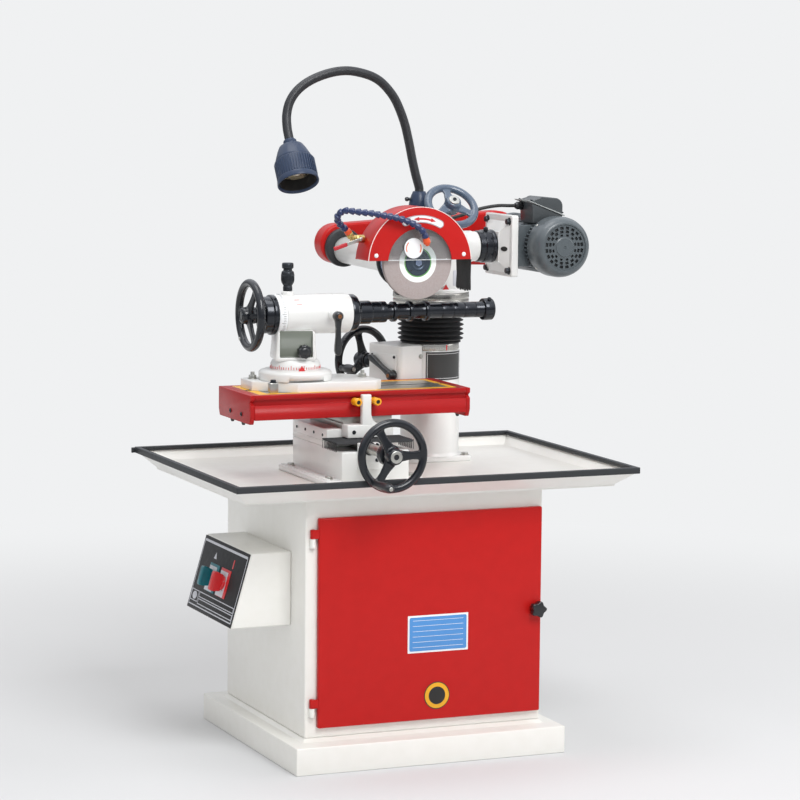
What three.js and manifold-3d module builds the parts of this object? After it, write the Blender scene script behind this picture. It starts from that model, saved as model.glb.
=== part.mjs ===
// Universal tool grinder: a sheet-metal cabinet with a chip tray, a cross slide and T-slotted table
// with a swivelling workhead on the left, and a column at the back right that carries the swivelling
// wheelhead with its grinding wheel, belt drive, motor, coolant line and gooseneck lamp.
// Units are millimetres. +X runs along the table to the right, -Y is the front, +Z is up.
// The origin is the centre of the plinth's underside.

import * as THREE from 'three';
import { mergeVertices } from 'three/addons/utils/BufferGeometryUtils.js';
import Module from 'manifold-3d';

const wasm = await Module();
wasm.setup();

// Common clearances and roundness
const gap = 0.3;
const overrun = 4;
const weld = 1;
const holeMargin = 2;
const fineSegments = 28;
const coarseSegments = 14;

// Plinth and cabinet
const plinthWidth = 648;
const plinthDepth = 616;
const plinthHeight = 61;
const plinthShoulder = 8;
const cabinetWidth = 570;
const cabinetDepth = 505;
const cabinetTop = 601;
const cabinetSheet = 3;

// Door, its two pin hinges and its turn latch
const doorMarginLeft = 27;
const doorMarginRight = 6;
const doorMarginBottom = 23;
const doorMarginTop = 43;
const doorDepth = 14;
const doorSheet = 2.5;
const doorLap = 5;
const hingeOffset = 12;
const hingeInset = 45;
const hingeHeight = 20;
const hingeRadius = 6;
const hingePinRadius = 3;
const latchInset = 14.5;
const latchRise = 235;
const latchRadius = 19;
const latchLobes = 5;
const latchDepth = 17;
const latchStemRadius = 4;
const latchCamLength = 16;
const latchCamWidth = 10;
const latchCamThickness = 3;

// Chip tray and the rubber edge round its rim
const trayFloorWidth = 886;
const trayFloorDepth = 598;
const traySideSpread = 32.5;
const trayFrontSpread = 48.5;
const trayRise = 36;
const trayFloorThickness = 17;
const traySheet = 4;
const trayLipHeight = 7;
const trayLipThickness = 3;
const edgeSkirt = 14;
const edgeInnerSkirt = 6;
const edgeWall = 4;

// Switch box on the left wall of the cabinet
const switchBoxCentreY = -20;
const switchBoxLength = 297;
const switchBoxDrop = 129;
const switchBoxHeight = 166;
const switchBoxTopReach = 94;
const switchBoxBottomReach = 142;
const switchSpread = 74;
const switchGripLength = 44;
const switchGripWidth = 17;
const switchGripHeight = 24;
const switchCollarRadius = 16;
const switchCollarHeight = 8;
const switchStemRadius = 5;
const switchStemDepth = 12;

// Base casting with its dovetail way, bolted to the tray
const baseCentreX = -107;
const baseWidth = 160;
const baseFront = -218;
const baseLength = 304;
const baseHeight = 76;
const baseFlangeWidth = 35;
const baseFlangeHeight = 13;
const baseWall = 14;
const footBoltRadius = 8;
const footBoltHeight = 7;

// Cross slide: saddle, table guide, stop bracket with its two buffers and the folded way cover
const saddleSetback = 91;
const saddleHeight = 40;
const guideInsetLeft = 34;
const guideInsetRight = 3;
const guideHeight = 27;
const guideSetback = 2;
const bracketShift = 0.6;
const bracketWidth = 21.4;
const bracketThickness = 15;
const bracketFootWidth = 92;
const bracketFootLeft = 46;
const bracketFootHeight = 29;
const bracketTopDrop = 4;
const bufferSpread = 47;
const bufferRadius = 8.5;
const bufferLength = 28;
const bufferDrop = 20;
const bufferBarHeight = 14;
const bufferBarThickness = 5;
const coverOverhang = 13;
const coverHeight = 22;
const coverPleats = 9;
const coverPleatDepth = 3;
const coverSheet = 3;

// Feed screw and handwheel of the cross slide
const crossScrewShift = 20;
const crossScrewRise = 8;
const crossScrewRadius = 7;
const crossWheelReach = 36.5;
const crossDialRadius = 24;
const crossDialLength = 26;
const crossSleeveRadius = 12;
const bearingLength = 14;
const bearingHalfWidth = 24;
const bearingRise = 20;

// Handwheels: one pattern in four sizes
const largeWheelRadius = 80;
const smallWheelRadius = 64;
const rimRadius = 8;
const hubRadius = 19;
const hubLength = 34;
const wheelDish = 12;
const spokeWidth = 15;
const spokeThickness = 9;
const spokeCount = 3;
const rimSides = 8;
const gripRadius = 11;
const gripLength = 92;
const shortGripLength = 48;
const gripStemRadius = 4;

// Table
const tableOverhang = 13;
const tableDepth = 210;
const tableLeft = -372;
const tableLength = 527;
const tableHeight = 56;
const tableBorder = 15;
const topPlateThickness = 16;
const slotWidth = 14;
const slotDepth = 11;
const slotFootWidth = 24;
const slotFootHeight = 5;
const grooveHeight = 12;
const grooveDepth = 5;
const grooveDrop = 11;
const endCoverThickness = 10;
const endCoverDrop = 9;
const endCoverChamfer = 7;
const endKnobRadius = 6;
const endKnobHeight = 7;
const endBoltRise = 2;
const endNotch = 9;

// Workhead on the table
const workheadSetback = 144;
const workheadRise = 167;
const workheadPlateHeight = 21;
const workheadPlateLength = 290;
const workheadPlateReach = 107;
const workheadPlateDepth = 165;
const swivelPlateHeight = 25;
const swivelPlateRadius = 82;
const swivelSlotHeight = 5;
const swivelSlotDepth = 20;
const collarRadius = 48;
const collarHeight = 22;
const pedestalWidth = 92;
const pedestalDepth = 96;
const pedestalRecessDepth = 6;
const pedestalRecessBorder = 8;
const workheadBodyRadius = 44.5;
const workheadBodyReachLeft = 34;
const workheadBodyReachRight = 124;
const dialLength = 19;
const dialRadius = 46;
const indexDiscLength = 28;
const indexDiscRadius = 45;
const indexHoleRadius = 3.5;
const indexHoles = 12;
const arborRadius = 20;
const noseRadius = 42;
const noseLength = 24;
const chuckRadius = 26.5;
const chuckLength = 30;
const sleeveRadius = 24;
const sleeveLength = 38;
const barRadius = 18;
const barReach = 457;
const barRingRadius = 23;
const barRingLength = 10;
const barRingChamfer = 1;
const barRings = 3;
const barRingPitch = 40;
const barRingStart = 14;
const arborNutRadius = 25;
const arborNutLength = 24;
const arborTip = 6;
const plungerShift = 19;
const plungerRadius = 5;
const plungerKnobRadius = 13;
const plungerNeckRadius = 8;
const plungerHeight = 72;
const plungerDepth = 16;
const plungerBossRadius = 14;
const plungerBossHeight = 8;
const leverShift = 73;
const leverStemRadius = 6;
const leverStemLength = 14;
const leverHubRadius = 12;
const leverHubLength = 20;
const leverLength = 88;
const leverWidth = 12;
const lockKnobRadius = 16;
const lockKnobLength = 18;
const lockKnobStem = 5;
const lockKnobDrop = 20;

// Column with its sliding quill, elevating gearbox and handwheel
const columnX = 180;
const columnY = 146;
const columnRadius = 69;
const columnHeight = 277;
const columnFootWidth = 162;
const columnFootDepth = 142;
const columnRingHeight = 18;
const columnRingSetback = 2;
const quillRadius = 55;
const quillBore = 38;
const quillEngagement = 195;
const bellowsHeight = 92;
const bellowsRadius = 78;
const bellowsFold = 10;
const bellowsPleats = 8;
const swivelRingRadius = 89;
const swivelRingHeight = 26;
const pivotRadius = 20;
const gearboxTurn = THREE.MathUtils.degToRad(17);
const gearboxLeft = 122;
const gearboxFront = 38;
const gearboxLength = 120;
const gearboxDrop = 3;
const gearboxHeight = 130;
const elevatingShaftRadius = 9;
const elevatingShaftX = -80;
const elevatingWheelReach = 84;
const elevatingDrop = 48;
const elevatingGripAngle = THREE.MathUtils.degToRad(192);
const columnLeverReach = 20;
const columnLeverDrop = 68;
const columnLeverSetback = 22;
const columnLeverAngle = THREE.MathUtils.degToRad(63);

// Wheelhead: yoke on the swivel ring, trunnion, spindle housing, spindle and wheel
const yokeDiscHeight = 10;
const yokeWidth = 118;
const yokeDepth = 148;
const yokeHeight = 143;
const yokeChamfer = 30;
const trunnionRise = 103;
const trunnionRadius = 20;
const yokeBossRadius = 35;
const yokeBossLength = 53;
const trunnionCollarRadius = 39;
const trunnionCollarLength = 43;
const spindleReach = 128;
const spindleDrop = 19;
const housingRadius = 39;
const housingReach = 153.7;
const housingArmDepth = 96;
const housingArmHeight = 92;
const spindleRadius = 18;
const spindleNoseRadius = 14;
const flangeRadius = 30;
const flangeThickness = 4;
const wheelRadius = 83;
const wheelThickness = 12;
const wheelSetoff = 52;
const boltHeadRadius = 9;
const boltHeadLength = 3;

// Wheel guard, its clear window and the rubber flap
const guardRadius = 126;
const guardDepth = 78;
const guardSheet = 3;
const guardWindowRadius = 78;
const guardFloorRise = 6;
const windowThickness = 2;
const flapThickness = 3;
const flapDrop = 68;
const flapTeeth = 8;
const flapToothDepth = 5;

// Belt drive and its cover
const spindlePulleyRadius = 26;
const motorPulleyRadius = 34;
const pulleyLength = 22;
const pulleySetback = 4;
const pulleyFlange = 3;
const beltThickness = 5;
const beltWidth = 14;
const beltCoverReach = 230;
const beltCoverDepth = 52;
const beltCoverLeftRadius = 59;
const beltCoverRightRadius = 66;
const beltCoverSheet = 3;

// Motor on its bracket
const bracketNeckLength = 16.7;
const bracketPlateThickness = 17;
const bracketPlateDepth = 150;
const bracketPlateHeight = 144;
const bracketNeckRadius = 36;
const motorReach = 87;
const motorRise = 3;
const motorRadius = 66;
const motorFinDepth = 5;
const shieldRise = 1;
const motorFins = 24;
const motorFinShare = 0.45;
const motorReachFront = 106;
const motorLength = 250;
const motorNoseRadius = 38;
const motorFootDepth = 120;
const motorFootHeight = 98;
const motorShaftRadius = 11;
const fanCoverRadius = 71;
const fanCoverLength = 57;
const fanCoverSheet = 2.5;
const fanCoverBevel = 8;
const fanSlots = 16;
const fanSlotWidth = 6;
const fanSlotInner = 22;
const fanSlotOuter = 58;
const terminalWidth = 86;
const terminalDepth = 100;
const terminalSetback = 20;
const terminalReach = 54;
const terminalHeight = 50;
const terminalSink = 1;
const terminalLidDrop = 12;
const glandRadius = 9;
const glandLength = 14;
const glandSetback = 74;
const glandRise = 27;

// Cable from the motor's terminal box to the gland on the yoke
const cableRadius = 4;
const cableSides = 8;
const cableSteps = 24;
const cableGlandRadius = 8;
const cableGlandHeight = 12;
const cableShiftX = 46;
const cableShiftY = 6;
const cableRoute = [
  [161.5, -18, 55], [146, -16, 55], [124, -10, 55], [96, -3, 51], [68, 2, 44],
  [42, 3, 35], [20, 2, 29], [5, 0.4, 25], [0, 0, 19], [0, 0, 12.8],
];

// Inclined handwheel on the yoke
const headWheelShift = 8;
const headWheelReach = 86;
const headWheelRise = 51;
const headWheelTilt = THREE.MathUtils.degToRad(46);
const headShaftRadius = 9;
const headShaftLength = 82;
const headBossRadius = 22;
const headBossLength = 44;

// Lamp: socket, gooseneck and head
const lampShiftX = 30;
const lampShiftY = 6;
const lampPostRadius = 14;
const lampSocketRadius = 22;
const lampSocketHeight = 36;
const lampPostHeight = 54;
const lampLeverLength = 26;
const lampLeverRadius = 4;
const gooseneckRadius = 10.5;
const gooseneckBore = 6;
const gooseneckRibs = 76;
const gooseneckRibDepth = 1.2;
const gooseneckRoute = [
  [0, 0, 0.4], [0, 0, 6], [-2, -0.2, 14], [-10, -1, 39], [-19, -2, 73], [-30, -4, 119], [-43, -6, 163],
  [-65, -10, 209], [-90, -15, 239], [-117, -21, 259], [-150, -28, 271], [-196, -37, 278],
  [-243, -46, 273], [-291, -54, 257], [-326, -60, 235], [-348, -66, 208], [-359, -75, 178],
  [-363, -89, 150], [-363.5, -98, 135], [-363.6, -106, 123],
];
const lampNeckRadius = 16;
const lampNeckLength = 16;
const lampShoulderRadius = 42;
const lampMouthRadius = 47;
const lampBodyLength = 96;
const lampWall = 4;
const lampPocketDepth = 58;
const lampAxis = [-0.006, -0.531, -0.848];

// Coolant line: valve on the guard, segmented hose and nozzle
const valveSetoff = 26;
const valveRise = 53;
const valveRadius = 9;
const valveLength = 34;
const valvePortRadius = 7;
const valvePortLength = 28;
const valveStemRadius = 4;
const valveStemLength = 8;
const valveLeverLength = 42;
const valveLeverWidth = 10;
const valveLeverThickness = 4;
const hoseRadius = 8;
const hoseBore = 3.5;
const hoseRibs = 24;
const hoseRibDepth = 2;
const hoseRoute = [
  [-160, 0, 81], [-170, -2, 93], [-184, -8, 106], [-188, -18, 117], [-178, -32, 125], [-150, -50, 122],
  [-114, -64, 114], [-82, -70, 108], [-54, -71, 101], [-26, -71, 91], [-4, -71, 79], [10, -70, 63],
  [17, -69, 46], [20, -69, 33],
];

// Heights and places that follow from the sizes above
const cabinetBottom = plinthHeight + plinthShoulder;
const cabinetFront = -cabinetDepth / 2;
const trayFloor = cabinetTop + trayFloorThickness;
const trayRim = cabinetTop + trayRise;
const trayRimWidth = trayFloorWidth + 2 * traySideSpread;
const trayRimDepth = trayFloorDepth + 2 * trayFrontSpread;
const doorLeft = -cabinetWidth / 2 + doorMarginLeft;
const doorRight = cabinetWidth / 2 - doorMarginRight;
const doorBottom = cabinetBottom + doorMarginBottom;
const doorTop = cabinetTop - doorMarginTop;
const latchHeight = doorBottom + latchRise;
const switchBoxTop = cabinetTop - switchBoxDrop;
const doorBack = cabinetFront - gap;
const hingeX = doorLeft - hingeOffset;
const hingeY = cabinetFront - gap - hingeRadius;
const latchX = doorRight - latchInset;
const baseTop = trayFloor + baseHeight;
const baseBack = baseFront + baseLength;
const saddleTop = baseTop + saddleHeight;
const guideTop = saddleTop + guideHeight;
const saddleFront = baseFront + saddleSetback;
const bracketCentreX = baseCentreX + bracketShift;
const crossScrewX = baseCentreX - crossScrewShift;
const crossWheelFront = -trayRimDepth / 2 - crossWheelReach;
const tableFront = saddleFront - tableOverhang;
const tableBottom = guideTop;
const tableTop = guideTop + tableHeight;
const tableRight = tableLeft + tableLength;
const tableBack = tableFront + tableDepth;
const crossScrewZ = baseTop + crossScrewRise;
const workheadX = tableLeft + workheadSetback;
const workheadY = tableFront + tableDepth / 2;
const workheadAxis = tableTop + workheadRise;
const workheadPlateLeft = workheadX - workheadPlateReach;
const workheadBodyLeft = workheadX - workheadBodyReachLeft;
const workheadBodyRight = workheadX + workheadBodyReachRight;
const swivelFloor = tableTop + workheadPlateHeight;
const pedestalBottom = swivelFloor + gap + swivelPlateHeight + collarHeight;
const columnBottom = trayFloor + baseFlangeHeight;
const columnTop = trayFloor + columnHeight;
const quillBottom = columnTop - quillEngagement;
const quillTop = columnTop + bellowsHeight;
const gearboxTop = columnTop - gearboxDrop;
const gearboxBottom = gearboxTop - gearboxHeight;
const elevatingHeight = gearboxTop - elevatingDrop;
const columnLeverHeight = gearboxTop - columnLeverDrop;
const headBottom = quillTop + swivelRingHeight;
const yokeTop = headBottom + yokeHeight;
const trunnionHeight = headBottom + trunnionRise;
const yokeBossEnd = columnX + yokeWidth / 2 + yokeBossLength;
const spindleX = columnX - spindleReach;
const spindleHeight = trunnionHeight - spindleDrop;
const beltCoverFront = columnY + beltCoverReach;
const housingFront = columnY - housingReach;
const housingBack = beltCoverFront - gap;
const guardBack = housingFront - gap;
const guardFront = guardBack - guardDepth;
const guardFloor = spindleHeight + guardFloorRise;
const wheelBack = guardBack - wheelSetoff;
const pulleyFront = beltCoverFront + pulleySetback;
const bracketPlateX = yokeBossEnd + gap + trunnionCollarLength + bracketNeckLength;
const motorX = bracketPlateX + bracketPlateThickness + motorReach;
const motorHeight = trunnionHeight + motorRise;
const motorFront = columnY - motorReachFront;
const motorBack = motorFront + motorLength;
const terminalFront = motorFront + terminalSetback;
const terminalLeft = motorX - terminalReach;
const terminalBottom = motorHeight + motorRadius - terminalSink;
const glandY = terminalFront + glandSetback;
const glandZ = terminalBottom + glandRise;
const cableX = columnX + cableShiftX;
const cableY = columnY + cableShiftY;
const headWheelX = columnX + headWheelShift;
const headWheelY = columnY - headWheelReach;
const headWheelZ = yokeTop + headWheelRise;
const lampX = columnX - lampShiftX;
const lampY = columnY + lampShiftY;
const lampSocketTop = yokeTop + lampPostHeight + lampSocketHeight;
const valveY = guardBack - valveSetoff;
const valveZ = spindleHeight + valveRise;

// Routes are written from the place that carries them and moved there
const fromPlace = (route, x, y, z) => route.map((point) => [point[0] + x, point[1] + y, point[2] + z]);
const cableLine = fromPlace(cableRoute, cableX, cableY, yokeTop);
const gooseneckLine = fromPlace(gooseneckRoute, lampX, lampY, lampSocketTop);
const hoseLine = fromPlace(hoseRoute, spindleX, valveY, spindleHeight);

// Paints and metals
function finish(color, roughness, metalness) {
  return new THREE.MeshStandardMaterial({ color, roughness, metalness });
}
const whitePaint = finish('#eef0f2', 0.4, 0);
const redPaint = finish('#c4282b', 0.4, 0);
const blackPlastic = finish('#26282b', 0.5, 0);
const blackRubber = finish('#1d1f21', 0.8, 0);
const blackSteel = finish('#2f3133', 0.4, 0.7);
const brightSteel = finish('#a8a8a5', 0.35, 0.9);
const greyPaint = finish('#4a5654', 0.5, 0.1);
const yellowPlastic = finish('#f0b614', 0.5, 0);
const tealPlastic = finish('#1f9c86', 0.5, 0);
const redPlastic = finish('#d0322c', 0.5, 0);
const brass = finish('#b8963f', 0.35, 0.9);
const blueHose = finish('#22336b', 0.5, 0);
const abrasive = finish('#b7a7a5', 0.95, 0);
const clearPlastic = finish('#dfe6e8', 0.1, 0);

// Solid from a closed geometry: shared vertices merged, flat triangles dropped, faces turned outwards
function solidOf(geometry) {
  const bare = geometry.clone();
  bare.deleteAttribute('normal');
  bare.deleteAttribute('uv');
  const merged = mergeVertices(bare, 1e-4);
  const corners = merged.index.array;
  const places = merged.attributes.position.array;
  const point = (index) => new THREE.Vector3().fromArray(places, 3 * index);
  const triangles = [];
  let volume = 0;
  for (let i = 0; i < corners.length; i += 3) {
    const [a, b, c] = [corners[i], corners[i + 1], corners[i + 2]];
    if (a !== b && b !== c && c !== a) {
      triangles.push(a, b, c);
      volume += point(a).dot(point(b).cross(point(c)));
    }
  }
  if (volume < 0) triangles.reverse();
  const vertProperties = Float32Array.from(places);
  const triVerts = Uint32Array.from(triangles);
  return new wasm.Manifold(new wasm.Mesh({ numProp: 3, vertProperties, triVerts }));
}

function geometryOf(solid) {
  const mesh = solid.getMesh();
  const geometry = new THREE.BufferGeometry();
  geometry.setAttribute('position', new THREE.BufferAttribute(Float32Array.from(mesh.vertProperties), 3));
  geometry.setIndex(new THREE.BufferAttribute(Uint32Array.from(mesh.triVerts), 1));
  geometry.computeVertexNormals();
  return geometry;
}

function join(...pieces) {
  return geometryOf(pieces.map(solidOf).reduce((whole, piece) => whole.add(piece)));
}

function cut(body, ...tools) {
  return geometryOf(tools.map(solidOf).reduce((rest, tool) => rest.subtract(tool), solidOf(body)));
}

// Box between two corners
function box(x0, x1, y0, y1, z0, z1) {
  const geometry = new THREE.BoxGeometry(x1 - x0, y1 - y0, z1 - z0);
  return geometry.translate((x0 + x1) / 2, (y0 + y1) / 2, (z0 + z1) / 2);
}

// Straight-sided frustum with rectangular ends, centred on the vertical axis
function taper(width0, depth0, z0, width1, depth1, z1) {
  const corners = [];
  for (const [width, depth, z] of [[width0, depth0, z0], [width1, depth1, z1]]) {
    corners.push(-width / 2, -depth / 2, z, width / 2, -depth / 2, z);
    corners.push(width / 2, depth / 2, z, -width / 2, depth / 2, z);
  }
  const faces = [0, 2, 1, 0, 3, 2, 4, 5, 6, 4, 6, 7];
  for (let side = 0; side < 4; side += 1) {
    const next = (side + 1) % 4;
    faces.push(side, next, next + 4, side, next + 4, side + 4);
  }
  const geometry = new THREE.BufferGeometry();
  geometry.setAttribute('position', new THREE.Float32BufferAttribute(corners, 3));
  geometry.setIndex(faces);
  return geometry;
}

// Turned piece: profile of [radius, height] pairs from the axis or closed, round +Z
function turned(profile, segments = fineSegments) {
  const points = profile.map(([radius, height]) => new THREE.Vector2(radius, height));
  return new THREE.LatheGeometry(points, segments).rotateX(Math.PI / 2);
}

// Turns a piece that was made along +Z to another axis and moves it to its place
function place(geometry, axis, x, y, z) {
  const target = { x: [1, 0, 0], '-x': [-1, 0, 0], y: [0, 1, 0], '-y': [0, -1, 0], z: [0, 0, 1], '-z': [0,
    0, -1] };
  const direction = new THREE.Vector3().fromArray(Array.isArray(axis) ? axis : target[axis]).normalize();
  const turn = new THREE.Quaternion().setFromUnitVectors(new THREE.Vector3(0, 0, 1), direction);
  return geometry.applyQuaternion(turn).translate(x, y, z);
}

function rod(radius, length, axis, x, y, z, segments = coarseSegments) {
  const geometry = new THREE.CylinderGeometry(radius, radius, length, segments);
  geometry.rotateX(Math.PI / 2).translate(0, 0, length / 2);
  return place(geometry, axis, x, y, z);
}

// Round hole whose flats still leave the running clearance round a shaft of the given radius
function bore(radius, length, axis, x, y, z) {
  return rod((radius + gap) / Math.cos(Math.PI / fineSegments), length, axis, x, y, z, fineSegments);
}

function tube(outer, inner, length, axis, x, y, z, segments = fineSegments) {
  const ring = [[inner, 0], [outer, 0], [outer, length], [inner, length], [inner, 0]];
  return place(turned(ring, segments), axis, x, y, z);
}

// Flat outline extruded along +Z, with optional holes
function slab(outline, height, holes = []) {
  const shape = new THREE.Shape(outline.map(([x, y]) => new THREE.Vector2(x, y)));
  for (const hole of holes) shape.holes.push(new THREE.Path(hole.map(([x, y]) => new THREE.Vector2(x, y))));
  return new THREE.ExtrudeGeometry(shape, { depth: height, bevelEnabled: false });
}

// Outline in X and Z extruded along +Y from y0 to y1
function panel(outline, y0, y1) {
  return slab(outline, y1 - y0).rotateX(Math.PI / 2).translate(0, y1, 0);
}

// Outline in Y and Z extruded along +X from x0 to x1
function profileAlongX(outline, x0, x1) {
  const geometry = slab(outline, x1 - x0);
  const toAxes = new THREE.Matrix4().set(0, 0, 1, x0, 1, 0, 0, 0, 0, 1, 0, 0, 0, 0, 0, 1);
  return geometry.applyMatrix4(toAxes);
}

function arc(x, z, radius, from, to, steps) {
  const points = [];
  for (let i = 0; i <= steps; i += 1) {
    const angle = from + ((to - from) * i) / steps;
    points.push([x + radius * Math.cos(angle), z + radius * Math.sin(angle)]);
  }
  return points;
}

// Two circles and their outer tangents, as one outline in X and Z
function beltOutline(x0, z0, radius0, x1, z1, radius1, steps = fineSegments / 2) {
  const distance = Math.hypot(x1 - x0, z1 - z0);
  const lie = Math.atan2(z1 - z0, x1 - x0);
  const open = Math.acos((radius0 - radius1) / distance);
  const far = arc(x1, z1, radius1, lie - open, lie + open, steps);
  const near = arc(x0, z0, radius0, lie + open, lie + 2 * Math.PI - open, steps);
  return [...far, ...near];
}

function circleOutline(x, z, radius, steps = fineSegments) {
  return arc(x, z, radius, 0, 2 * Math.PI * (1 - 1 / steps), steps - 1);
}

// Handwheel made round +Z with its hub's back at the origin: dished rim, hub and three spokes
function handwheel(radius, boreRadius, spokeTurn = 0) {
  const rimCentre = radius - rimRadius;
  const section = [];
  for (let i = 0; i <= rimSides; i += 1) {
    const angle = (2 * Math.PI * i) / rimSides + Math.PI / rimSides;
    section.push([rimCentre + rimRadius * Math.cos(angle), rimRadius * Math.sin(angle)]);
  }
  const rim = turned(section).translate(0, 0, wheelDish);
  const hub = rod(hubRadius, hubLength, 'z', 0, 0, 0);
  const pieces = [rim, hub];
  const lift = Math.atan2(wheelDish - hubLength / 2, rimCentre);
  for (let i = 0; i < spokeCount; i += 1) {
    const halfRoot = spokeWidth * 0.75;
    const halfTip = spokeWidth / 2;
    const outline = [[0, -halfRoot], [rimCentre, -halfTip], [rimCentre, halfTip], [0, halfRoot]];
    const spoke = slab(outline, spokeThickness).translate(0, 0, -spokeThickness / 2);
    spoke.rotateY(-lift).translate(0, 0, hubLength / 2).rotateZ((2 * Math.PI * i) / spokeCount + spokeTurn);
    pieces.push(spoke);
  }
  return cut(join(...pieces), rod(boreRadius, hubLength + 2 * overrun, 'z', 0, 0, -overrun));
}

// Revolving grip on a stem, made along +Z from the rim's front
function grip(length) {
  const head = 0.82 * gripRadius;
  return turned([
    [0, 0], [gripStemRadius, 0], [gripStemRadius, gripStemRadius], [head, 1.5 * gripStemRadius],
    [gripRadius, length / 2], [head, length - gripStemRadius], [gripRadius / 2, length], [0, length],
  ], coarseSegments);
}

// Clamping lever: stem, hub and tapered arm; the hub's back is at the origin and the arm lies along +X
function clampLever() {
  const stem = rod(leverStemRadius, leverStemLength + weld, 'z', 0, 0, -leverStemLength);
  const hub = rod(leverHubRadius, leverHubLength, 'z', 0, 0, 0);
  const root = leverWidth / 2;
  const tip = leverWidth * 0.6;
  const outline = [[0, -root], [leverLength - tip, -tip], ...arc(leverLength - tip, 0, tip, -Math.PI / 3,
    Math.PI / 3, 4),
    [leverLength - tip, tip], [0, root]];
  const arm = slab(outline, leverWidth).translate(0, 0, leverHubLength - leverWidth - leverStemRadius / 2);
  return join(stem, hub, arm);
}

// Ribbed tube along a route, with a bore: two rings of eight points to a rib, a bore ring every five ribs
function ribbedTube(route, radius, bore, ribs, ribDepth) {
  const sides = 8;
  const ribsPerBoreRing = 5;
  const curve = new THREE.CatmullRomCurve3(route.map((point) => new THREE.Vector3(...point)));
  const length = curve.getLength();
  const straight = (2 * radius) / length;
  const steps = 2 * ribs;
  const stations = [0];
  for (let i = 0; i <= steps; i += 1) stations.push(straight + ((1 - 2 * straight) * i) / steps);
  stations.push(1);
  const last = stations.length - 1;
  const frames = framesAlong(curve, stations);
  const places = [];
  const faces = [];
  const ring = (station, size) => {
    const { point, normal, binormal } = frames[station];
    const first = places.length / 3;
    for (let i = 0; i < sides; i += 1) {
      const angle = (2 * Math.PI * i) / sides;
      const spot = point.clone().addScaledVector(normal, size * Math.cos(angle));
      spot.addScaledVector(binormal, size * Math.sin(angle));
      places.push(spot.x, spot.y, spot.z);
    }
    return first;
  };
  const bridge = (from, to, flip) => {
    for (let i = 0; i < sides; i += 1) {
      const next = (i + 1) % sides;
      const quad = [from + i, from + next, to + next, from + i, to + next, to + i];
      faces.push(...(flip ? quad.reverse() : quad));
    }
  };
  let previous = ring(0, radius);
  const outerStart = previous;
  for (let i = 1; i <= last; i += 1) {
    const current = ring(i, i % 2 === 0 && i < last ? radius : radius - (i < last ? ribDepth : 0));
    bridge(previous, current, false);
    previous = current;
  }
  const outerEnd = previous;
  previous = ring(0, bore);
  bridge(outerStart, previous, true);
  for (let i = 1; i < last; i += 2 * ribsPerBoreRing) {
    const current = ring(i, bore);
    bridge(previous, current, true);
    previous = current;
  }
  const boreEnd = ring(last, bore);
  bridge(previous, boreEnd, true);
  bridge(outerEnd, boreEnd, false);
  const geometry = new THREE.BufferGeometry();
  geometry.setAttribute('position', new THREE.Float32BufferAttribute(places, 3));
  geometry.setIndex(faces);
  return geometry;
}

// Frames that turn as little as they can along a curve
function framesAlong(curve, stations) {
  const frames = [];
  let normal = new THREE.Vector3(0, 1, 0);
  for (const station of stations) {
    const tangent = curve.getTangentAt(station);
    normal = normal.clone().addScaledVector(tangent, -normal.dot(tangent)).normalize();
    const binormal = new THREE.Vector3().crossVectors(tangent, normal);
    frames.push({ point: curve.getPointAt(station), normal, binormal });
  }
  return frames;
}

function plainTube(route, radius, sides, steps) {
  const curve = new THREE.CatmullRomCurve3(route.map((point) => new THREE.Vector3(...point)));
  return new THREE.ExtrudeGeometry(new THREE.Shape(circleOutline(0, 0, radius, sides).map(
    ([x, y]) => new THREE.Vector2(x, y))), { steps, extrudePath: curve, bevelEnabled: false });
}

const grinder = new THREE.Group();

function add(name, geometry, material, parent = grinder) {
  const mesh = new THREE.Mesh(geometry, material);
  mesh.name = name;
  parent.add(mesh);
  return mesh;
}

// Plinth: a welded frame with a sloped shoulder up to the cabinet's walls
add('plinth', join(
  box(-plinthWidth / 2, plinthWidth / 2, -plinthDepth / 2, plinthDepth / 2, 0, plinthHeight),
  taper(cabinetWidth + 2 * plinthShoulder, cabinetDepth + 2 * plinthShoulder, plinthHeight,
    cabinetWidth, cabinetDepth, cabinetBottom),
), whitePaint);

// Cabinet: a folded sheet box, open in front behind the door, with the two lower hinge knuckles and pins
function hinge(z) {
  const knuckle = rod(hingeRadius, hingeHeight, 'z', hingeX, hingeY, z - hingeHeight);
  const leaf = box(hingeX - hingeRadius, hingeX + hingeRadius, hingeY, cabinetFront + cabinetSheet / 2,
    z - hingeHeight, z);
  const pin = rod(hingePinRadius, hingeHeight, 'z', hingeX, hingeY, z - hingePinRadius);
  return [knuckle, leaf, pin];
}
const hingeHeights = [doorBottom + hingeInset, doorTop - hingeInset];
const halfWidth = cabinetWidth / 2;
const halfDepth = cabinetDepth / 2;
add('cabinet_shell', join(
  cut(
    box(-halfWidth, halfWidth, -halfDepth, halfDepth, cabinetBottom, cabinetTop),
    box(-halfWidth + cabinetSheet, halfWidth - cabinetSheet, -halfDepth + cabinetSheet,
      halfDepth - cabinetSheet,
      cabinetBottom + cabinetSheet, cabinetTop - cabinetSheet),
    box(doorLeft + doorLap, doorRight - doorLap, -halfDepth - overrun, -halfDepth + cabinetSheet + overrun,
      doorBottom + doorLap, doorTop - doorLap),
  ),
  ...hingeHeights.flatMap(hinge),
), whitePaint);

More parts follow.
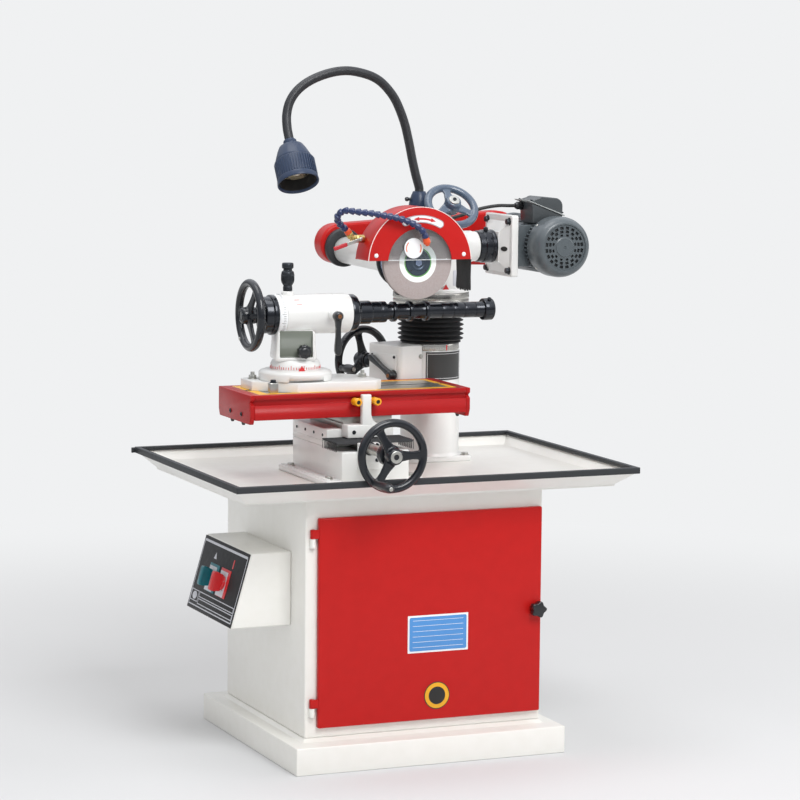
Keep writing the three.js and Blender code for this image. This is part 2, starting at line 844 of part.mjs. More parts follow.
// Door: a dished sheet with a bored knuckle over each hinge pin and a hole for the latch
function doorKnuckle(z) {
  const start = z + gap;
  const knuckle = rod(hingeRadius, hingeHeight, 'z', hingeX, hingeY, start);
  const tab = box(hingeX, doorLeft + doorSheet, hingeY - hingeRadius, hingeY - hingeRadius + doorSheet,
    start, start + hingeHeight);
  return cut(join(knuckle, tab), bore(hingePinRadius, hingeHeight + 2 * overrun, 'z', hingeX, hingeY,
    z - overrun));
}
add('cabinet_door', join(
  cut(
    box(doorLeft, doorRight, doorBack - doorDepth, doorBack, doorBottom, doorTop),
    box(doorLeft + doorSheet, doorRight - doorSheet, doorBack - doorDepth + doorSheet, doorBack + overrun,
      doorBottom + doorSheet, doorTop - doorSheet),
    bore(latchStemRadius, doorDepth, 'y', latchX, doorBack - doorDepth - overrun, latchHeight),
  ),
  ...hingeHeights.map(doorKnuckle),
), redPaint);

// Latch: a five-lobed knob on a stem, with a cam that turns behind the door frame
function lobedOutline(radius, lobes) {
  const points = [];
  const steps = lobes * 6;
  for (let i = 0; i < steps; i += 1) {
    const angle = (2 * Math.PI * i) / steps;
    const reach = radius * (0.88 + 0.12 * Math.cos(lobes * angle));
    points.push([reach * Math.cos(angle), reach * Math.sin(angle)]);
  }
  return points;
}
const doorFace = doorBack - doorDepth;
const camFront = cabinetFront + cabinetSheet + gap;
const latchNeck = latchStemRadius + gap;
add('latch_knob', join(
  place(slab(lobedOutline(latchRadius, latchLobes), latchDepth), '-y', latchX, doorFace - latchNeck,
    latchHeight),
  rod(latchRadius / 2, latchNeck, '-y', latchX, doorFace - gap, latchHeight),
  rod(latchStemRadius, camFront + latchCamThickness - doorFace + latchNeck, 'y', latchX,
    doorFace - latchNeck,
    latchHeight),
  box(latchX - latchCamWidth / 2, latchX + latchCamWidth / 2, camFront, camFront + latchCamThickness,
    latchHeight - latchCamLength, latchHeight + latchStemRadius),
), blackPlastic);

// Chip tray: sloped sides, a thick floor that carries the machine, and an upright lip
const slopeX = (trayRimWidth - trayFloorWidth) / trayRise;
const slopeY = (trayRimDepth - trayFloorDepth) / trayRise;
const innerWidth = (z) => trayFloorWidth + slopeX * (z - cabinetTop) - 2 * traySheet;
const innerDepth = (z) => trayFloorDepth + slopeY * (z - cabinetTop) - 2 * traySheet;
const lipTop = trayRim + trayLipHeight;
function rectRing(width, depth, wall, z0, z1) {
  return cut(
    box(-width / 2, width / 2, -depth / 2, depth / 2, z0, z1),
    box(-width / 2 + wall, width / 2 - wall, -depth / 2 + wall, depth / 2 - wall, z0 - overrun,
      z1 + overrun),
  );
}
add('chip_tray', join(
  cut(
    taper(trayFloorWidth, trayFloorDepth, cabinetTop, trayRimWidth, trayRimDepth, trayRim),
    taper(innerWidth(trayFloor), innerDepth(trayFloor), trayFloor,
      innerWidth(trayRim + overrun), innerDepth(trayRim + overrun), trayRim + overrun),
  ),
  rectRing(trayRimWidth, trayRimDepth, trayLipThickness, trayRim, lipTop),
), whitePaint);

// Rubber edge: an upside-down channel pushed over the lip
const edgeTop = lipTop + gap + edgeWall;
const edgeWidth = trayRimWidth + 2 * (gap + edgeWall);
const edgeDepth = trayRimDepth + 2 * (gap + edgeWall);
const edgeCapWall = 2 * edgeWall + 2 * gap + trayLipThickness;
add('tray_edge_seal', join(
  rectRing(edgeWidth, edgeDepth, edgeWall, edgeTop - edgeSkirt, edgeTop),
  rectRing(edgeWidth, edgeDepth, edgeCapWall, edgeTop - edgeWall, edgeTop),
  cut(
    rectRing(edgeWidth, edgeDepth, edgeCapWall, edgeTop - edgeWall - edgeInnerSkirt, edgeTop),
    rectRing(edgeWidth + overrun, edgeDepth + overrun, edgeCapWall - edgeWall + overrun / 2,
      edgeTop - edgeSkirt, edgeTop - edgeWall),
  ),
), blackRubber);

// Switch box: a sheet case with a sloped face on the cabinet's left wall
const wallX = -halfWidth;
const switchBack = switchBoxCentreY + switchBoxLength / 2;
const switchBottom = switchBoxTop - switchBoxHeight;
const faceRun = switchBoxBottomReach - switchBoxTopReach;
const faceAngle = Math.atan2(faceRun, switchBoxHeight);
const faceNormal = [-Math.cos(faceAngle), 0, Math.sin(faceAngle)];
const faceCentreX = wallX - (switchBoxTopReach + switchBoxBottomReach) / 2;
const faceCentreZ = switchBoxTop - switchBoxHeight / 2;
const switchYs = [switchBoxCentreY + switchSpread / 2, switchBoxCentreY - switchSpread / 2];
function onFace(geometry, y, height) {
  const turn = new THREE.Matrix4().makeRotationY(-Math.PI / 2 + faceAngle);
  geometry.applyMatrix4(turn);
  return geometry.translate(faceCentreX + faceNormal[0] * height, y, faceCentreZ + faceNormal[2] * height);
}
add('switch_box', cut(
  slab([[0, 0], [-switchBoxBottomReach, 0], [-switchBoxTopReach, switchBoxHeight], [0, switchBoxHeight]],
    switchBoxLength).rotateX(Math.PI / 2).translate(wallX, switchBack, switchBottom),
  ...switchYs.map((y) => onFace(bore(switchStemRadius, switchStemDepth + 2 * overrun, 'z', 0, 0,
    -switchStemDepth - overrun), y, 0)),
), whitePaint);

// Rotary switches: a bar grip on a collar, with a stem into the box
function switchKnob() {
  const half = switchGripWidth / 2;
  const gripBar = box(-switchGripLength / 2, switchGripLength / 2, -half, half, switchCollarHeight,
    switchCollarHeight + switchGripHeight);
  return join(gripBar, rod(switchCollarRadius, switchCollarHeight + overrun / 2, 'z', 0, 0, 0),
    rod(switchStemRadius, switchStemDepth + overrun, 'z', 0, 0, -switchStemDepth));
}
add('start_switch', onFace(switchKnob(), switchYs[0], gap), tealPlastic);
add('stop_switch', onFace(switchKnob(), switchYs[1], gap), redPlastic);

// Base casting: hollow from below, flanged at both sides, with the feed screw's trough and front bearing
const baseLeft = baseCentreX - baseWidth / 2;
const baseRight = baseCentreX + baseWidth / 2;
const troughRadius = crossScrewRadius + 2 * overrun;
const flangeLeft = baseLeft - baseFlangeWidth;
const flangeRight = baseRight + baseFlangeWidth;
const footBolts = [];
for (const x of [baseLeft - baseFlangeWidth / 2, baseRight + baseFlangeWidth / 2]) {
  for (const y of [baseFront + baseFlangeWidth, baseBack - baseFlangeWidth]) {
    footBolts.push(rod(footBoltRadius, footBoltHeight + overrun, 'z', x, y, columnBottom - overrun, 6));
  }
}
add('base_casting', join(
  cut(
    join(
      box(baseLeft, baseRight, baseFront, baseBack, trayFloor, baseTop),
      box(flangeLeft, flangeRight, baseFront, baseBack, trayFloor, columnBottom),
      box(crossScrewX - bearingHalfWidth, crossScrewX + bearingHalfWidth, baseFront - bearingLength,
        baseFront, baseTop - 2 * bearingRise, baseTop + bearingRise),
    ),
    box(baseLeft + baseWall, baseRight - baseWall, baseFront + baseWall, baseBack - baseWall,
      trayFloor - overrun, baseTop - 2 * baseWall),
    rod(troughRadius, baseLength, 'y', crossScrewX, baseFront + bearingLength / 2, crossScrewZ),
    bore(crossScrewRadius, baseLength, 'y', crossScrewX, baseFront - bearingLength - overrun, crossScrewZ),
  ),
  ...footBolts,
), whitePaint);

// Saddle on the base's way, bored for the feed screw, with the table's bearing guide on top
add('cross_saddle', cut(
  box(baseLeft, baseRight, saddleFront, baseBack, baseTop, saddleTop),
  bore(crossScrewRadius, 2 * baseLength, 'y', crossScrewX, saddleFront - overrun, crossScrewZ),
), whitePaint);
const guideLeft = baseLeft + guideInsetLeft;
const guideRight = baseRight - guideInsetRight;
add('table_guide', box(guideLeft, guideRight, saddleFront + guideSetback, tableBack - guideSetback,
  saddleTop, guideTop), brightSteel);

// Stop bracket on the saddle's front, with its upright in front of the table
const bufferBack = tableFront - bufferBarThickness;
const uprightBack = bufferBack - bufferBarThickness;
const uprightFront = uprightBack - bracketThickness;
const footTop = guideTop - bracketThickness;
const bufferZ = tableTop - bufferDrop;
add('stop_bracket', join(
  box(bracketCentreX - bracketFootLeft, bracketCentreX - bracketFootLeft + bracketFootWidth, uprightFront,
    saddleFront, footTop - bracketFootHeight, footTop),
  box(bracketCentreX - bracketWidth / 2, bracketCentreX + bracketWidth / 2, uprightFront, uprightBack,
    footTop - bracketFootHeight / 2, tableTop - bracketTopDrop),
), whitePaint);
const bufferXs = [bracketCentreX - bufferSpread / 2, bracketCentreX + bufferSpread / 2];
add('stop_buffers', join(
  box(bufferXs[0], bufferXs[1], uprightBack, bufferBack, bufferZ - bufferBarHeight / 2,
    bufferZ + bufferBarHeight / 2),
  ...bufferXs.map((x) => rod(bufferRadius, bufferLength, '-y', x, bufferBack, bufferZ)),
), yellowPlastic);

// Folded way cover between the saddle and the base's front bearing
const coverFront = baseFront + gap;
const coverBack = saddleFront - gap;
const coverLeft = baseLeft - coverOverhang;
const coverRight = baseRight + coverOverhang;
const coverPitch = (coverBack - coverFront) / coverPleats;
function pleats(height) {
  const crest = baseTop + height;
  const line = [[coverBack, baseTop + gap], [coverFront, baseTop + gap]];
  for (let i = 0; i < coverPleats; i += 1) {
    line.push([coverFront + coverPitch * i, crest - coverPleatDepth]);
    line.push([coverFront + coverPitch * (i + 0.5), crest]);
  }
  line.push([coverBack, crest - coverPleatDepth]);
  return line;
}
add('way_cover', cut(
  profileAlongX(pleats(coverHeight), coverLeft, coverRight),
  box(crossScrewX - bearingHalfWidth - gap, crossScrewX + bearingHalfWidth + gap, coverFront - overrun,
    coverBack + overrun, baseTop - overrun, baseTop + coverHeight - coverPleatDepth - coverSheet),
), blackRubber);

// Feed screw with its dial and dished handwheel in front of the tray
function crossWheel() {
  const wheel = place(handwheel(largeWheelRadius, crossScrewRadius / 2), '-y', crossScrewX,
    crossWheelFront + hubLength, crossScrewZ);
  const screwStart = crossWheelFront + overrun;
  const screw = rod(crossScrewRadius, baseBack - 2 * baseWall - screwStart, 'y', crossScrewX, screwStart,
    crossScrewZ);
  const dialStart = crossWheelFront + hubLength - weld;
  const dial = rod(crossDialRadius, crossDialLength, 'y', crossScrewX, dialStart, crossScrewZ,
    fineSegments);
  const sleeve = rod(crossSleeveRadius, baseFront - bearingLength - gap - dialStart, 'y', crossScrewX,
    dialStart, crossScrewZ);
  return join(wheel, screw, dial, sleeve);
}
const crossGripAngle = THREE.MathUtils.degToRad(-128);
const rimFront = wheelDish + rimRadius;
add('cross_handwheel', cut(
  crossWheel(),
  bore(gripStemRadius, 2 * rimRadius + gap, 'y',
    crossScrewX + (largeWheelRadius - rimRadius) * Math.cos(crossGripAngle),
    crossWheelFront + hubLength - rimFront - gap,
      crossScrewZ + (largeWheelRadius - rimRadius) * Math.sin(crossGripAngle)),
), blackPlastic);
function gripOnRim(length) {
  return join(grip(length).translate(0, 0, gap), rod(gripStemRadius, rimRadius + gripStemRadius, 'z', 0, 0,
    -rimRadius));
}
add('cross_grip', place(gripOnRim(gripLength), '-y',
  crossScrewX + (largeWheelRadius - rimRadius) * Math.cos(crossGripAngle),
  crossWheelFront + hubLength - rimFront,
  crossScrewZ + (largeWheelRadius - rimRadius) * Math.sin(crossGripAngle)), blackPlastic);

// Table: red casting with a front groove and a pocket for the T-slotted top plate
const bodyLeft = tableLeft + endCoverThickness;
const bodyRight = tableRight - endCoverThickness;
const grooveTop = tableTop - grooveDrop;
add('table_body', cut(
  box(bodyLeft, bodyRight, tableFront, tableBack, tableBottom + gap, tableTop),
  box(bodyLeft + tableBorder, bodyRight - tableBorder, tableFront + tableBorder, tableBack - tableBorder,
    tableTop - topPlateThickness - gap, tableTop + overrun),
  box(bodyLeft - overrun, bodyRight + overrun, tableFront - overrun, tableFront + grooveDepth,
    grooveTop - grooveHeight, grooveTop),
), redPaint);
const plateFloor = tableTop - topPlateThickness;
const slotFloor = tableTop - slotDepth;
add('table_top', cut(
  box(bodyLeft + tableBorder + gap, bodyRight - tableBorder - gap, tableFront + tableBorder + gap,
    tableBack - tableBorder - gap, plateFloor, tableTop),
  box(tableLeft, tableRight, workheadY - slotWidth / 2, workheadY + slotWidth / 2, slotFloor,
    tableTop + overrun),
  box(tableLeft, tableRight, workheadY - slotFootWidth / 2, workheadY + slotFootWidth / 2,
    slotFloor, slotFloor + slotFootHeight),
), brightSteel);
function endCover(x0, outwards) {
  const low = tableBottom - endCoverDrop;
  const outline = [
    [tableFront, tableBottom + endCoverChamfer], [tableFront + endCoverChamfer, low],
    [tableBack - endCoverChamfer, low], [tableBack, tableBottom + endCoverChamfer], [tableBack, tableTop],
    [tableFront, tableTop], [tableFront, grooveTop], [tableFront + endNotch, grooveTop - grooveHeight / 2],
    [tableFront, grooveTop - grooveHeight],
  ];
  const cover = profileAlongX(outline, x0, x0 + endCoverThickness);
  const middle = x0 + endCoverThickness / 2;
  const knobs = [];
  const bolts = [];
  for (const y of [tableFront + tableDepth * 0.28, tableFront + tableDepth * 0.62]) {
    knobs.push(rod(endKnobRadius, endKnobHeight + weld, '-z', middle + outwards * gap, y, low + weld,
      coarseSegments / 2));
    const face = outwards < 0 ? x0 : x0 + endCoverThickness;
    bolts.push(rod(endKnobRadius, endBoltRise + overrun, outwards < 0 ? '-x' : 'x',
      face - outwards * overrun, y,
      tableBottom + endCoverDrop, coarseSegments / 2));
  }
  return join(cover, ...knobs, ...bolts);
}
add('end_cover_left', endCover(tableLeft, -1), redPaint);
add('end_cover_right', endCover(bodyRight, 1), redPaint);

// Workhead base plate, clamped on the table
const plateFront = workheadY - workheadPlateDepth / 2;
const plateBack = workheadY + workheadPlateDepth / 2;
const plateRight = workheadPlateLeft + workheadPlateLength;
const lug = workheadPlateDepth / 4;
const plateOutline = [
  [workheadPlateLeft + 2 * lug, plateFront], [plateRight - lug / 2, plateFront], [plateRight,
    plateFront + lug / 2],
  [plateRight, plateBack - lug], [plateRight - lug, plateBack], [workheadPlateLeft + lug, plateBack],
  [workheadPlateLeft, plateBack - lug / 2], [workheadPlateLeft, workheadY - lug / 4],
];
const clampBolts = [[workheadPlateLeft + lug / 2, workheadY + lug], [plateRight - lug / 2, workheadY]];
add('workhead_base', join(
  cut(
    slab(plateOutline, workheadPlateHeight).translate(0, 0, tableTop),
    bore(pivotRadius, workheadPlateHeight + 2 * overrun, 'z', workheadX, workheadY, tableTop - overrun),
  ),
  ...clampBolts.map(([x, y]) => rod(footBoltRadius, workheadPlateHeight, 'z', x, y, swivelFloor - overrun,
    6)),
), whitePaint);

// Workhead: swivel plate, graduated collar, pedestal and the round body that holds the arbor
const workhead = new THREE.Group();
workhead.position.set(workheadX, workheadY, 0);
grinder.add(workhead);
const swivelTop = swivelFloor + gap + swivelPlateHeight;
const pedestalTop = workheadAxis - workheadBodyRadius / 2;
const bodyX0 = workheadBodyLeft - workheadX;
const bodyX1 = workheadBodyRight - workheadX;
const recessHalf = pedestalWidth / 2 - pedestalRecessBorder;
const plungerLocalX = -plungerShift;
const bodyTop = workheadAxis + workheadBodyRadius;
const leverLocalX = leverShift;
const lockZ = pedestalBottom + lockKnobDrop;
add('workhead_body', cut(
  join(
    rod(swivelPlateRadius, swivelPlateHeight, 'z', 0, 0, swivelFloor + gap, fineSegments),
    rod(pivotRadius, workheadPlateHeight, 'z', 0, 0, tableTop + gap),
    rod(collarRadius, collarHeight + overrun, 'z', 0, 0, swivelTop - overrun, fineSegments),
    box(-pedestalWidth / 2, pedestalWidth / 2, -pedestalDepth / 2, pedestalDepth / 2, pedestalBottom - gap,
      pedestalTop),
    rod(workheadBodyRadius, bodyX1 - bodyX0, 'x', bodyX0, 0, workheadAxis, fineSegments),
    rod(dialRadius, dialLength, '-x', bodyX0, 0, workheadAxis, fineSegments),
    rod(plungerBossRadius, plungerBossHeight + workheadBodyRadius / 2, 'z', plungerLocalX, 0,
      bodyTop - workheadBodyRadius / 2),
    rod(leverHubRadius, leverHubLength + workheadBodyRadius / 2, '-y', leverLocalX,
      -workheadBodyRadius / 2, workheadAxis),
  ),
  box(-swivelPlateRadius / 2, swivelPlateRadius / 2, -swivelPlateRadius - overrun,
    -swivelPlateRadius + swivelSlotDepth, swivelFloor, swivelFloor + gap + swivelSlotHeight),
  box(-recessHalf, recessHalf, -pedestalDepth / 2 - overrun, -pedestalDepth / 2 + pedestalRecessDepth,
    pedestalBottom + pedestalRecessBorder, workheadAxis - workheadBodyRadius - pedestalRecessBorder),
  bore(arborRadius, bodyX1 - bodyX0 + dialLength + 2 * overrun, 'x', bodyX0 - dialLength - overrun, 0,
    workheadAxis),
  bore(plungerRadius, plungerHeight, 'z', plungerLocalX, 0,
    bodyTop + plungerBossHeight - plungerDepth - overrun),
  bore(leverStemRadius, leverHubLength, 'y', leverLocalX,
    -workheadBodyRadius - leverHubLength - overrun, workheadAxis),
  bore(lockKnobStem, lockKnobLength, 'y', 0, -pedestalDepth / 2 - overrun, lockZ),
), whitePaint, workhead);

// Index disc with a ring of holes, handwheel, and the long arbor, which turn together
const discRight = bodyX0 - dialLength - gap;
const indexTools = [rod(arborRadius / 2 + gap, indexDiscLength + 2 * overrun, '-x', discRight + overrun, 0,
  workheadAxis)];
for (let i = 0; i < indexHoles; i += 1) {
  const angle = (2 * Math.PI * i) / indexHoles;
  const reach = indexDiscRadius - 3 * indexHoleRadius;
  indexTools.push(rod(indexHoleRadius, overrun * 2, 'x', discRight - indexDiscLength - overrun,
    reach * Math.cos(angle), workheadAxis + reach * Math.sin(angle), coarseSegments / 3));
}
add('index_disc', cut(
  rod(indexDiscRadius, indexDiscLength, '-x', discRight, 0, workheadAxis, fineSegments), ...indexTools,
), blackSteel, workhead);
const workWheelX = discRight - indexDiscLength - gap;
add('workhead_handwheel', place(handwheel(largeWheelRadius, arborRadius / 2 + gap), '-x', workWheelX, 0,
  workheadAxis),
  blackPlastic, workhead);
function arborProfile() {
  const start = workWheelX - hubLength;
  const front = bodyX1 + gap;
  const chuckEnd = front + noseLength + chuckLength;
  const sleeveEnd = chuckEnd + sleeveLength;
  const end = barReach;
  const profile = [
    [0, start], [arborRadius / 2, start], [arborRadius / 2, discRight + gap], [arborRadius,
      discRight + gap],
    [arborRadius, front], [noseRadius, front], [noseRadius, front + noseLength * 0.7],
    [chuckRadius + gap, front + noseLength], [chuckRadius, chuckEnd], [sleeveRadius, chuckEnd],
    [sleeveRadius, sleeveEnd], [barRadius, sleeveEnd],
  ];
  for (let i = 0; i < barRings; i += 1) {
    const at = sleeveEnd + barRingStart + barRingPitch * i;
    profile.push([barRadius, at], [barRingRadius, at + barRingChamfer], [barRingRadius,
      at + barRingLength], [barRadius, at + barRingLength + barRingChamfer]);
  }
  profile.push([barRadius, end], [arborNutRadius, end], [arborNutRadius, end + arborNutLength],
    [barRadius / 2, end + arborNutLength], [barRadius / 2, end + arborNutLength + arborTip], [0,
      end + arborNutLength + arborTip]);
  return profile;
}
add('arbor', place(turned(arborProfile()), 'x', 0, 0, workheadAxis), blackSteel, workhead);

// Spring plunger with its stepped knob, pulled up to free the index disc
const plungerBottom = bodyTop + plungerBossHeight - plungerDepth;
const plungerSeat = bodyTop + plungerBossHeight + gap;
add('index_plunger', place(turned([
  [0, 0], [plungerRadius, 0], [plungerRadius, plungerSeat - plungerBottom], [plungerKnobRadius,
    plungerSeat - plungerBottom],
  [plungerKnobRadius, plungerHeight * 0.45], [plungerNeckRadius, plungerHeight * 0.48],
  [plungerNeckRadius, plungerHeight * 0.62], [plungerKnobRadius, plungerHeight * 0.66],
  [plungerKnobRadius, plungerHeight * 0.92], [plungerNeckRadius, plungerHeight],
  [plungerNeckRadius, plungerHeight + plungerNeckRadius], [0, plungerHeight + plungerNeckRadius],
], coarseSegments), 'z', plungerLocalX, 0, plungerBottom), blackPlastic, workhead);

// Clamping lever of the arbor bearing, hanging down at rest, and the swivel's lock knob
const workLever = clampLever().rotateZ(-Math.PI / 2).rotateX(Math.PI / 2);
const bossFace = -workheadBodyRadius - leverHubLength;
add('workhead_lever', workLever.translate(leverLocalX, bossFace - gap, workheadAxis), blackPlastic,
  workhead);
add('swivel_lock_knob', place(turned([
  [0, -lockKnobLength / 2], [lockKnobStem, -lockKnobLength / 2], [lockKnobStem, gap], [lockKnobRadius, gap],
  [lockKnobRadius, lockKnobLength * 0.4], [lockKnobRadius * 0.85, lockKnobLength * 0.75],
  [lockKnobRadius * 0.5, lockKnobLength * 0.95], [0, lockKnobLength],
], coarseSegments), '-y', 0, -pedestalDepth / 2, lockZ), blackPlastic, workhead);

// Column: footed, bored for the quill, with a graduated ring at its top
const column = new THREE.Group();
column.position.set(columnX, columnY, 0);
grinder.add(column);
const ringBottom = columnTop - columnRingHeight;
const columnBolts = [];
for (const x of [-1, 1]) {
  for (const y of [-1, 1]) {
    columnBolts.push(rod(footBoltRadius, footBoltHeight + overrun, 'z',
      x * (columnFootWidth / 2 - 2 * footBoltRadius),
      y * (columnFootDepth / 2 - 1.6 * footBoltRadius), columnBottom - overrun, 6));
  }
}
add('column', cut(
  join(
    box(-columnFootWidth / 2, columnFootWidth / 2, -columnFootDepth / 2, columnFootDepth / 2, trayFloor,
      columnBottom),
    rod(columnRadius, ringBottom - columnBottom + weld, 'z', 0, 0, columnBottom - weld, fineSegments),
    rod(columnRadius - columnRingSetback, columnRingHeight, 'z', 0, 0, ringBottom, fineSegments),
    ...columnBolts,
  ),
  bore(quillRadius, columnTop, 'z', 0, 0, columnBottom + baseWall),
), whitePaint, column);

// Elevating gearbox at the column's left, turned a little, with its shaft leaving at the back
const gearboxBack = gearboxLength - gearboxFront;
add('elevating_gearbox', cut(
  box(-gearboxLeft, 0, -gearboxFront, gearboxBack, gearboxBottom, gearboxTop).rotateZ(gearboxTurn),
  bore(columnRadius, gearboxTop, 'z', 0, 0, gearboxBottom - overrun),
  bore(elevatingShaftRadius, gearboxLength / 2, 'z', 0, 0, 0).applyMatrix4(new THREE.Matrix4()
    .makeRotationX(-Math.PI / 2)).translate(elevatingShaftX, gearboxBack - gearboxLength / 2 + overrun,
      elevatingHeight)
    .rotateZ(gearboxTurn),
  bore(leverStemRadius, columnLeverReach, 'x', -gearboxLeft - overrun, -gearboxFront + columnLeverSetback,
    columnLeverHeight).rotateZ(gearboxTurn),
), whitePaint, column);
const elevatingWheel = new THREE.Group();
elevatingWheel.position.set(0, 0, 0);
elevatingWheel.rotation.set(0, 0, gearboxTurn);
column.add(elevatingWheel);
const elevatingHubBack = gearboxBack + elevatingWheelReach;
const elevatingRimX = elevatingShaftX + (largeWheelRadius - rimRadius) * Math.cos(elevatingGripAngle);
const elevatingRimZ = elevatingHeight + (largeWheelRadius - rimRadius) * Math.sin(elevatingGripAngle);
const elevatingRimY = elevatingHubBack - rimFront;
add('elevating_handwheel', cut(
  join(
    place(handwheel(largeWheelRadius, elevatingShaftRadius / 2), '-y', elevatingShaftX, elevatingHubBack,
      elevatingHeight),
    rod(elevatingShaftRadius, elevatingWheelReach - hubLength / 2 + gearboxLength / 3, 'y', elevatingShaftX,
      gearboxBack - gearboxLength / 3, elevatingHeight),
  ),
  bore(gripStemRadius, 2 * rimRadius + gap, 'y', elevatingRimX, elevatingRimY - gap, elevatingRimZ),
), blackPlastic, elevatingWheel);
add('elevating_grip', place(gripOnRim(shortGripLength), '-y', elevatingRimX, elevatingRimY, elevatingRimZ),
  blackPlastic, elevatingWheel);
const columnLever = clampLever().rotateZ(columnLeverAngle);
add('column_lever', place(columnLever, '-x', -gearboxLeft - gap, -gearboxFront + columnLeverSetback,
  columnLeverHeight),
  blackPlastic, elevatingWheel);

// Quill, the folded bellows round it and the graduated swivel ring on top
add('quill', cut(
  rod(quillRadius, quillTop - quillBottom, 'z', 0, 0, quillBottom, fineSegments),
  rod(quillBore, quillTop - quillBottom - baseWall, 'z', 0, 0, quillBottom - overrun),
), brightSteel, column);
function bellowsProfile() {
  const inner = quillRadius + gap;
  const low = columnTop + gap;
  const high = quillTop - gap;
  const pitch = (high - low) / bellowsPleats;
  const profile = [[inner, low], [bellowsRadius - bellowsFold, low]];
  for (let i = 0; i < bellowsPleats; i += 1) {
    profile.push([bellowsRadius, low + pitch * (i + 0.5)]);
    profile.push([bellowsRadius - bellowsFold, low + pitch * (i + 1)]);
  }
  profile.push([inner, high], [inner, low]);
  return profile;
}
add('column_bellows', turned(bellowsProfile()), blackRubber, column);
add('swivel_ring', tube(swivelRingRadius, pivotRadius + gap, swivelRingHeight, 'z', 0, 0, quillTop),
  brightSteel, column);

// Yoke of the wheelhead: swivel disc, body with the trunnion bore, right boss, feed shaft boss and glands
const headX = (x) => x - columnX;
const headY = (y) => y - columnY;
const yokeLeft = -yokeWidth / 2;
const yokeRight = yokeWidth / 2;
const yokeFront = -yokeDepth / 2;
const yokeOutline = [
  [yokeFront, headBottom + yokeDiscHeight], [-yokeFront, headBottom + yokeDiscHeight], [-yokeFront,
    yokeTop],
  [yokeFront + yokeChamfer, yokeTop], [yokeFront, yokeTop - yokeChamfer],
];
const shaftAxis = [0, -Math.sin(headWheelTilt), Math.cos(headWheelTilt)];
const alongShaft = (distance) => [headX(headWheelX), headY(headWheelY) + shaftAxis[1] * distance,
  headWheelZ + shaftAxis[2] * distance];
add('head_yoke', cut(
  join(
    rod(swivelRingRadius, yokeDiscHeight, 'z', 0, 0, headBottom + gap, fineSegments),
    rod(pivotRadius, swivelRingHeight + yokeDiscHeight, 'z', 0, 0, quillTop + gap),
    profileAlongX(yokeOutline, yokeLeft, yokeRight),
    rod(yokeBossRadius, headX(yokeBossEnd) - yokeRight + overrun, 'x', yokeRight - overrun, 0,
      trunnionHeight, fineSegments),
    rod(headBossRadius, headBossLength, shaftAxis, ...alongShaft(-headShaftLength)),
    rod(cableGlandRadius, cableGlandHeight, 'z', headX(cableX), headY(cableY), yokeTop - gap),
  ),
  bore(trunnionRadius, yokeWidth * 2, 'x', yokeLeft - overrun, 0, trunnionHeight),
  bore(headShaftRadius, headShaftLength + overrun, shaftAxis, ...alongShaft(-headShaftLength - overrun)),
  bore(lampPostRadius, lampPostRadius, 'z', headX(lampX), headY(lampY), yokeTop - lampPostRadius + gap),
), whitePaint, column);
add('head_handwheel', join(
  place(handwheel(smallWheelRadius, headShaftRadius / 2, Math.PI / 2), shaftAxis, headX(headWheelX),
    headY(headWheelY), headWheelZ),
  rod(headShaftRadius, headShaftLength + hubLength / 2, shaftAxis, ...alongShaft(-headShaftLength)),
), blackPlastic, column);
const collarStart = yokeBossEnd + gap;
add('trunnion_collar', tube(trunnionCollarRadius, trunnionRadius + gap, trunnionCollarLength, 'x',
  headX(collarStart), 0,
  trunnionHeight), blackSteel, column);

// Spindle housing with its arm and the trunnion shaft through the yoke
const head = new THREE.Group();
grinder.add(head);
const armRight = columnX + yokeLeft - gap;
const trunnionEnd = bracketPlateX - gap;
add('spindle_housing', cut(
  join(
    rod(housingRadius, housingBack - housingFront, 'y', spindleX, housingFront, spindleHeight,
      fineSegments),
    box(spindleX, armRight, columnY - housingArmDepth / 2, columnY + housingArmDepth / 2,
      trunnionHeight - housingArmHeight / 2, trunnionHeight + housingArmHeight / 2),
    rod(trunnionRadius, trunnionEnd - armRight + overrun, 'x', armRight - overrun, columnY, trunnionHeight),
  ),
  bore(spindleRadius, housingBack - housingFront + 2 * overrun, 'y', spindleX, housingFront - overrun,
    spindleHeight),
), whitePaint, head);

// Spindle with wheel flanges in front and its pulley at the back
const wheelFront = wheelBack - wheelThickness;
function spindleProfile() {
  const back = pulleyFront + pulleyLength;
  const nose = wheelFront - gap - flangeThickness;
  return [
    [0, nose - boltHeadLength], [boltHeadRadius, nose - boltHeadLength], [boltHeadRadius, nose],
      [flangeRadius, nose],
    [flangeRadius, wheelFront - gap], [spindleNoseRadius, wheelFront - gap], [spindleNoseRadius,
      wheelBack + gap],
    [flangeRadius, wheelBack + gap], [flangeRadius, wheelBack + gap + flangeThickness],
    [spindleNoseRadius, wheelBack + gap + flangeThickness], [spindleNoseRadius, housingFront],
    [spindleRadius, housingFront], [spindleRadius, housingBack], [spindleNoseRadius, housingBack],
    [spindleNoseRadius, pulleyFront], [spindlePulleyRadius + pulleyFlange, pulleyFront],
    [spindlePulleyRadius, pulleyFront + pulleyFlange], [spindlePulleyRadius, back - pulleyFlange],
    [spindlePulleyRadius + pulleyFlange, back], [0, back],
  ];
}
add('spindle', place(turned(spindleProfile(), coarseSegments + 6), 'y', spindleX, 0, spindleHeight),
  blackSteel, head);
add('grinding_wheel', tube(wheelRadius, spindleNoseRadius + gap, wheelThickness, 'y', spindleX, wheelFront,
  spindleHeight,
  fineSegments + 8), abrasive, head);

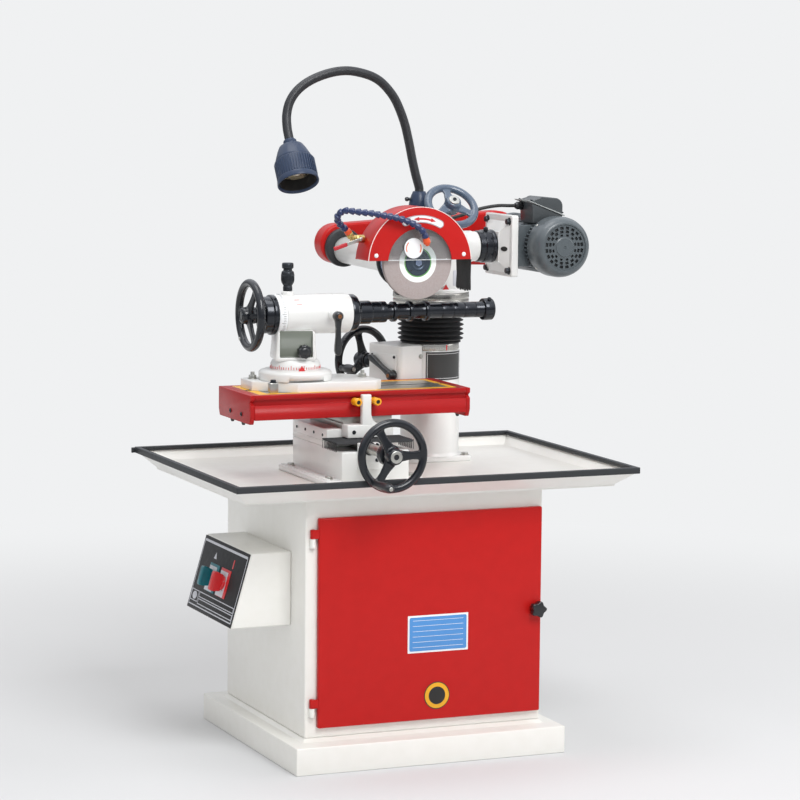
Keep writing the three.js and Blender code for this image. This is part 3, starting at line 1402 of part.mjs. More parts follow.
// Wheel guard: a half drum with a cut-away front, its clear window behind, and the rubber flap
function halfDrum(radius, y0, y1) {
  const rise = Math.asin(guardFloorRise / radius);
  return panel(arc(spindleX, spindleHeight, radius, rise, Math.PI - rise, fineSegments / 2), y0, y1);
}
const guardWallInside = guardRadius - guardSheet;
add('wheel_guard', cut(
  halfDrum(guardRadius, guardFront, guardBack),
  panel(circleOutline(spindleX, spindleHeight, guardWallInside), guardFront + guardSheet,
    guardBack - guardSheet),
  rod(guardWindowRadius, 2 * overrun, 'y', spindleX, guardFront - overrun, spindleHeight, fineSegments),
  rod(spindleNoseRadius + holeMargin, 4 * overrun, 'y', spindleX, guardBack - 2 * overrun, spindleHeight),
), redPaint, head);
const windowFront = guardFront + guardSheet + gap;
add('guard_window', halfDrum(guardWallInside - 2 * guardSheet, windowFront, windowFront + windowThickness),
  clearPlastic, head);
function flapOutline() {
  const top = guardFloor - gap;
  const outline = [[guardFront, top], [guardFront, top - flapDrop]];
  const pitch = (guardBack - guardFront) / flapTeeth;
  for (let i = 1; i <= flapTeeth; i += 1) {
    const dip = i % 2 === 1 ? flapToothDepth : 0;
    outline.push([guardFront + pitch * i, top - flapDrop - dip]);
  }
  outline.push([guardBack, top]);
  return outline;
}
const flapX = spindleX + guardRadius - flapThickness;
add('splash_flap', profileAlongX(flapOutline(), flapX, flapX + flapThickness), blackRubber, head);

// Belt cover, belt and motor bracket
const coverOuter = beltOutline(spindleX, spindleHeight, beltCoverLeftRadius, motorX, motorHeight,
  beltCoverRightRadius);
const coverInner = beltOutline(spindleX, spindleHeight, beltCoverLeftRadius - beltCoverSheet, motorX,
  motorHeight,
  beltCoverRightRadius - beltCoverSheet);
const beltCoverBack = beltCoverFront + beltCoverDepth;
const innerFront = beltCoverFront + beltCoverSheet;
add('belt_cover', cut(
  panel(coverOuter, beltCoverFront, beltCoverBack),
  panel(coverInner, innerFront, beltCoverBack - beltCoverSheet),
  rod(spindleNoseRadius + holeMargin, 4 * overrun, 'y', spindleX, beltCoverFront - overrun, spindleHeight),
  rod(motorShaftRadius + holeMargin, 4 * overrun, 'y', motorX, beltCoverFront - overrun, motorHeight),
), redPaint, head);
const beltFront = pulleyFront + (pulleyLength - beltWidth) / 2;
add('drive_belt', cut(
  panel(beltOutline(spindleX, spindleHeight, spindlePulleyRadius + gap + beltThickness, motorX, motorHeight,
    motorPulleyRadius + gap + beltThickness), beltFront, beltFront + beltWidth),
  panel(beltOutline(spindleX, spindleHeight, spindlePulleyRadius + gap, motorX, motorHeight,
    motorPulleyRadius + gap), beltFront - overrun, beltFront + beltWidth + overrun),
), blackRubber, head);
const bracketStart = collarStart + trunnionCollarLength;
const bracketFaceX = bracketPlateX + bracketPlateThickness;
function bracketNeck() {
  const start = taper(2 * bracketNeckRadius, 2 * bracketNeckRadius, 0, bracketPlateHeight * 0.8,
    bracketPlateDepth * 0.8,
    bracketPlateX - bracketStart + weld);
  return start.rotateY(Math.PI / 2).translate(bracketStart, columnY, trunnionHeight);
}
add('motor_bracket', cut(
  join(
    bracketNeck(),
    box(bracketPlateX, bracketFaceX, columnY - bracketPlateDepth / 2, columnY + bracketPlateDepth / 2,
      motorHeight - bracketPlateHeight / 2, motorHeight + bracketPlateHeight / 2),
  ),
  bore(trunnionRadius, trunnionEnd + 2 * gap - bracketStart + overrun, 'x', bracketStart - overrun,
    columnY, trunnionHeight),
), whitePaint, head);

// Motor: finned body on its side feet, rotor with the pulley, slotted fan cover and terminal box
function finnedOutline() {
  const points = [];
  for (let i = 0; i < motorFins; i += 1) {
    for (const [share, radius] of [[0, motorRadius], [motorFinShare, motorRadius],
      [motorFinShare, motorRadius - motorFinDepth], [1, motorRadius - motorFinDepth]]) {
      const angle = (2 * Math.PI * (i + share)) / motorFins;
      points.push([motorX + radius * Math.cos(angle), motorHeight + radius * Math.sin(angle)]);
    }
  }
  return points;
}
const shieldLength = motorLength / 14;
const shieldRadius = motorRadius + shieldRise;
const fanInside = fanCoverRadius - fanCoverSheet;
add('motor_body', cut(
  join(
    panel(finnedOutline(), motorFront + shieldLength / 2, motorBack - shieldLength / 2),
    rod(shieldRadius, shieldLength, 'y', motorX, motorBack - shieldLength, motorHeight, fineSegments),
    rod(fanInside - gap, shieldLength, 'y', motorX, motorFront, motorHeight, fineSegments),
    rod(motorNoseRadius, beltCoverFront - gap - motorBack + weld, 'y', motorX, motorBack - weld,
      motorHeight, fineSegments),
    box(bracketFaceX, motorX - motorRadius / 2, columnY - motorFootDepth / 2, columnY + motorFootDepth / 2,
      motorHeight - motorFootHeight / 2, motorHeight + motorFootHeight / 2),
  ),
  bore(motorShaftRadius, beltCoverFront - motorFront + 2 * overrun, 'y', motorX, motorFront - overrun,
    motorHeight),
), greyPaint, head);
function rotorProfile() {
  const back = pulleyFront + pulleyLength;
  return [
    [0, motorFront - shieldLength], [motorShaftRadius, motorFront - shieldLength], [motorShaftRadius,
      pulleyFront],
    [motorPulleyRadius + pulleyFlange, pulleyFront], [motorPulleyRadius, pulleyFront + pulleyFlange],
    [motorPulleyRadius, back - pulleyFlange], [motorPulleyRadius + pulleyFlange, back], [0, back],
  ];
}
add('motor_rotor', place(turned(rotorProfile(), coarseSegments), 'y', motorX, 0, motorHeight), brightSteel,
  head);
const fanFront = motorFront - fanCoverLength + shieldLength;
const fanShoulder = fanCoverRadius - fanCoverBevel;
const fanShell = turned([
  [0, 0], [fanShoulder, 0], [fanCoverRadius, fanCoverBevel], [fanCoverRadius, fanCoverLength],
  [fanInside, fanCoverLength], [fanInside, fanCoverBevel], [fanShoulder, fanCoverSheet], [0, fanCoverSheet],
]);
const fanTools = [];
for (let i = 0; i < fanSlots; i += 1) {
  const slot = box(fanSlotInner, fanSlotOuter, fanFront - overrun, fanFront + overrun, -fanSlotWidth / 2,
    fanSlotWidth / 2);
  fanTools.push(slot.rotateY((2 * Math.PI * i) / fanSlots).translate(motorX, 0, motorHeight));
}
add('fan_cover', cut(place(fanShell, 'y', motorX, fanFront, motorHeight), ...fanTools), greyPaint, head);
const terminalBack = terminalFront + terminalDepth;
const terminalRight = terminalLeft + terminalWidth;
const terminalTop = terminalBottom + terminalHeight;
add('terminal_box', cut(
  join(
    panel([[terminalLeft, terminalBottom - terminalLidDrop], [terminalRight,
      terminalBottom - terminalLidDrop],
      [terminalRight, terminalTop - terminalLidDrop], [terminalRight - terminalLidDrop, terminalTop],
      [terminalLeft + terminalLidDrop, terminalTop], [terminalLeft, terminalTop - terminalLidDrop]],
    terminalFront, terminalBack),
    rod(glandRadius, glandLength, '-x', terminalLeft + weld, glandY, glandZ, coarseSegments / 2),
  ),
  rod(shieldRadius + gap, terminalDepth + 2 * overrun, 'y', motorX, terminalFront - overrun, motorHeight,
    fineSegments),
), blackPlastic, head);
add('motor_cable', plainTube(cableLine, cableRadius, cableSides, cableSteps), blackRubber, head);

// Lamp: post and socket on the yoke, ribbed gooseneck, and the hollow head
const socketBottom = yokeTop + lampPostHeight;
add('lamp_socket', join(
  rod(lampPostRadius, lampPostHeight + lampPostRadius - gap, 'z', lampX, lampY,
    yokeTop - lampPostRadius + 2 * gap),
  rod(lampSocketRadius, lampSocketHeight, 'z', lampX, lampY, socketBottom),
  rod(lampLeverRadius, lampLeverLength + lampSocketRadius / 2, '-x', lampX - lampSocketRadius / 2, lampY,
    socketBottom + lampSocketHeight / 2, coarseSegments / 2),
), blackPlastic, head);
add('gooseneck', ribbedTube(gooseneckLine, gooseneckRadius, gooseneckBore, gooseneckRibs,
  gooseneckRibDepth),
  blackRubber, head);
const lampMount = gooseneckLine[gooseneckLine.length - 1];
const lampDirection = new THREE.Vector3(...lampAxis).normalize();
const lampLength = lampNeckLength + lampBodyLength;
const lampShoulder = lampNeckLength + lampNeckRadius;
add('lamp_head', place(turned([
  [0, gap], [lampNeckRadius, gap], [lampNeckRadius, lampNeckLength], [lampShoulderRadius, lampShoulder],
  [lampMouthRadius, lampLength], [lampMouthRadius - lampWall, lampLength],
  [lampShoulderRadius - lampWall, lampLength - lampPocketDepth], [0, lampLength - lampPocketDepth],
]), lampDirection.toArray(), ...lampMount), blackPlastic, head);

// Coolant valve on the guard's left wall, its lever, and the segmented hose to the nozzle
const wallAtValve = spindleX - Math.sqrt(guardRadius ** 2 - (valveZ - spindleHeight) ** 2);
const valveStart = wallAtValve - gap;
const hoseStart = hoseLine[0];
const portDirection = new THREE.Vector3().fromArray(hoseLine[1])
  .sub(new THREE.Vector3(...hoseStart)).normalize();
const portStart = new THREE.Vector3(...hoseStart).addScaledVector(portDirection, -valvePortLength - gap);
add('coolant_valve', join(
  cut(
    rod(valveRadius, valveLength + 4 * overrun, '-x', wallAtValve + 4 * overrun, valveY, valveZ, 6),
    halfDrum(guardRadius + 2 * gap, guardFront, guardBack),
  ),
  rod(valvePortRadius, valvePortLength, portDirection.toArray(), ...portStart.toArray(),
    coarseSegments / 2),
  rod(valveStemRadius, valveRadius + valveStemLength, '-y', valveStart - valveLength / 2, valveY, valveZ,
    coarseSegments / 2),
), brass, head);
const leverBack = valveY - valveRadius - valveStemLength - gap;
const leverTurn = THREE.MathUtils.degToRad(28);
add('valve_lever', box(-valveLeverLength, valveLeverWidth / 2, -valveLeverThickness, 0,
  -valveLeverWidth / 2,
  valveLeverWidth / 2).rotateY(-leverTurn).translate(valveStart - valveLength / 2, leverBack, valveZ),
    redPlastic, head);
add('coolant_hose', ribbedTube(hoseLine, hoseRadius, hoseBore, hoseRibs, hoseRibDepth), blueHose, head);

export default grinder;
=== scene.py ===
# Universal tool grinder: its finished surfaces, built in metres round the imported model.
# +X runs along the table to the right, -Y is the front, +Z is up, and the plinth stands on z = 0.
import math

import bmesh
import bpy
from mathutils import Matrix, Quaternion, Vector


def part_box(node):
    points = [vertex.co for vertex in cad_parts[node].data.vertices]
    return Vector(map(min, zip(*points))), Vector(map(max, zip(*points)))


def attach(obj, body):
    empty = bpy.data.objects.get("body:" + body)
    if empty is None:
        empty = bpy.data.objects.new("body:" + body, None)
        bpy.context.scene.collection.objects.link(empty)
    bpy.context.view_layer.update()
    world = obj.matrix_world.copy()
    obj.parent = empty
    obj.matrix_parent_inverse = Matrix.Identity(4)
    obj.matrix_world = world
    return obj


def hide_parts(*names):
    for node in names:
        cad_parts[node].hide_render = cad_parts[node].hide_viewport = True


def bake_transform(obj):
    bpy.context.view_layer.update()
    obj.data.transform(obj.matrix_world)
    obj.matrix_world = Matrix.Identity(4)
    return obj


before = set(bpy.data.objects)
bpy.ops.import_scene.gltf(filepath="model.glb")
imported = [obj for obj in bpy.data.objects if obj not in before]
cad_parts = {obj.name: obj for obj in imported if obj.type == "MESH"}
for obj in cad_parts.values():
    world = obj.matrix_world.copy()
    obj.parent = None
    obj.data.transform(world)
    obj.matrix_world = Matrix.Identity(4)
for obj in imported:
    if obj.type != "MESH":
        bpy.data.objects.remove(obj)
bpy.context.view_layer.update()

# Camera: it stands left of the front and a little above the table, far off with a long lens,
# as the photograph was taken.
camera_azimuth = math.radians(-22.96)
camera_elevation = math.radians(6.64)
camera_roll = math.radians(0.55)
camera_distance = 6.821
camera_aim = Vector((0.0422, 0, 0.7775))
camera_back = Vector((
    math.sin(camera_azimuth) * math.cos(camera_elevation),
    -math.cos(camera_azimuth) * math.cos(camera_elevation),
    math.sin(camera_elevation),
))
bpy.ops.object.select_all(action="DESELECT")
bpy.ops.object.camera_add(location=camera_aim + camera_back * camera_distance)
camera = bpy.context.object
camera.rotation_mode = "QUATERNION"
camera.rotation_quaternion = camera_back.to_track_quat("Z", "Y") @ Quaternion((0, 0, 1), camera_roll)
camera.data.sensor_width = 36
camera.data.lens = 134.28
camera.data.clip_end = 100
bpy.context.scene.camera = camera
bpy.context.scene.view_settings.view_transform = "Standard"


# Floor and daylight: a pale studio floor that fades into a pale backdrop, with large soft lamps in front, at
# the right and above. Metal and glossy paint mirror an open sky, and glass shows the backdrop as it is seen.
def linear(code, alpha=1):
    """Turns a hex colour as it is seen into the linear numbers that a shader takes."""
    parts = [int(code[i:i + 2], 16) / 255 for i in (1, 3, 5)]
    return (*[c / 12.92 if c <= 0.04045 else ((c + 0.055) / 1.055) ** 2.4 for c in parts], alpha)


def add(tree, kind, inputs=None, **settings):
    """Adds one node, makes its settings, and sets each input to a value or links it to an output."""
    node = tree.nodes.new(kind)
    for name, value in settings.items():
        setattr(node, name, value)
    for name, value in (inputs or {}).items():
        if isinstance(value, bpy.types.NodeSocket):
            tree.links.new(value, node.inputs[name])
        else:
            node.inputs[name].default_value = value
    return node


backdrop_colour = linear("#f0f1f2")
light_colour = linear("#fdfcfb")
surround_strength = 0.7
world = bpy.data.worlds.new("studio")
bpy.context.scene.world = world
world.use_nodes = True
tree = world.node_tree
tree.nodes.clear()
path = add(tree, "ShaderNodeLightPath")
seen = add(tree, "ShaderNodeMath", {0: path.outputs["Is Camera Ray"], 1: path.outputs["Is Transmission Ray"]},
           operation="MAXIMUM")
lit = add(tree, "ShaderNodeBackground", {"Color": light_colour, "Strength": surround_strength})
shown = add(tree, "ShaderNodeBackground", {"Color": backdrop_colour, "Strength": 1})
mixed = add(tree, "ShaderNodeMixShader", {0: seen.outputs[0], 1: lit.outputs[0], 2: shown.outputs[0]})
# The sky is dim at the horizon and bright overhead, so that round shiny parts show a clear band.
heading = add(tree, "ShaderNodeSeparateXYZ", {0: add(tree, "ShaderNodeTexCoord").outputs["Generated"]})
sky = add(tree, "ShaderNodeMapRange", {"Value": heading.outputs["Z"], "From Min": 0.0, "From Max": 0.8,
                                       "To Min": 0.35, "To Max": 1.6}, interpolation_type="SMOOTHSTEP")
mirrored = add(tree, "ShaderNodeBackground", {"Color": linear("#f5f8ff"), "Strength": sky.outputs[0]})
mixed = add(tree, "ShaderNodeMixShader", {0: path.outputs["Is Glossy Ray"], 1: mixed.outputs[0],
                                          2: mirrored.outputs[0]})
add(tree, "ShaderNodeOutputWorld", {"Surface": mixed.outputs[0]})

floor_radius = 14
fade_start = 0.9
fade_end = 3.2
bpy.ops.mesh.primitive_circle_add(vertices=64, radius=floor_radius, fill_type="NGON")
studio_floor = bpy.context.object
studio_floor.name = "studio_floor"
floor_material = bpy.data.materials.new("pale studio floor")
floor_material.use_nodes = True
tree = floor_material.node_tree
tree.nodes.clear()
place = add(tree, "ShaderNodeTexCoord")
reach = add(tree, "ShaderNodeVectorMath", {0: place.outputs["Object"]}, operation="LENGTH")
fade = add(tree, "ShaderNodeMapRange", {"Value": reach.outputs["Value"], "From Min": fade_start,
                                        "From Max": fade_end}, interpolation_type="SMOOTHSTEP")
near = add(tree, "ShaderNodeBsdfDiffuse", {"Color": linear("#d6d7d9")})
far = add(tree, "ShaderNodeEmission", {"Color": backdrop_colour, "Strength": 1})
mixed = add(tree, "ShaderNodeMixShader", {0: fade.outputs[0], 1: near.outputs[0], 2: far.outputs[0]})
add(tree, "ShaderNodeOutputMaterial", {"Surface": mixed.outputs[0]})
studio_floor.data.materials.append(floor_material)


def soft_lamp(name, place, size, power):
    """A square area lamp that looks at the middle of the machine."""
    bpy.ops.object.light_add(type="AREA", location=place)
    lamp = bpy.context.object
    lamp.name = name
    lamp.data.size = size
    lamp.data.energy = power
    lamp.rotation_mode = "QUATERNION"
    lamp.rotation_quaternion = (Vector(place) - camera_aim).to_track_quat("Z", "Y")


soft_lamp("front_lamp", (0.1, -3.9, 4.2), 2.2, 156)
soft_lamp("right_lamp", (4.2, -1.6, 2.2), 2.0, 30)
soft_lamp("top_lamp", (-0.6, 0.2, 4.6), 2.2, 46)


# Plinth: a welded steel frame with a sloped shoulder that carries the cabinet. It is spray painted, which
# leaves a glossy coat with a faint orange peel.
mm = 0.001


def make_active(piece):
    """Leaves one piece alone selected and active."""
    bpy.ops.object.select_all(action="DESELECT")
    piece.select_set(True)
    bpy.context.view_layer.objects.active = piece
    return piece


def block(low, high):
    """A cube primitive brought to its two corners."""
    low, high = Vector(low), Vector(high)
    bpy.ops.object.select_all(action="DESELECT")
    bpy.ops.mesh.primitive_cube_add(size=1, location=(low + high) / 2)
    piece = bpy.context.object
    piece.scale = high - low
    bpy.ops.object.transform_apply(location=True, rotation=True, scale=True)
    return piece


def pick(test, kind="FACE"):
    """In edit mode, selects the faces or edges that a test of their middle and direction takes."""
    bpy.ops.mesh.select_mode(type=kind)
    bpy.ops.mesh.select_all(action="DESELECT")
    mesh = bmesh.from_edit_mesh(bpy.context.object.data)
    if kind == "FACE":
        for face in mesh.faces:
            face.select_set(test(face.calc_center_median(), face.normal))
    else:
        for edge in mesh.edges:
            start, end = (corner.co for corner in edge.verts)
            edge.select_set(test((start + end) / 2, (end - start).normalized()))
    bmesh.update_edit_mesh(bpy.context.object.data)


def draw_out(move, scale=(1, 1, 1), centre=(0, 0, 0)):
    """Extrudes the selected faces, moves them and scales them about a point."""
    bpy.ops.mesh.extrude_region_move(TRANSFORM_OT_translate={"value": move})
    bpy.ops.transform.resize(value=scale, center_override=centre)


def soften(piece, width, segments=2, smooth=40):
    """Rounds every sharp edge of a piece, by a width in millimetres, and shades it smooth between them."""
    make_active(piece)
    rounding = piece.modifiers.new("rounding", "BEVEL")
    rounding.width = width * mm
    rounding.segments = segments
    rounding.limit_method = "ANGLE"
    rounding.angle_limit = math.radians(32)
    bpy.ops.object.modifier_apply(modifier=rounding.name)
    bpy.ops.object.shade_smooth_by_angle(angle=math.radians(smooth))
    return piece


def coat(piece, material):
    """Gives a whole piece one finish."""
    piece.data.materials.clear()
    piece.data.materials.append(material)
    return piece


def settle(piece, name, body, slot, *nodes):
    """Names a finished piece, lets it ride on its body and stand for its solids."""
    piece.name = name
    piece.data.name = name
    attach(piece, body)
    if nodes:
        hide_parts(*nodes)
    return piece


def bring(piece, matrix):
    """Moves or turns a piece by a matrix inside its own mesh."""
    piece.matrix_world = matrix
    make_active(piece)
    bpy.ops.object.transform_apply(location=True, rotation=True, scale=True)
    return piece


def new_material(name, base, roughness, **shader):
    """A material with only its Principled shader, whose even values are set on the shader itself."""
    material = bpy.data.materials.new(name)
    material.use_nodes = True
    tree = material.node_tree
    tree.nodes.clear()
    surface = add(tree, "ShaderNodeBsdfPrincipled", {"Base Color": linear(base), "Roughness": roughness})
    for socket, value in shader.items():
        surface.inputs[socket.replace("_", " ")].default_value = value
    add(tree, "ShaderNodeOutputMaterial", {"Surface": surface.outputs[0]})
    return material, tree, surface


def vary(tree, surface, factor, tones=(), gloss=(), depth=0, strength=1):
    """Lets one pattern drive a finish: between two colours or roughnesses, and as relief in millimetres."""
    if tones:
        tone = add(tree, "ShaderNodeMix", {"Factor": factor, "A": tones[0], "B": tones[1]}, data_type="RGBA")
        tree.links.new(tone.outputs["Result"], surface.inputs["Base Color"])
    if gloss:
        sheen = add(tree, "ShaderNodeMapRange", {"Value": factor, "To Min": gloss[0], "To Max": gloss[1]})
        tree.links.new(sheen.outputs[0], surface.inputs["Roughness"])
    if depth:
        relief = add(tree, "ShaderNodeBump", {"Height": factor, "Distance": depth * mm, "Strength": strength})
        tree.links.new(relief.outputs[0], surface.inputs["Normal"])


def enamel(name, base, shade, roughness, peel_size, peel_depth, unevenness=30, gloss=0.25, mirror=0.5):
    """Sprayed gloss enamel: slightly cloudy colour, patchy gloss and an orange peel, in millimetres."""
    material, tree, surface = new_material(name, base, roughness, Coat_Weight=gloss, Coat_Roughness=0.12,
                                           Specular_IOR_Level=mirror)
    place = add(tree, "ShaderNodeTexCoord").outputs["Object"]
    cloud = add(tree, "ShaderNodeTexNoise", {"Vector": place, "Scale": 1 / (unevenness * mm), "Detail": 3})
    vary(tree, surface, cloud.outputs[0], (linear(base), linear(shade)), (roughness - 0.06, roughness + 0.08))
    peel = add(tree, "ShaderNodeTexNoise", {"Vector": place, "Scale": 1 / (peel_size * mm), "Detail": 2})
    vary(tree, surface, peel.outputs[0], depth=peel_depth, strength=0.5)
    return material


# Real orange peel is 1 to 2 mm across; it is drawn 3 mm wide so that it shows.
white_enamel = enamel("sprayed white enamel", "#efeeea", "#e8e7e1", 0.34, 3, 0.12)
plinth_low, plinth_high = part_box("plinth")
cabinet_low, cabinet_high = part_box("cabinet_shell")
shoulder_rise = 8 * mm
plinth_edge = 2.5
plinth = block(plinth_low, (plinth_high.x, plinth_high.y, plinth_high.z - shoulder_rise))
bpy.ops.object.mode_set(mode="EDIT")
pick(lambda middle, normal: normal.z > 0.9)
wide = (cabinet_high.x + shoulder_rise) / plinth_high.x
deep = (cabinet_high.y + shoulder_rise) / plinth_high.y
draw_out((0, 0, 0), (wide, deep, 1))
draw_out((0, 0, shoulder_rise), (cabinet_high.x / (cabinet_high.x + shoulder_rise),
                                 cabinet_high.y / (cabinet_high.y + shoulder_rise), 1))
bpy.ops.object.mode_set(mode="OBJECT")
soften(plinth, plinth_edge, 3)
settle(coat(plinth, white_enamel), "plinth_frame", "stand", "white_paint", "plinth")


# Cabinet: a folded sheet-steel box, open in front behind the door, with two welded hinge halves that carry
# the door. It has the plinth's enamel, and its folds are rounded as a press brake leaves them.
def remove(piece, *tools):
    """Cuts the tools out of a piece and deletes them."""
    for tool in tools:
        make_active(piece)
        cutting = piece.modifiers.new("cutting", "BOOLEAN")
        cutting.operation = "DIFFERENCE"
        cutting.solver = "EXACT"
        cutting.object = tool
        bpy.ops.object.modifier_apply(modifier=cutting.name)
        bpy.data.objects.remove(tool)
    return piece


def fuse(*pieces):
    """Makes one object of several pieces, which keep their own finishes."""
    make_active(pieces[0])
    for piece in pieces:
        piece.select_set(True)
    bpy.ops.object.join()
    return bpy.context.object


def lay(piece, direction, place):
    """Turns a piece that was made round +Z to its direction and moves it to its place."""
    turn = Vector((0, 0, 1)).rotation_difference(Vector(direction))
    return bring(piece, Matrix.Translation(place) @ turn.to_matrix().to_4x4())


def rod(radius, length, direction, place, edge=0.8, sides=48):
    """A cylinder primitive from its place along a direction; both rims are rounded, by millimetres."""
    bpy.ops.object.select_all(action="DESELECT")
    bpy.ops.mesh.primitive_cylinder_add(vertices=sides, radius=radius, depth=length,
                                        location=(0, 0, length / 2))
    piece = bpy.context.object
    bpy.ops.object.transform_apply(location=True, rotation=True, scale=True)
    lay(piece, direction, place)
    return soften(piece, edge) if edge else piece


door_low, door_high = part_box("cabinet_door")
door_width = 537 * mm
door_left = door_high.x - door_width
sheet = 3 * mm
door_lap = 5 * mm
hinge_x = -270 * mm
hinge_radius = 6 * mm
hinge_height = 20 * mm
hinge_y = door_high.y - hinge_radius
hinge_inset = 45 * mm
hinge_heights = (door_low.z + hinge_inset, door_high.z - hinge_inset)
cabinet = block((cabinet_low.x, -cabinet_high.y, cabinet_low.z), cabinet_high)
soften(cabinet, 4, 3)
wall_front = -cabinet_high.y
remove(
    cabinet,
    block((cabinet_low.x + sheet, wall_front + sheet, cabinet_low.z + sheet),
          (cabinet_high.x - sheet, cabinet_high.y - sheet, cabinet_high.z - sheet)),
    block((door_left + door_lap, wall_front - sheet, door_low.z + door_lap),
          (door_high.x - door_lap, wall_front + 2 * sheet, door_high.z - door_lap)),
)
halves = [coat(cabinet, white_enamel)]
for height in hinge_heights:
    place = (hinge_x, hinge_y, height - hinge_height)
    knuckle = rod(hinge_radius, hinge_height, (0, 0, 1), place, 1, 32)
    leaf = block((hinge_x - hinge_radius, hinge_y, height - hinge_height),
                 (hinge_x + hinge_radius, wall_front + sheet / 2, height))
    halves += [coat(knuckle, white_enamel), coat(soften(leaf, 0.8), white_enamel)]
settle(fuse(*halves), "cabinet_walls", "stand", "white_paint", "cabinet_shell")


# Door: one dished steel sheet in glossy red enamel, hung on the two hinges. A blue plate with plain white
# rules is fixed to it above a round blank plate with a yellow border.
red_enamel = enamel("sprayed red enamel", "#be1c1a", "#b21816", 0.32, 3, 0.12, gloss=0.04, mirror=0.2)


def plain(name, base, roughness, relief_size=1.2, relief_depth=0.04, **shader):
    """Moulded or printed plastic, rubber and small painted parts: one colour with a slightly uneven gloss."""
    material, tree, surface = new_material(name, base, roughness, **shader)
    place = add(tree, "ShaderNodeTexCoord").outputs["Object"]
    cloud = add(tree, "ShaderNodeTexNoise", {"Vector": place, "Scale": 1 / (12 * mm), "Detail": 4})
    vary(tree, surface, cloud.outputs[0], gloss=(max(roughness - 0.08, 0.03), roughness + 0.1))
    grain = add(tree, "ShaderNodeTexNoise", {"Vector": place, "Scale": 1 / (relief_size * mm), "Detail": 2})
    vary(tree, surface, grain.outputs[0], depth=relief_depth)
    return material


blue_print = plain("printed blue plate", "#4f8fd0", 0.35)
white_print = plain("printed white ink", "#eceef0", 0.4)
yellow_print = plain("printed yellow ink", "#e6a81c", 0.4)
black_print = plain("printed black ink", "#1f1e1d", 0.4)


def round_edges(piece, radius, segments, test):
    """Rounds the edges of a piece that a test of their middle and direction takes."""
    make_active(piece)
    bpy.ops.object.mode_set(mode="EDIT")
    pick(test, "EDGE")
    bpy.ops.mesh.bevel(offset=radius * mm, segments=segments, affect="EDGES")
    bpy.ops.object.mode_set(mode="OBJECT")
    return piece


def rounded_plate(low, high, corner, edge, material):
    """A thin plate seen from the front with rounded corners."""
    plate = round_edges(block(low, high), corner, 6, lambda middle, along: abs(along.y) > 0.9)
    return coat(soften(plate, edge), material)


door_front = door_low.y
door_sheet = 2.5 * mm
door_depth = 14 * mm
dish = block((door_left, door_front, door_low.z), door_high)
dish_back = door_front + door_depth
for corner in dish.data.vertices:
    corner.co.y = min(corner.co.y, dish_back)
soften(dish, 3.5, 4)
remove(dish, block((door_left + door_sheet, door_front + door_sheet, door_low.z + door_sheet),
                   (door_high.x - door_sheet, dish_back + door_sheet, door_high.z - door_sheet)))
door_parts = [coat(dish, red_enamel)]
for height in hinge_heights:
    start = height + 0.3 * mm
    knuckle = rod(hinge_radius, hinge_height, (0, 0, 1), (hinge_x, hinge_y, start), 1, 32)
    tab = block((hinge_x, hinge_y - hinge_radius, start),
                (door_left + door_sheet, hinge_y - hinge_radius + door_sheet, start + hinge_height))
    door_parts += [coat(knuckle, red_enamel), coat(soften(tab, 0.6), red_enamel)]
settle(fuse(*door_parts), "door_sheet", "door", "red_paint", "cabinet_door")

plate_left = -47 * mm
plate_right = 99 * mm
plate_bottom = 245 * mm
plate_top = 329 * mm
plate_border = 4 * mm
plate_rise = 0.8 * mm
print_rise = 0.3 * mm
plate_parts = [
    rounded_plate((plate_left, door_front - plate_rise, plate_bottom),
                  (plate_right, door_front, plate_top), 1.5, 0.2, white_print),
    rounded_plate((plate_left + plate_border, door_front - plate_rise - print_rise,
                   plate_bottom + plate_border),
                  (plate_right - plate_border, door_front - plate_rise / 2, plate_top - plate_border),
                  4, 0.1, blue_print)]
rule_count = 6
rule_pitch = (plate_top - plate_bottom - 6 * plate_border) / (rule_count - 1)
for row in range(rule_count):
    height = plate_bottom + 3 * plate_border + rule_pitch * row
    plate_parts.append(rounded_plate(
        (plate_left + 3 * plate_border, door_front - plate_rise - 1.5 * print_rise, height),
        (plate_right - 3 * plate_border, door_front - plate_rise, height + 0.8 * mm),
        0.1, 0.05, white_print))
settle(fuse(*plate_parts), "door_plate", "door", "white_paint")

badge_centre = Vector((25 * mm, door_front, 146 * mm))
badge_radius = 31 * mm
badge_parts = []
for radius, rise, material in ((badge_radius, 0.7 * mm, black_print),
                               (badge_radius - 2 * mm, 0.9 * mm, yellow_print),
                               (badge_radius - 11 * mm, 1.1 * mm, black_print)):
    badge_parts.append(coat(rod(radius, rise, (0, -1, 0), badge_centre, 0.15, 72), material))
settle(fuse(*badge_parts), "door_badge", "door", "yellow_plastic")


# Latch: a five-lobed knob of black moulded phenolic on a stem through the door, with a cam behind the door
# frame. A quarter turn swings the cam clear.
def chain(points):
    """A plane primitive merged to one vertex and drawn out point by point. It stays in edit mode."""
    bpy.ops.object.select_all(action="DESELECT")
    bpy.ops.mesh.primitive_plane_add(size=1)
    bpy.ops.object.mode_set(mode="EDIT")
    bpy.ops.mesh.select_mode(type="VERT")
    bpy.ops.mesh.select_all(action="SELECT")
    bpy.ops.mesh.merge(type="CENTER")
    bpy.ops.transform.translate(value=points[0])
    for start, end in zip(points, points[1:]):
        bpy.ops.mesh.extrude_vertices_move(TRANSFORM_OT_translate={"value": Vector(end) - Vector(start)})
    bpy.ops.mesh.select_all(action="SELECT")


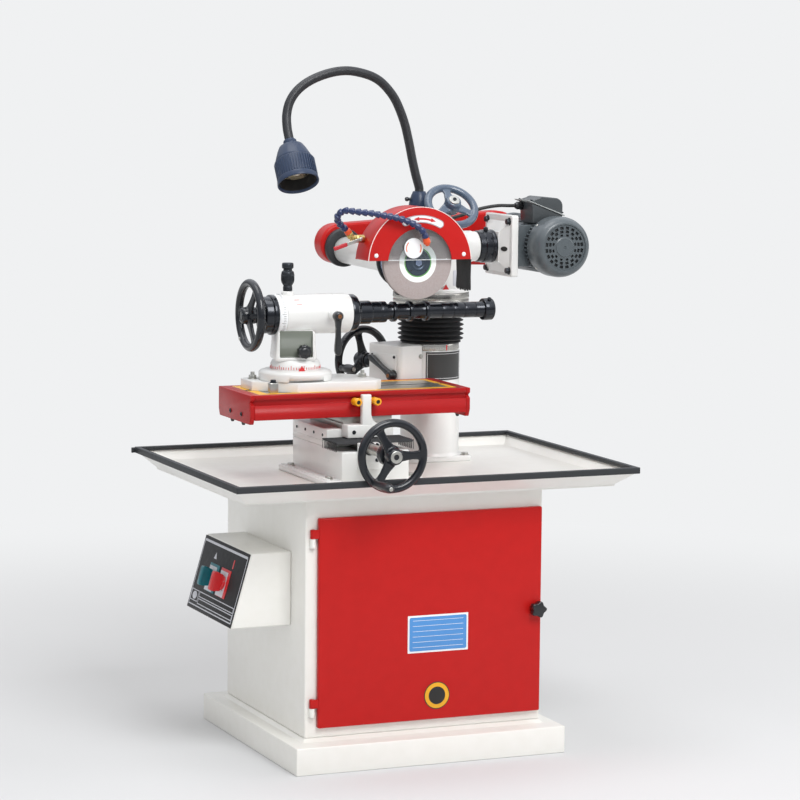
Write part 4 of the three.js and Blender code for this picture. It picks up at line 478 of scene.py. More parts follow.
def slab(outline, depth, edge=0.8, segments=2):
    """A closed outline in X and Y filled and drawn up along +Z, with its rims rounded."""
    chain([(x, y, 0) for x, y in outline])
    bpy.ops.mesh.edge_face_add()
    bpy.ops.mesh.extrude_region_move(TRANSFORM_OT_translate={"value": (0, 0, depth)})
    bpy.ops.mesh.select_all(action="SELECT")
    bpy.ops.mesh.normals_make_consistent(inside=False)
    bpy.ops.object.mode_set(mode="OBJECT")
    return soften(bpy.context.object, edge, segments) if edge else bpy.context.object


def arc(x, y, radius, start, end, steps):
    """Points along part of a circle, both ends included; the angles are in degrees."""
    angles = [math.radians(start + (end - start) * i / steps) for i in range(steps + 1)]
    return [(x + radius * math.cos(a), y + radius * math.sin(a)) for a in angles]


def lobed(radius, lobes, depth, count):
    """The outline of a star knob: a circle with lobes, whose hollows are a share of the radius deep."""
    angles = [2 * math.pi * i / count for i in range(count)]
    sizes = [radius * (1 - depth + depth * math.cos(lobes * angle)) for angle in angles]
    return [(size * math.cos(angle), size * math.sin(angle)) for size, angle in zip(sizes, angles)]


# Moulded phenolic is black with a soft gloss that picks up the sky; its faint flow marks are 8 mm wide.
black_phenolic = plain("moulded black phenolic", "#15171b", 0.3, 8, 0.05, Coat_Weight=0.3,
                       Coat_Roughness=0.15)
knob_low, knob_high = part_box("latch_knob")
knob_x = (knob_low.x + knob_high.x) / 2
knob_z = 327 * mm
knob_radius = 19 * mm
knob_depth = 17 * mm
knob = slab(lobed(knob_radius, 5, 0.12, 60), knob_depth, 3, 4)
lay(knob, (0, -1, 0), (knob_x, knob_low.y + knob_depth, knob_z))
knob_parts = [
    knob,
    rod(knob_radius / 2, 4 * mm, (0, 1, 0), (knob_x, knob_low.y + knob_depth - 0.2 * mm, knob_z)),
    rod(4 * mm, knob_high.y - knob_low.y - knob_depth, (0, 1, 0), (knob_x, knob_low.y + knob_depth, knob_z)),
    soften(block((knob_x - 5 * mm, knob_high.y - sheet, knob_z - 16 * mm),
                 (knob_x + 5 * mm, knob_high.y, knob_z + 4 * mm)), 0.5),
]
for part in knob_parts:
    coat(part, black_phenolic)
settle(fuse(*knob_parts), "latch_star_knob", "latch", "black_plastic", "latch_knob")


# Chip tray: a welded sheet pan with sloped sides and an upright lip, in the same white enamel.
tray_low, tray_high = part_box("chip_tray")
tray_floor_wide = 886 * mm
tray_floor_deep = 598 * mm
tray_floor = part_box("base_casting")[0].z
tray_rim = 637 * mm
tray_wall = 4 * mm
lip_wall = 3 * mm
tray = block((-tray_floor_wide / 2, -tray_floor_deep / 2, tray_low.z),
             (tray_floor_wide / 2, tray_floor_deep / 2, tray_low.z + tray_wall))
rim_wide = tray_high.x * 2
rim_deep = tray_high.y * 2
bpy.ops.object.mode_set(mode="EDIT")
pick(lambda middle, normal: normal.z > 0.9)
draw_out((0, 0, tray_rim - tray_low.z - tray_wall), (rim_wide / tray_floor_wide, rim_deep / tray_floor_deep,
                                                     1))
draw_out((0, 0, tray_high.z - tray_rim))
draw_out((0, 0, 0), ((rim_wide - 2 * lip_wall) / rim_wide, (rim_deep - 2 * lip_wall) / rim_deep, 1))
draw_out((0, 0, tray_rim - tray_high.z))
inner_wide = tray_floor_wide + (rim_wide - tray_floor_wide) * (tray_floor - tray_low.z) / (tray_rim
                                                                                           - tray_low.z)
inner_deep = tray_floor_deep + (rim_deep - tray_floor_deep) * (tray_floor - tray_low.z) / (tray_rim
                                                                                           - tray_low.z)
draw_out((0, 0, tray_floor - tray_rim), ((inner_wide - 2 * tray_wall) / (rim_wide - 2 * lip_wall),
                                         (inner_deep - 2 * tray_wall) / (rim_deep - 2 * lip_wall), 1))
bpy.ops.object.mode_set(mode="OBJECT")
soften(tray, 1.2)
settle(coat(tray, white_enamel), "tray_pan", "stand", "white_paint", "chip_tray")


# Tray edge: one length of black rubber channel pushed over the lip, mitred at the corners. Its two ends
# meet at the back left corner, where one is left a little loose and hooks outwards.
black_rubber = plain("extruded black rubber", "#25282b", 0.55, 2, 0.06)
edge_low, edge_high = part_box("tray_edge_seal")
edge_wall = 4 * mm
edge_inner_drop = 10 * mm
inner_x = tray_high.x - lip_wall - 0.3 * mm - edge_wall
inner_y = tray_high.y - lip_wall - 0.3 * mm - edge_wall
seal = block(edge_low, edge_high)
remove(
    seal,
    block((-inner_x, -inner_y, edge_low.z - edge_wall), (inner_x, inner_y, edge_high.z + edge_wall)),
    block((-tray_high.x - 0.3 * mm, -tray_high.y - 0.3 * mm, edge_low.z - edge_wall),
          (tray_high.x + 0.3 * mm, tray_high.y + 0.3 * mm, edge_high.z - edge_inner_drop)),
)
soften(seal, 1.5, 4)
coat(seal, black_rubber)
settle(seal, "tray_edge_channel", "stand", "black_rubber", "tray_edge_seal")


# Loose end of the tray edge: the surplus of the rubber channel, bent outwards past the back left corner.
def moved(piece, step):
    """Shifts a piece inside its own mesh."""
    return bring(piece, Matrix.Translation(step))


hook = slab([(0, 0), (0, 11 * mm), (-9 * mm, 13 * mm), (-12 * mm, 10 * mm), (-12 * mm, 3 * mm),
             (-9 * mm, 3 * mm), (-8 * mm, 8 * mm), (-4 * mm, 6 * mm), (-4 * mm, 0)], 12 * mm, 1, 3)
moved(hook, (edge_low.x + 2 * mm, edge_high.y - 16 * mm, edge_high.z - 13 * mm))
settle(coat(hook, black_rubber), "tray_edge_hook", "stand", "black_rubber")


# Switch box: a folded sheet case with a sloped face, in the cabinet's enamel, screwed to the cabinet's left
# wall. Its panel and its switches follow.
def seat(piece, across, up, place):
    """Puts a piece that was made on the XY plane in its place, its X and Y along two directions."""
    across, up = Vector(across).normalized(), Vector(up).normalized()
    turn = Matrix((across, up, across.cross(up))).transposed()
    return bring(piece, Matrix.Translation(place) @ turn.to_4x4())


def face_front(piece, place):
    """Stands a piece that was made on the XY plane upright in its place, with its top side to the front."""
    return seat(piece, (1, 0, 0), (0, 0, 1), place)


box_low, box_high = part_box("switch_box")
box_length = box_high.y - box_low.y
top_reach = 94 * mm
bottom_reach = 142 * mm
box_rise = box_high.z - box_low.z
case = slab([(0, 0), (-bottom_reach, 0), (-top_reach, box_rise), (0, box_rise)], box_length, 5, 4)
face_front(case, (box_high.x, box_high.y, box_low.z))
settle(coat(case, white_enamel), "switch_case", "stand", "white_paint", "switch_box")

# Its panel is a black anodised plate with printed silver rules: an outer frame, and below a band with an oval
# and two boxes, all blank. A square plate with a coloured edge lies under each switch.
face_run = bottom_reach - top_reach
face_length = math.hypot(face_run, box_rise)
face_up = Vector((face_run, 0, box_rise)) / face_length
face_out = Vector((-box_rise, 0, face_run)) / face_length
face_middle = Vector((box_high.x - (top_reach + bottom_reach) / 2, (box_low.y + box_high.y) / 2,
                      (box_low.z + box_high.z) / 2))
panel_black = plain("black anodised panel", "#101011", 0.55, 1.5, 0.02)
panel_silver = plain("printed silver rules", "#c9cbd2", 0.35)
teal_plastic = plain("moulded teal plastic", "#0f6d78", 0.32, 3, 0.03, Coat_Weight=0.2)
signal_red = plain("moulded red plastic", "#cf2a2e", 0.32, 3, 0.03, Coat_Weight=0.2)


def at(x, y, z):
    """A place given in millimetres."""
    return (x * mm, y * mm, z * mm)


def on_panel(left, bottom, right, top, low, high, material, edge=0):
    """A strip or plate on the sloped face, in millimetres across and up from its middle."""
    strip = block(at(left, bottom, low), at(right, top, high))
    if edge:
        soften(strip, edge)
    return coat(seat(strip, (0, -1, 0), face_up, face_middle), material)


def ruled_frame(left, bottom, right, top, width):
    """Four printed rules round a rectangle."""
    rules = ((left, bottom, right, bottom + width), (left, top - width, right, top),
             (left, bottom + width, left + width, top - width), (right - width, bottom + width, right,
                                                                 top - width))
    return [on_panel(*rule, 1.2, 1.6, panel_silver) for rule in rules]


panel_parts = [on_panel(-146, -84, 146, 84, -0.2, 1.4, panel_black, 0.4)]
panel_parts += ruled_frame(-142, -76, 141, 74, 2.6)
panel_parts += [on_panel(-139.5, 73, 138.5, 77, 1.2, 1.7, panel_silver)]
for left, bottom, right, top in ((-139, -66, -92, -40), (-88, -53, 137, -40), (-88, -69, 137, -56)):
    panel_parts += ruled_frame(left, bottom, right, top, 2)
oval = coat(rod(9 * mm, 0.5 * mm, (0, 0, 1), (0, 0, 0), 0.1, 40), panel_silver)
bring(oval, Matrix.Diagonal((1.5, 1, 1, 1)))
panel_parts.append(seat(oval, (0, -1, 0), face_up, face_middle + Vector(at(0, 115.5, 0)) - face_up * 53 * mm
                        + face_out * 1.2 * mm))
triangle = coat(slab([(-9 * mm, 0), (9 * mm, 0), (0, 15 * mm)], 0.5 * mm, 0.1, 1), panel_silver)
panel_parts.append(seat(triangle, (0, -1, 0), face_up, face_middle + Vector(at(0, 52, 0)) + face_up * 42 * mm
                        + face_out * 1.2 * mm))
panel_parts.append(on_panel(64, 38, 70, 58, 1.2, 1.7, signal_red, 0.1))
for across, colour in zip((-37, 37), (teal_plastic, signal_red)):
    panel_parts.append(on_panel(across - 30, -32, across + 30, 32, 1.2, 3, colour, 0.6))
    panel_parts.append(on_panel(across - 29, -31, across + 17, 26, 1.4, 3.6, panel_silver, 0.4))
settle(fuse(*panel_parts), "switch_panel", "stand", "black_plastic")


# Switches: one-piece moulded paddles on round collars, teal for start and red for stop. Their sides are drawn
# in below the rounded head, for the fingers.
def paddle(material):
    """A switch paddle made round +Z, its blade along X."""
    outline = [(-19, 7), (-20, 14), (-22, 22), (-22, 28)]
    outline += [(-22 + 4 - 4 * math.cos(a), 28 + 4 * math.sin(a)) for a in (0.5, 1.0, 1.57)]
    outline += [(-x, y) for x, y in reversed(outline)]
    blade = slab([(x * mm, y * mm) for x, y in outline], 17 * mm, 3, 4)
    face_front(blade, at(0, 8.5, 0))
    collar = rod(16 * mm, 10 * mm, (0, 0, 1), (0, 0, 0), 1.5, 48)
    stem = rod(5 * mm, 14 * mm, (0, 0, 1), at(0, 0, -12))
    return coat(fuse(blade, collar, stem), material)


for name, body, across, material, slot in (("start_paddle", "start_knob", -37, teal_plastic, "teal_plastic"),
                                           ("stop_paddle", "stop_knob", 37, signal_red, "signal_red")):
    knob = paddle(material)
    seat(knob, face_up, (0, 1, 0), face_middle - Vector(at(0, across, 0)) + face_out * 0.3 * mm)
    settle(knob, name, body, slot, name.replace("paddle", "switch"))


# Base casting: grey iron filled and painted gloss white, with a flange and a low pad at each side, and a
# bearing block for the feed screw in front. Four hexagon bolts hold it to the tray.
cast_white = enamel("gloss white paint on filled cast iron", "#e9e9e7", "#dddedd", 0.3, 5, 0.3, 60)
dark_steel = plain("oil-blackened steel", "#34373b", 0.34, 1, 0.03, Metallic=0.75)
zinc_steel = plain("zinc-plated steel", "#b9b8b2", 0.3, 1, 0.03, Metallic=1)
base_low, base_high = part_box("base_casting")
saddle_low, saddle_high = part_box("cross_saddle")
base_top = saddle_low.z
flange_top = base_low.z + 13 * mm
bearing_depth = 14 * mm
base_front = base_low.y + bearing_depth
screw_x = -127 * mm
screw_z = 702 * mm


def hexagon_bolt(across_flats, height, material, washer=True):
    """A hexagon bolt head made round +Z on its washer, with the chamfer of its top turned on."""
    radius = across_flats / math.sqrt(3)
    head = rod(radius, height, (0, 0, 1), (0, 0, 0), 0, 6)
    crown = rod(radius * 1.02, height, (0, 0, 1), (0, 0, 0), 0, 48)
    crown_top = radius * 0.84
    for corner in crown.data.vertices:
        if corner.co.z > height / 2:
            corner.co.x *= crown_top / (radius * 1.02)
            corner.co.y *= crown_top / (radius * 1.02)
        else:
            corner.co.x *= 1.5
            corner.co.y *= 1.5
    make_active(head)
    trim = head.modifiers.new("trim", "BOOLEAN")
    trim.operation = "INTERSECT"
    trim.solver = "EXACT"
    trim.object = crown
    bpy.ops.object.modifier_apply(modifier=trim.name)
    bpy.data.objects.remove(crown)
    soften(head, 0.25, 1)
    if washer:
        head = fuse(head, rod(across_flats * 0.72, 1.6 * mm, (0, 0, 1), (0, 0, 0), 0.3, 40))
    return coat(head, material)


def socket_screw(radius, height, material):
    """A cylinder-head screw made round +Z, with its hexagon socket."""
    head = rod(radius, height, (0, 0, 1), (0, 0, 0), 0.1 * radius / mm, 36)
    return coat(remove(head, rod(radius * 0.55, height, (0, 0, 1), (0, 0, height * 0.45), 0, 6)), material)


def copy_of(piece):
    """A second piece with its own mesh."""
    twin = piece.copy()
    twin.data = piece.data.copy()
    bpy.context.scene.collection.objects.link(twin)
    return twin


def spread(pattern, direction, *places):
    """Copies of one fastener along a direction at each place; the pattern itself is used up."""
    copies = [lay(copy_of(pattern), direction, place) for place in places]
    bpy.data.objects.remove(pattern)
    return copies


base_left, base_right = saddle_low.x, saddle_high.x
casting = block((base_left, base_front, base_low.z), (base_right, base_high.y, base_top))
soften(casting, 2.5, 3)
trough_radius = 15 * mm
remove(casting, rod(trough_radius, base_high.y - base_front, (0, 1, 0),
                    (screw_x, base_front + bearing_depth / 2, screw_z), 0, 32),
       rod(1.6 * mm, 8 * mm, (1, 0, 0), (base_left - 2 * mm, base_front + 82 * mm, base_top - 31 * mm),
           0, 16))
foot_parts = [casting]
for low_x, high_x in ((base_low.x, base_left + 4 * mm), (base_right - 4 * mm, base_high.x)):
    foot_parts.append(soften(block((low_x, base_front, base_low.z), (high_x, base_high.y, flange_top)), 3, 3))
# Low rails run along both flanges, where the real casting has its machined pads.
for low_x in (base_low.x + 3 * mm, base_high.x - 13 * mm):
    rail = block((low_x, base_front + 10 * mm, flange_top - 3 * mm),
                 (low_x + 10 * mm, base_high.y - 10 * mm, flange_top + 3 * mm))
    foot_parts.append(soften(rail, 1.5, 2))
bearing = block((screw_x - 24 * mm, base_low.y, base_top - 40 * mm), (screw_x + 24 * mm, base_front + 2 * mm,
                                                                     base_top + 20 * mm))
soften(bearing, 2.5, 3)
remove(bearing, rod(7.3 * mm, 40 * mm, (0, 1, 0), (screw_x, base_low.y - 10 * mm, screw_z), 0, 32))
foot_parts.append(bearing)
for part in foot_parts:
    coat(part, cast_white)
bearing_ring = rod(15 * mm, 2.5 * mm, (0, -1, 0), (screw_x, base_low.y + 0.3 * mm, screw_z), 0.6, 48)
foot_parts.append(coat(remove(bearing_ring, rod(7.5 * mm, 12 * mm, (0, -1, 0), (screw_x, base_low.y + 6 * mm,
                                                                                screw_z), 0, 32)),
                       dark_steel))
foot_parts += spread(socket_screw(4 * mm, 3 * mm, dark_steel), (0, -1, 0),
                     *[(screw_x + dx * mm, base_low.y + 0.2 * mm, screw_z + dz * mm)
                       for dx in (-17, 17) for dz in (-26, 8)])
foot_places = [(x, y, flange_top) for x in (base_left - 17.5 * mm, base_right + 17.5 * mm)
               for y in (base_front + 35 * mm, base_high.y - 35 * mm)]
foot_parts += spread(hexagon_bolt(14 * mm, 6.5 * mm, zinc_steel), (0, 0, 1), *foot_places)
settle(fuse(*foot_parts), "base_casting_body", "stand", "white_paint", "base_casting")


# Cross saddle: a white painted block on the dovetail way. A dark joint line and the gib's screws show along
# its left side, and the feed screw runs into its front.
saddle = block(saddle_low, saddle_high)
soften(saddle, 2, 3)
way_gap = 1.4 * mm
groove = block((saddle_low.x - 3 * mm, saddle_low.y - 3 * mm, saddle_low.z + 12 * mm),
               (saddle_low.x + 1.2 * mm, saddle_high.y + 3 * mm, saddle_low.z + 12 * mm + way_gap))
remove(saddle, groove, rod(7.3 * mm, 260 * mm, (0, 1, 0), (screw_x, saddle_low.y - 10 * mm, screw_z), 0, 32))
coat(saddle, cast_white)
saddle_parts = [saddle]
saddle_parts += spread(socket_screw(3.2 * mm, 2 * mm, dark_steel), (-1, 0, 0),
                       *[(saddle_low.x + 0.5 * mm, saddle_low.y + share * (saddle_high.y - saddle_low.y),
                          saddle_low.z + 25 * mm) for share in (0.12, 0.37, 0.62, 0.87)])
settle(fuse(*saddle_parts), "saddle_block", "saddle", "white_paint", "cross_saddle")


# Table guide: the hardened steel bar of the table's ball way, ground bright, with a groove for the balls
# along each side.
def cut_metal(name, base, roughness, run, spacing, detail, depth, tones=(), gloss=(), **shader):
    """Metal with the fine lines of its last cut, which run along the directions where `run` is small."""
    material, tree, surface = new_material(name, base, roughness, **shader)
    place = add(tree, "ShaderNodeTexCoord").outputs["Object"]
    drawn = add(tree, "ShaderNodeMapping", {"Vector": place, "Scale": run})
    lines = add(tree, "ShaderNodeTexNoise", {"Vector": drawn.outputs[0], "Scale": 1 / (spacing * mm),
                                             "Detail": detail})
    vary(tree, surface, lines.outputs[0], [linear(tone) for tone in tones], gloss, depth)
    return material


# Grinding leaves fine lines along the table; they are drawn 1.5 mm apart so that they show.
ground_steel = cut_metal("surface-ground steel", "#b5b5b0", 0.3, (0.03, 1, 1), 1.5, 4, 0.03,
                         ("#a6a6a2", "#c6c5bf"), (0.22, 0.42), Metallic=1)
guide_low, guide_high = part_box("table_guide")
guide = soften(block(guide_low, guide_high), 1)
ball_groove = block((guide_low.x - 3 * mm, guide_low.y - 5 * mm, guide_low.z + 12 * mm),
                    (guide_low.x + 5 * mm, guide_high.y + 5 * mm, guide_low.z + 18 * mm))
far_groove = block((guide_high.x - 5 * mm, guide_low.y - 5 * mm, guide_low.z + 12 * mm),
                   (guide_high.x + 3 * mm, guide_high.y + 5 * mm, guide_low.z + 18 * mm))
remove(guide, ball_groove, far_groove)
settle(coat(guide, ground_steel), "table_way_bar", "saddle", "bright_steel", "table_guide")


# Stop bracket: one white painted angle of welded flat bar, screwed to the saddle's front, whose upright
# stands before the table's groove.
bracket_low, bracket_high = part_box("stop_bracket")
upright_left, upright_right = -117.1 * mm, -95.7 * mm
upright_front = bracket_low.y
upright_back = upright_front + 15 * mm
foot_top = 746 * mm
foot = block((bracket_low.x, bracket_low.y, bracket_low.z), (bracket_high.x, bracket_high.y, foot_top))
soften(foot, 2.2, 3)
upright = block((upright_left, upright_front + 0.4 * mm, foot_top - 14 * mm), (upright_right, upright_back,
                                                                               bracket_high.z))
soften(upright, 2.5, 3)
# A curved gusset leads from the foot into the upright, as the real one is bent and filled.
gusset = slab([(0, -6 * mm)] + arc(26 * mm, 26 * mm, 26 * mm, 180, 270, 8) + [(26 * mm, -6 * mm)], 13 * mm,
              0.6)
face_front(gusset, (upright_right - 0.5 * mm, upright_back - 1 * mm, foot_top - 0.5 * mm))
bracket_parts = [coat(part, cast_white) for part in (foot, upright, gusset)]
bracket_parts += spread(socket_screw(4.6 * mm, 1.4 * mm, dark_steel), (0, -1, 0),
                        (bracket_low.x + 15 * mm, bracket_low.y + 0.2 * mm, bracket_low.z + 13 * mm),
                        (bracket_high.x - 12 * mm, bracket_low.y + 0.2 * mm, bracket_low.z + 13 * mm))
settle(fuse(*bracket_parts), "stop_bracket_angle", "saddle", "white_paint", "stop_bracket")

# Stop buffers: two yellow polyurethane sleeves on black screws, one at each side of the upright.
yellow_rubber = plain("cast yellow polyurethane", "#f2a90f", 0.36, 2, 0.05, Coat_Weight=0.3)
buffer_low, buffer_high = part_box("stop_buffers")
buffer_z = (buffer_low.z + buffer_high.z) / 2
buffer_radius = 8.5 * mm
buffer_length = 28 * mm
buffer_back = buffer_high.y
buffer_parts = [coat(soften(block((buffer_low.x + buffer_radius, buffer_back - 5 * mm, buffer_z - 7 * mm),
                                  (buffer_high.x - buffer_radius, buffer_back, buffer_z + 7 * mm)), 1),
                     yellow_rubber)]
for x in (buffer_low.x + buffer_radius, buffer_high.x - buffer_radius):
    front = (x, buffer_back - buffer_length, buffer_z)
    sleeve = rod(buffer_radius, buffer_length, (0, 1, 0), front, 2, 48)
    remove(sleeve, rod(4.6 * mm, 8 * mm, (0, 1, 0), (x, front[1] - 4 * mm, buffer_z), 0, 32))
    buffer_parts.append(coat(sleeve, yellow_rubber))
    buffer_parts.append(coat(rod(4.5 * mm, 4 * mm, (0, 1, 0), (x, front[1] + 1.5 * mm, buffer_z), 0.5, 32),
                             black_print))
settle(fuse(*buffer_parts), "buffer_sleeves", "saddle", "yellow_plastic", "stop_buffers")


# Way cover: black rubberised cloth folded like an accordion between the saddle and the base's front bearing.
cover_low, cover_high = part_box("way_cover")
rubber_cloth = plain("rubberised cloth", "#191a1c", 0.7, 0.9, 0.12)
cover_folds = 9
fold_depth = 5 * mm
cover_wall = 1.2 * mm
fold_pitch = (cover_high.y - cover_low.y) / cover_folds
ridge = []
for i in range(cover_folds):
    start = cover_low.y + fold_pitch * i
    ridge += [(start + fold_pitch * 0.08, cover_high.z - fold_depth), (start + fold_pitch * 0.42,
                                                                       cover_high.z),
              (start + fold_pitch * 0.58, cover_high.z), (start + fold_pitch * 0.92, cover_high.z
                                                          - fold_depth)]
# The ridge line is drawn across to its mirror image and then down at both sides.
chain([(cover_low.x + 0.8 * (cover_high.z - z), y, z) for y, z in ridge])
draw_out((0, 0, 0), (-1, 1, 1), ((cover_low.x + cover_high.x) / 2, 0, 0))
cover_side = 5 * mm
pick(lambda middle, along: abs(along.x) < 0.5 and min(middle.x - cover_low.x, cover_high.x
                                                      - middle.x) < cover_side, "EDGE")
draw_out((0, 0, -cover_side), (1, 1, 0), (0, 0, cover_low.z))
bpy.ops.mesh.select_all(action="SELECT")
bpy.ops.mesh.normals_make_consistent(inside=False)
bpy.ops.object.mode_set(mode="OBJECT")
cover = bpy.context.object
wall = cover.modifiers.new("wall", "SOLIDIFY")
wall.thickness = cover_wall
wall.offset = -1
bpy.ops.object.modifier_apply(modifier=wall.name)
soften(cover, 0.5, 2, 60)
coat(cover, rubber_cloth)
cover.name = "way_bellows"
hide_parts("way_cover")
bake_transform(cover)


# Cross handwheel: an aluminium casting in glossy black lacquer, with a steel bush in its hub, on the feed
# screw with its graduated collar.
black_lacquer, tree, surface = new_material("glossy black lacquer on cast aluminium", "#12151a", 0.24,
                                            Specular_IOR_Level=0.35, Coat_Weight=0.25, Coat_Roughness=0.08)
place = add(tree, "ShaderNodeTexCoord").outputs["Object"]
# The casting below still shows as slow waves in the gloss, about 15 mm across.
waves = add(tree, "ShaderNodeTexNoise", {"Vector": place, "Scale": 1 / (15 * mm), "Detail": 2})
vary(tree, surface, waves.outputs[0], (linear("#0f1217"), linear("#171b22")), (), 0.25, 0.5)


def turn(profile, direction=(0, 0, 1), place=(0, 0, 0), edge=0.5, steps=56, smooth=40):
    """A profile of (radius, height) points in millimetres, spun round +Z and laid along a direction."""
    chain([at(radius, 0, height) for radius, height in profile])
    bpy.ops.mesh.spin(steps=steps, angle=2 * math.pi, center=(0, 0, 0), axis=(0, 0, 1))
    bpy.ops.mesh.select_all(action="SELECT")
    bpy.ops.mesh.remove_doubles(threshold=0.01 * mm)
    bpy.ops.mesh.normals_make_consistent(inside=False)
    bpy.ops.object.mode_set(mode="OBJECT")
    piece = bpy.context.object
    if edge:
        soften(piece, edge, 2, smooth)
    else:
        bpy.ops.object.shade_smooth_by_angle(angle=math.radians(smooth))
    return lay(piece, direction, place)


def both_sides(halves):
    """An outline along X from its upper half in millimetres."""
    return [(x * mm, y * mm) for x, y in halves] + [(x * mm, -y * mm) for x, y in reversed(halves)]


def cast_wheel(radius, spoke_start, web=8):
    """A dished handwheel round +Z, its hub's back at the origin; its parts melt into cast fillets."""
    hub_radius, spoke_height = 19, 18
    rim, rim_height = 9.2, 12
    reach = radius - 8
    bpy.ops.object.select_all(action="DESELECT")
    bpy.ops.mesh.primitive_torus_add(major_radius=reach * mm, minor_radius=rim * mm, major_segments=96,
                                     minor_segments=24, location=at(0, 0, rim_height))
    bpy.ops.object.transform_apply(location=True, rotation=True, scale=True)
    parts = [bpy.context.object]
    hub = [(0, 0), (hub_radius - 1, 0), (hub_radius, 2), (hub_radius, 24), (hub_radius - 1.5, 32),
           (hub_radius - 4, 34), (0, 34)]
    parts.append(turn(hub, edge=0))
    for i in range(3):
        angle = math.radians(spoke_start + 120 * i)
        halves = [(6, 16), (20, 12.4), (30, 10.4), (reach * 0.62, 8.8), (reach * 0.8, 9.6), (reach - 4, 13.5),
                  (reach + 1, 16)]
        lift = math.atan2((rim_height - spoke_height) * mm, reach * mm)
        spoke = bring(slab(both_sides(halves), web * mm, 2.6, 3), Matrix.Rotation(angle, 4, "Z")
                      @ Matrix.Translation(at(0, 0, spoke_height - web / 2)) @ Matrix.Rotation(-lift, 4, "Y"))
        parts.append(spoke)
    wheel = fuse(*parts)
    melt = wheel.modifiers.new("melt", "REMESH")
    melt.mode = "VOXEL"
    melt.voxel_size = 1.5 * mm
    bpy.ops.object.modifier_apply(modifier=melt.name)
    fillet = wheel.modifiers.new("fillet", "SMOOTH")
    fillet.factor = 0.5
    fillet.iterations = 9
    bpy.ops.object.modifier_apply(modifier=fillet.name)
    bpy.ops.object.shade_smooth()
    return coat(wheel, black_lacquer)


def hub_bush(outer, inner, height, material):
    """The turned steel bush in a wheel's hub, seen from its front."""
    ring = turn([(inner, height - 3), (outer, height - 3), (outer, height + 0.6), (outer - 1, height + 1.2),
                 (inner + 0.6, height + 1.2), (inner, height + 0.4), (inner, height - 3)], edge=0.15)
    return coat(ring, material)


large_wheel = cast_wheel(80, 0)
wheel_low, wheel_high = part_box("cross_handwheel")
wheel_front = wheel_low.y
hub_depth = 34


def grip_handle(length):
    """A revolving grip made along +Z from the rim: its waisted phenolic body and its screw's bright end."""
    body = turn([(0, 1), (7, 1), (8.6, 2), (9, 5), (8.4, 9), (8.8, 16), (10.2, length * 0.4),
                 (11, length * 0.62), (10.6, length - 14), (9.4, length - 5), (8, length - 1.4),
                 (6.5, length), (0, length)], edge=0.4)
    end = turn([(0, length - 1), (4.6, length - 1), (4.6, length + 0.8), (3.6, length + 1.6),
                (0, length + 1.8)], edge=0.2, steps=32)
    return fuse(coat(body, black_phenolic), coat(end, zinc_steel))


cross_place = Vector((screw_x, wheel_front + hub_depth * mm, screw_z))
cross_parts = [lay(copy_of(large_wheel), (0, -1, 0), cross_place)]
cross_parts.append(lay(hub_bush(13.5, 6.2, hub_depth, zinc_steel), (0, -1, 0), cross_place))
# A black disc at the bush's front fills the bore, painted as the shade inside it.
bore_shade_disc = turn([(0, 32), (6.3, 32), (6.3, hub_depth + 0.2), (3, hub_depth - 0.6), (0, hub_depth - 1.4)],
                 edge=0.1, steps=32)
cross_parts.append(lay(coat(bore_shade_disc, black_print), (0, -1, 0), cross_place))
cross_parts.append(coat(turn([(0, 0), (22, 0), (24, 1.5), (24, 24), (22, 26), (0, 26)], (0, 1, 0),
                             (screw_x, cross_place.y - 1 * mm, screw_z)), dark_steel))


def scale_marks(radius, low, high, count, material, width=0.7, start=0):
    """Graduation lines standing 0.15 mm proud round +Z, in millimetres; every fifth one is longer."""
    marks = []
    for i in range(count):
        top = high if i % 5 == 0 else low + (high - low) * 0.62
        mark = block(at(radius - 0.5, -width / 2, low), at(radius + 0.15, width / 2, top))
        mark.matrix_world = Matrix.Rotation(math.radians(start) + 2 * math.pi * i / count, 4, "Z")
        marks.append(mark)
    scale = fuse(*marks)
    bpy.ops.object.transform_apply(location=True, rotation=True, scale=True)
    return coat(scale, material)


cross_parts.append(lay(scale_marks(24, 2, 8, 50, white_print), (0, -1, 0), (screw_x, cross_place.y + 25 * mm,
                                                                            screw_z)))
sleeve_length = base_low.y - cross_place.y - 0.4 * mm
cross_parts.append(coat(rod(12 * mm, sleeve_length, (0, 1, 0), cross_place, 0.8), zinc_steel))
cross_parts.append(coat(rod(6.9 * mm, wheel_high.y - cross_place.y, (0, 1, 0), cross_place, 0.5, 32),
                        zinc_steel))
settle(fuse(*cross_parts), "cross_wheel_casting", "cross_wheel", "black_plastic", "cross_handwheel")

grip_angle = math.radians(-128)
rim_reach = 72 * mm
grip_place = Vector((screw_x + rim_reach * math.cos(grip_angle), cross_place.y - 20 * mm,
                     screw_z + rim_reach * math.sin(grip_angle)))
settle(lay(grip_handle(91), (0, -1, 0), grip_place), "cross_grip_handle", "cross_wheel_grip", "black_plastic",
       "cross_grip")


# Table: a red enamelled casting with a groove for the stop dogs along its front and two end covers. Its
# T-slotted top plate is ground steel with printed yellow strips along its edges.
table_low, table_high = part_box("table_body")
top_low, top_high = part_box("table_top")
table_red = enamel("gloss red enamel on cast iron", "#ac1e1f", "#a21a1c", 0.3, 4, 0.2, gloss=0.03,
                   mirror=0.15)
groove_top = table_high.z - 11 * mm
groove_height = 12 * mm
groove_depth = 5 * mm
table_body = block(table_low, table_high)
soften(table_body, 1.5, 3)
groove_cut = block((table_low.x - 5 * mm, table_low.y - 5 * mm, groove_top - groove_height),
                   (table_high.x + 5 * mm, table_low.y + groove_depth, groove_top))
pocket = block((table_low.x + 15 * mm, table_low.y + 15 * mm, top_low.z - 0.3 * mm),
               (table_high.x - 15 * mm, table_high.y - 15 * mm, table_high.z + 10 * mm))
remove(table_body, pocket, soften(groove_cut, 1.5, 3))
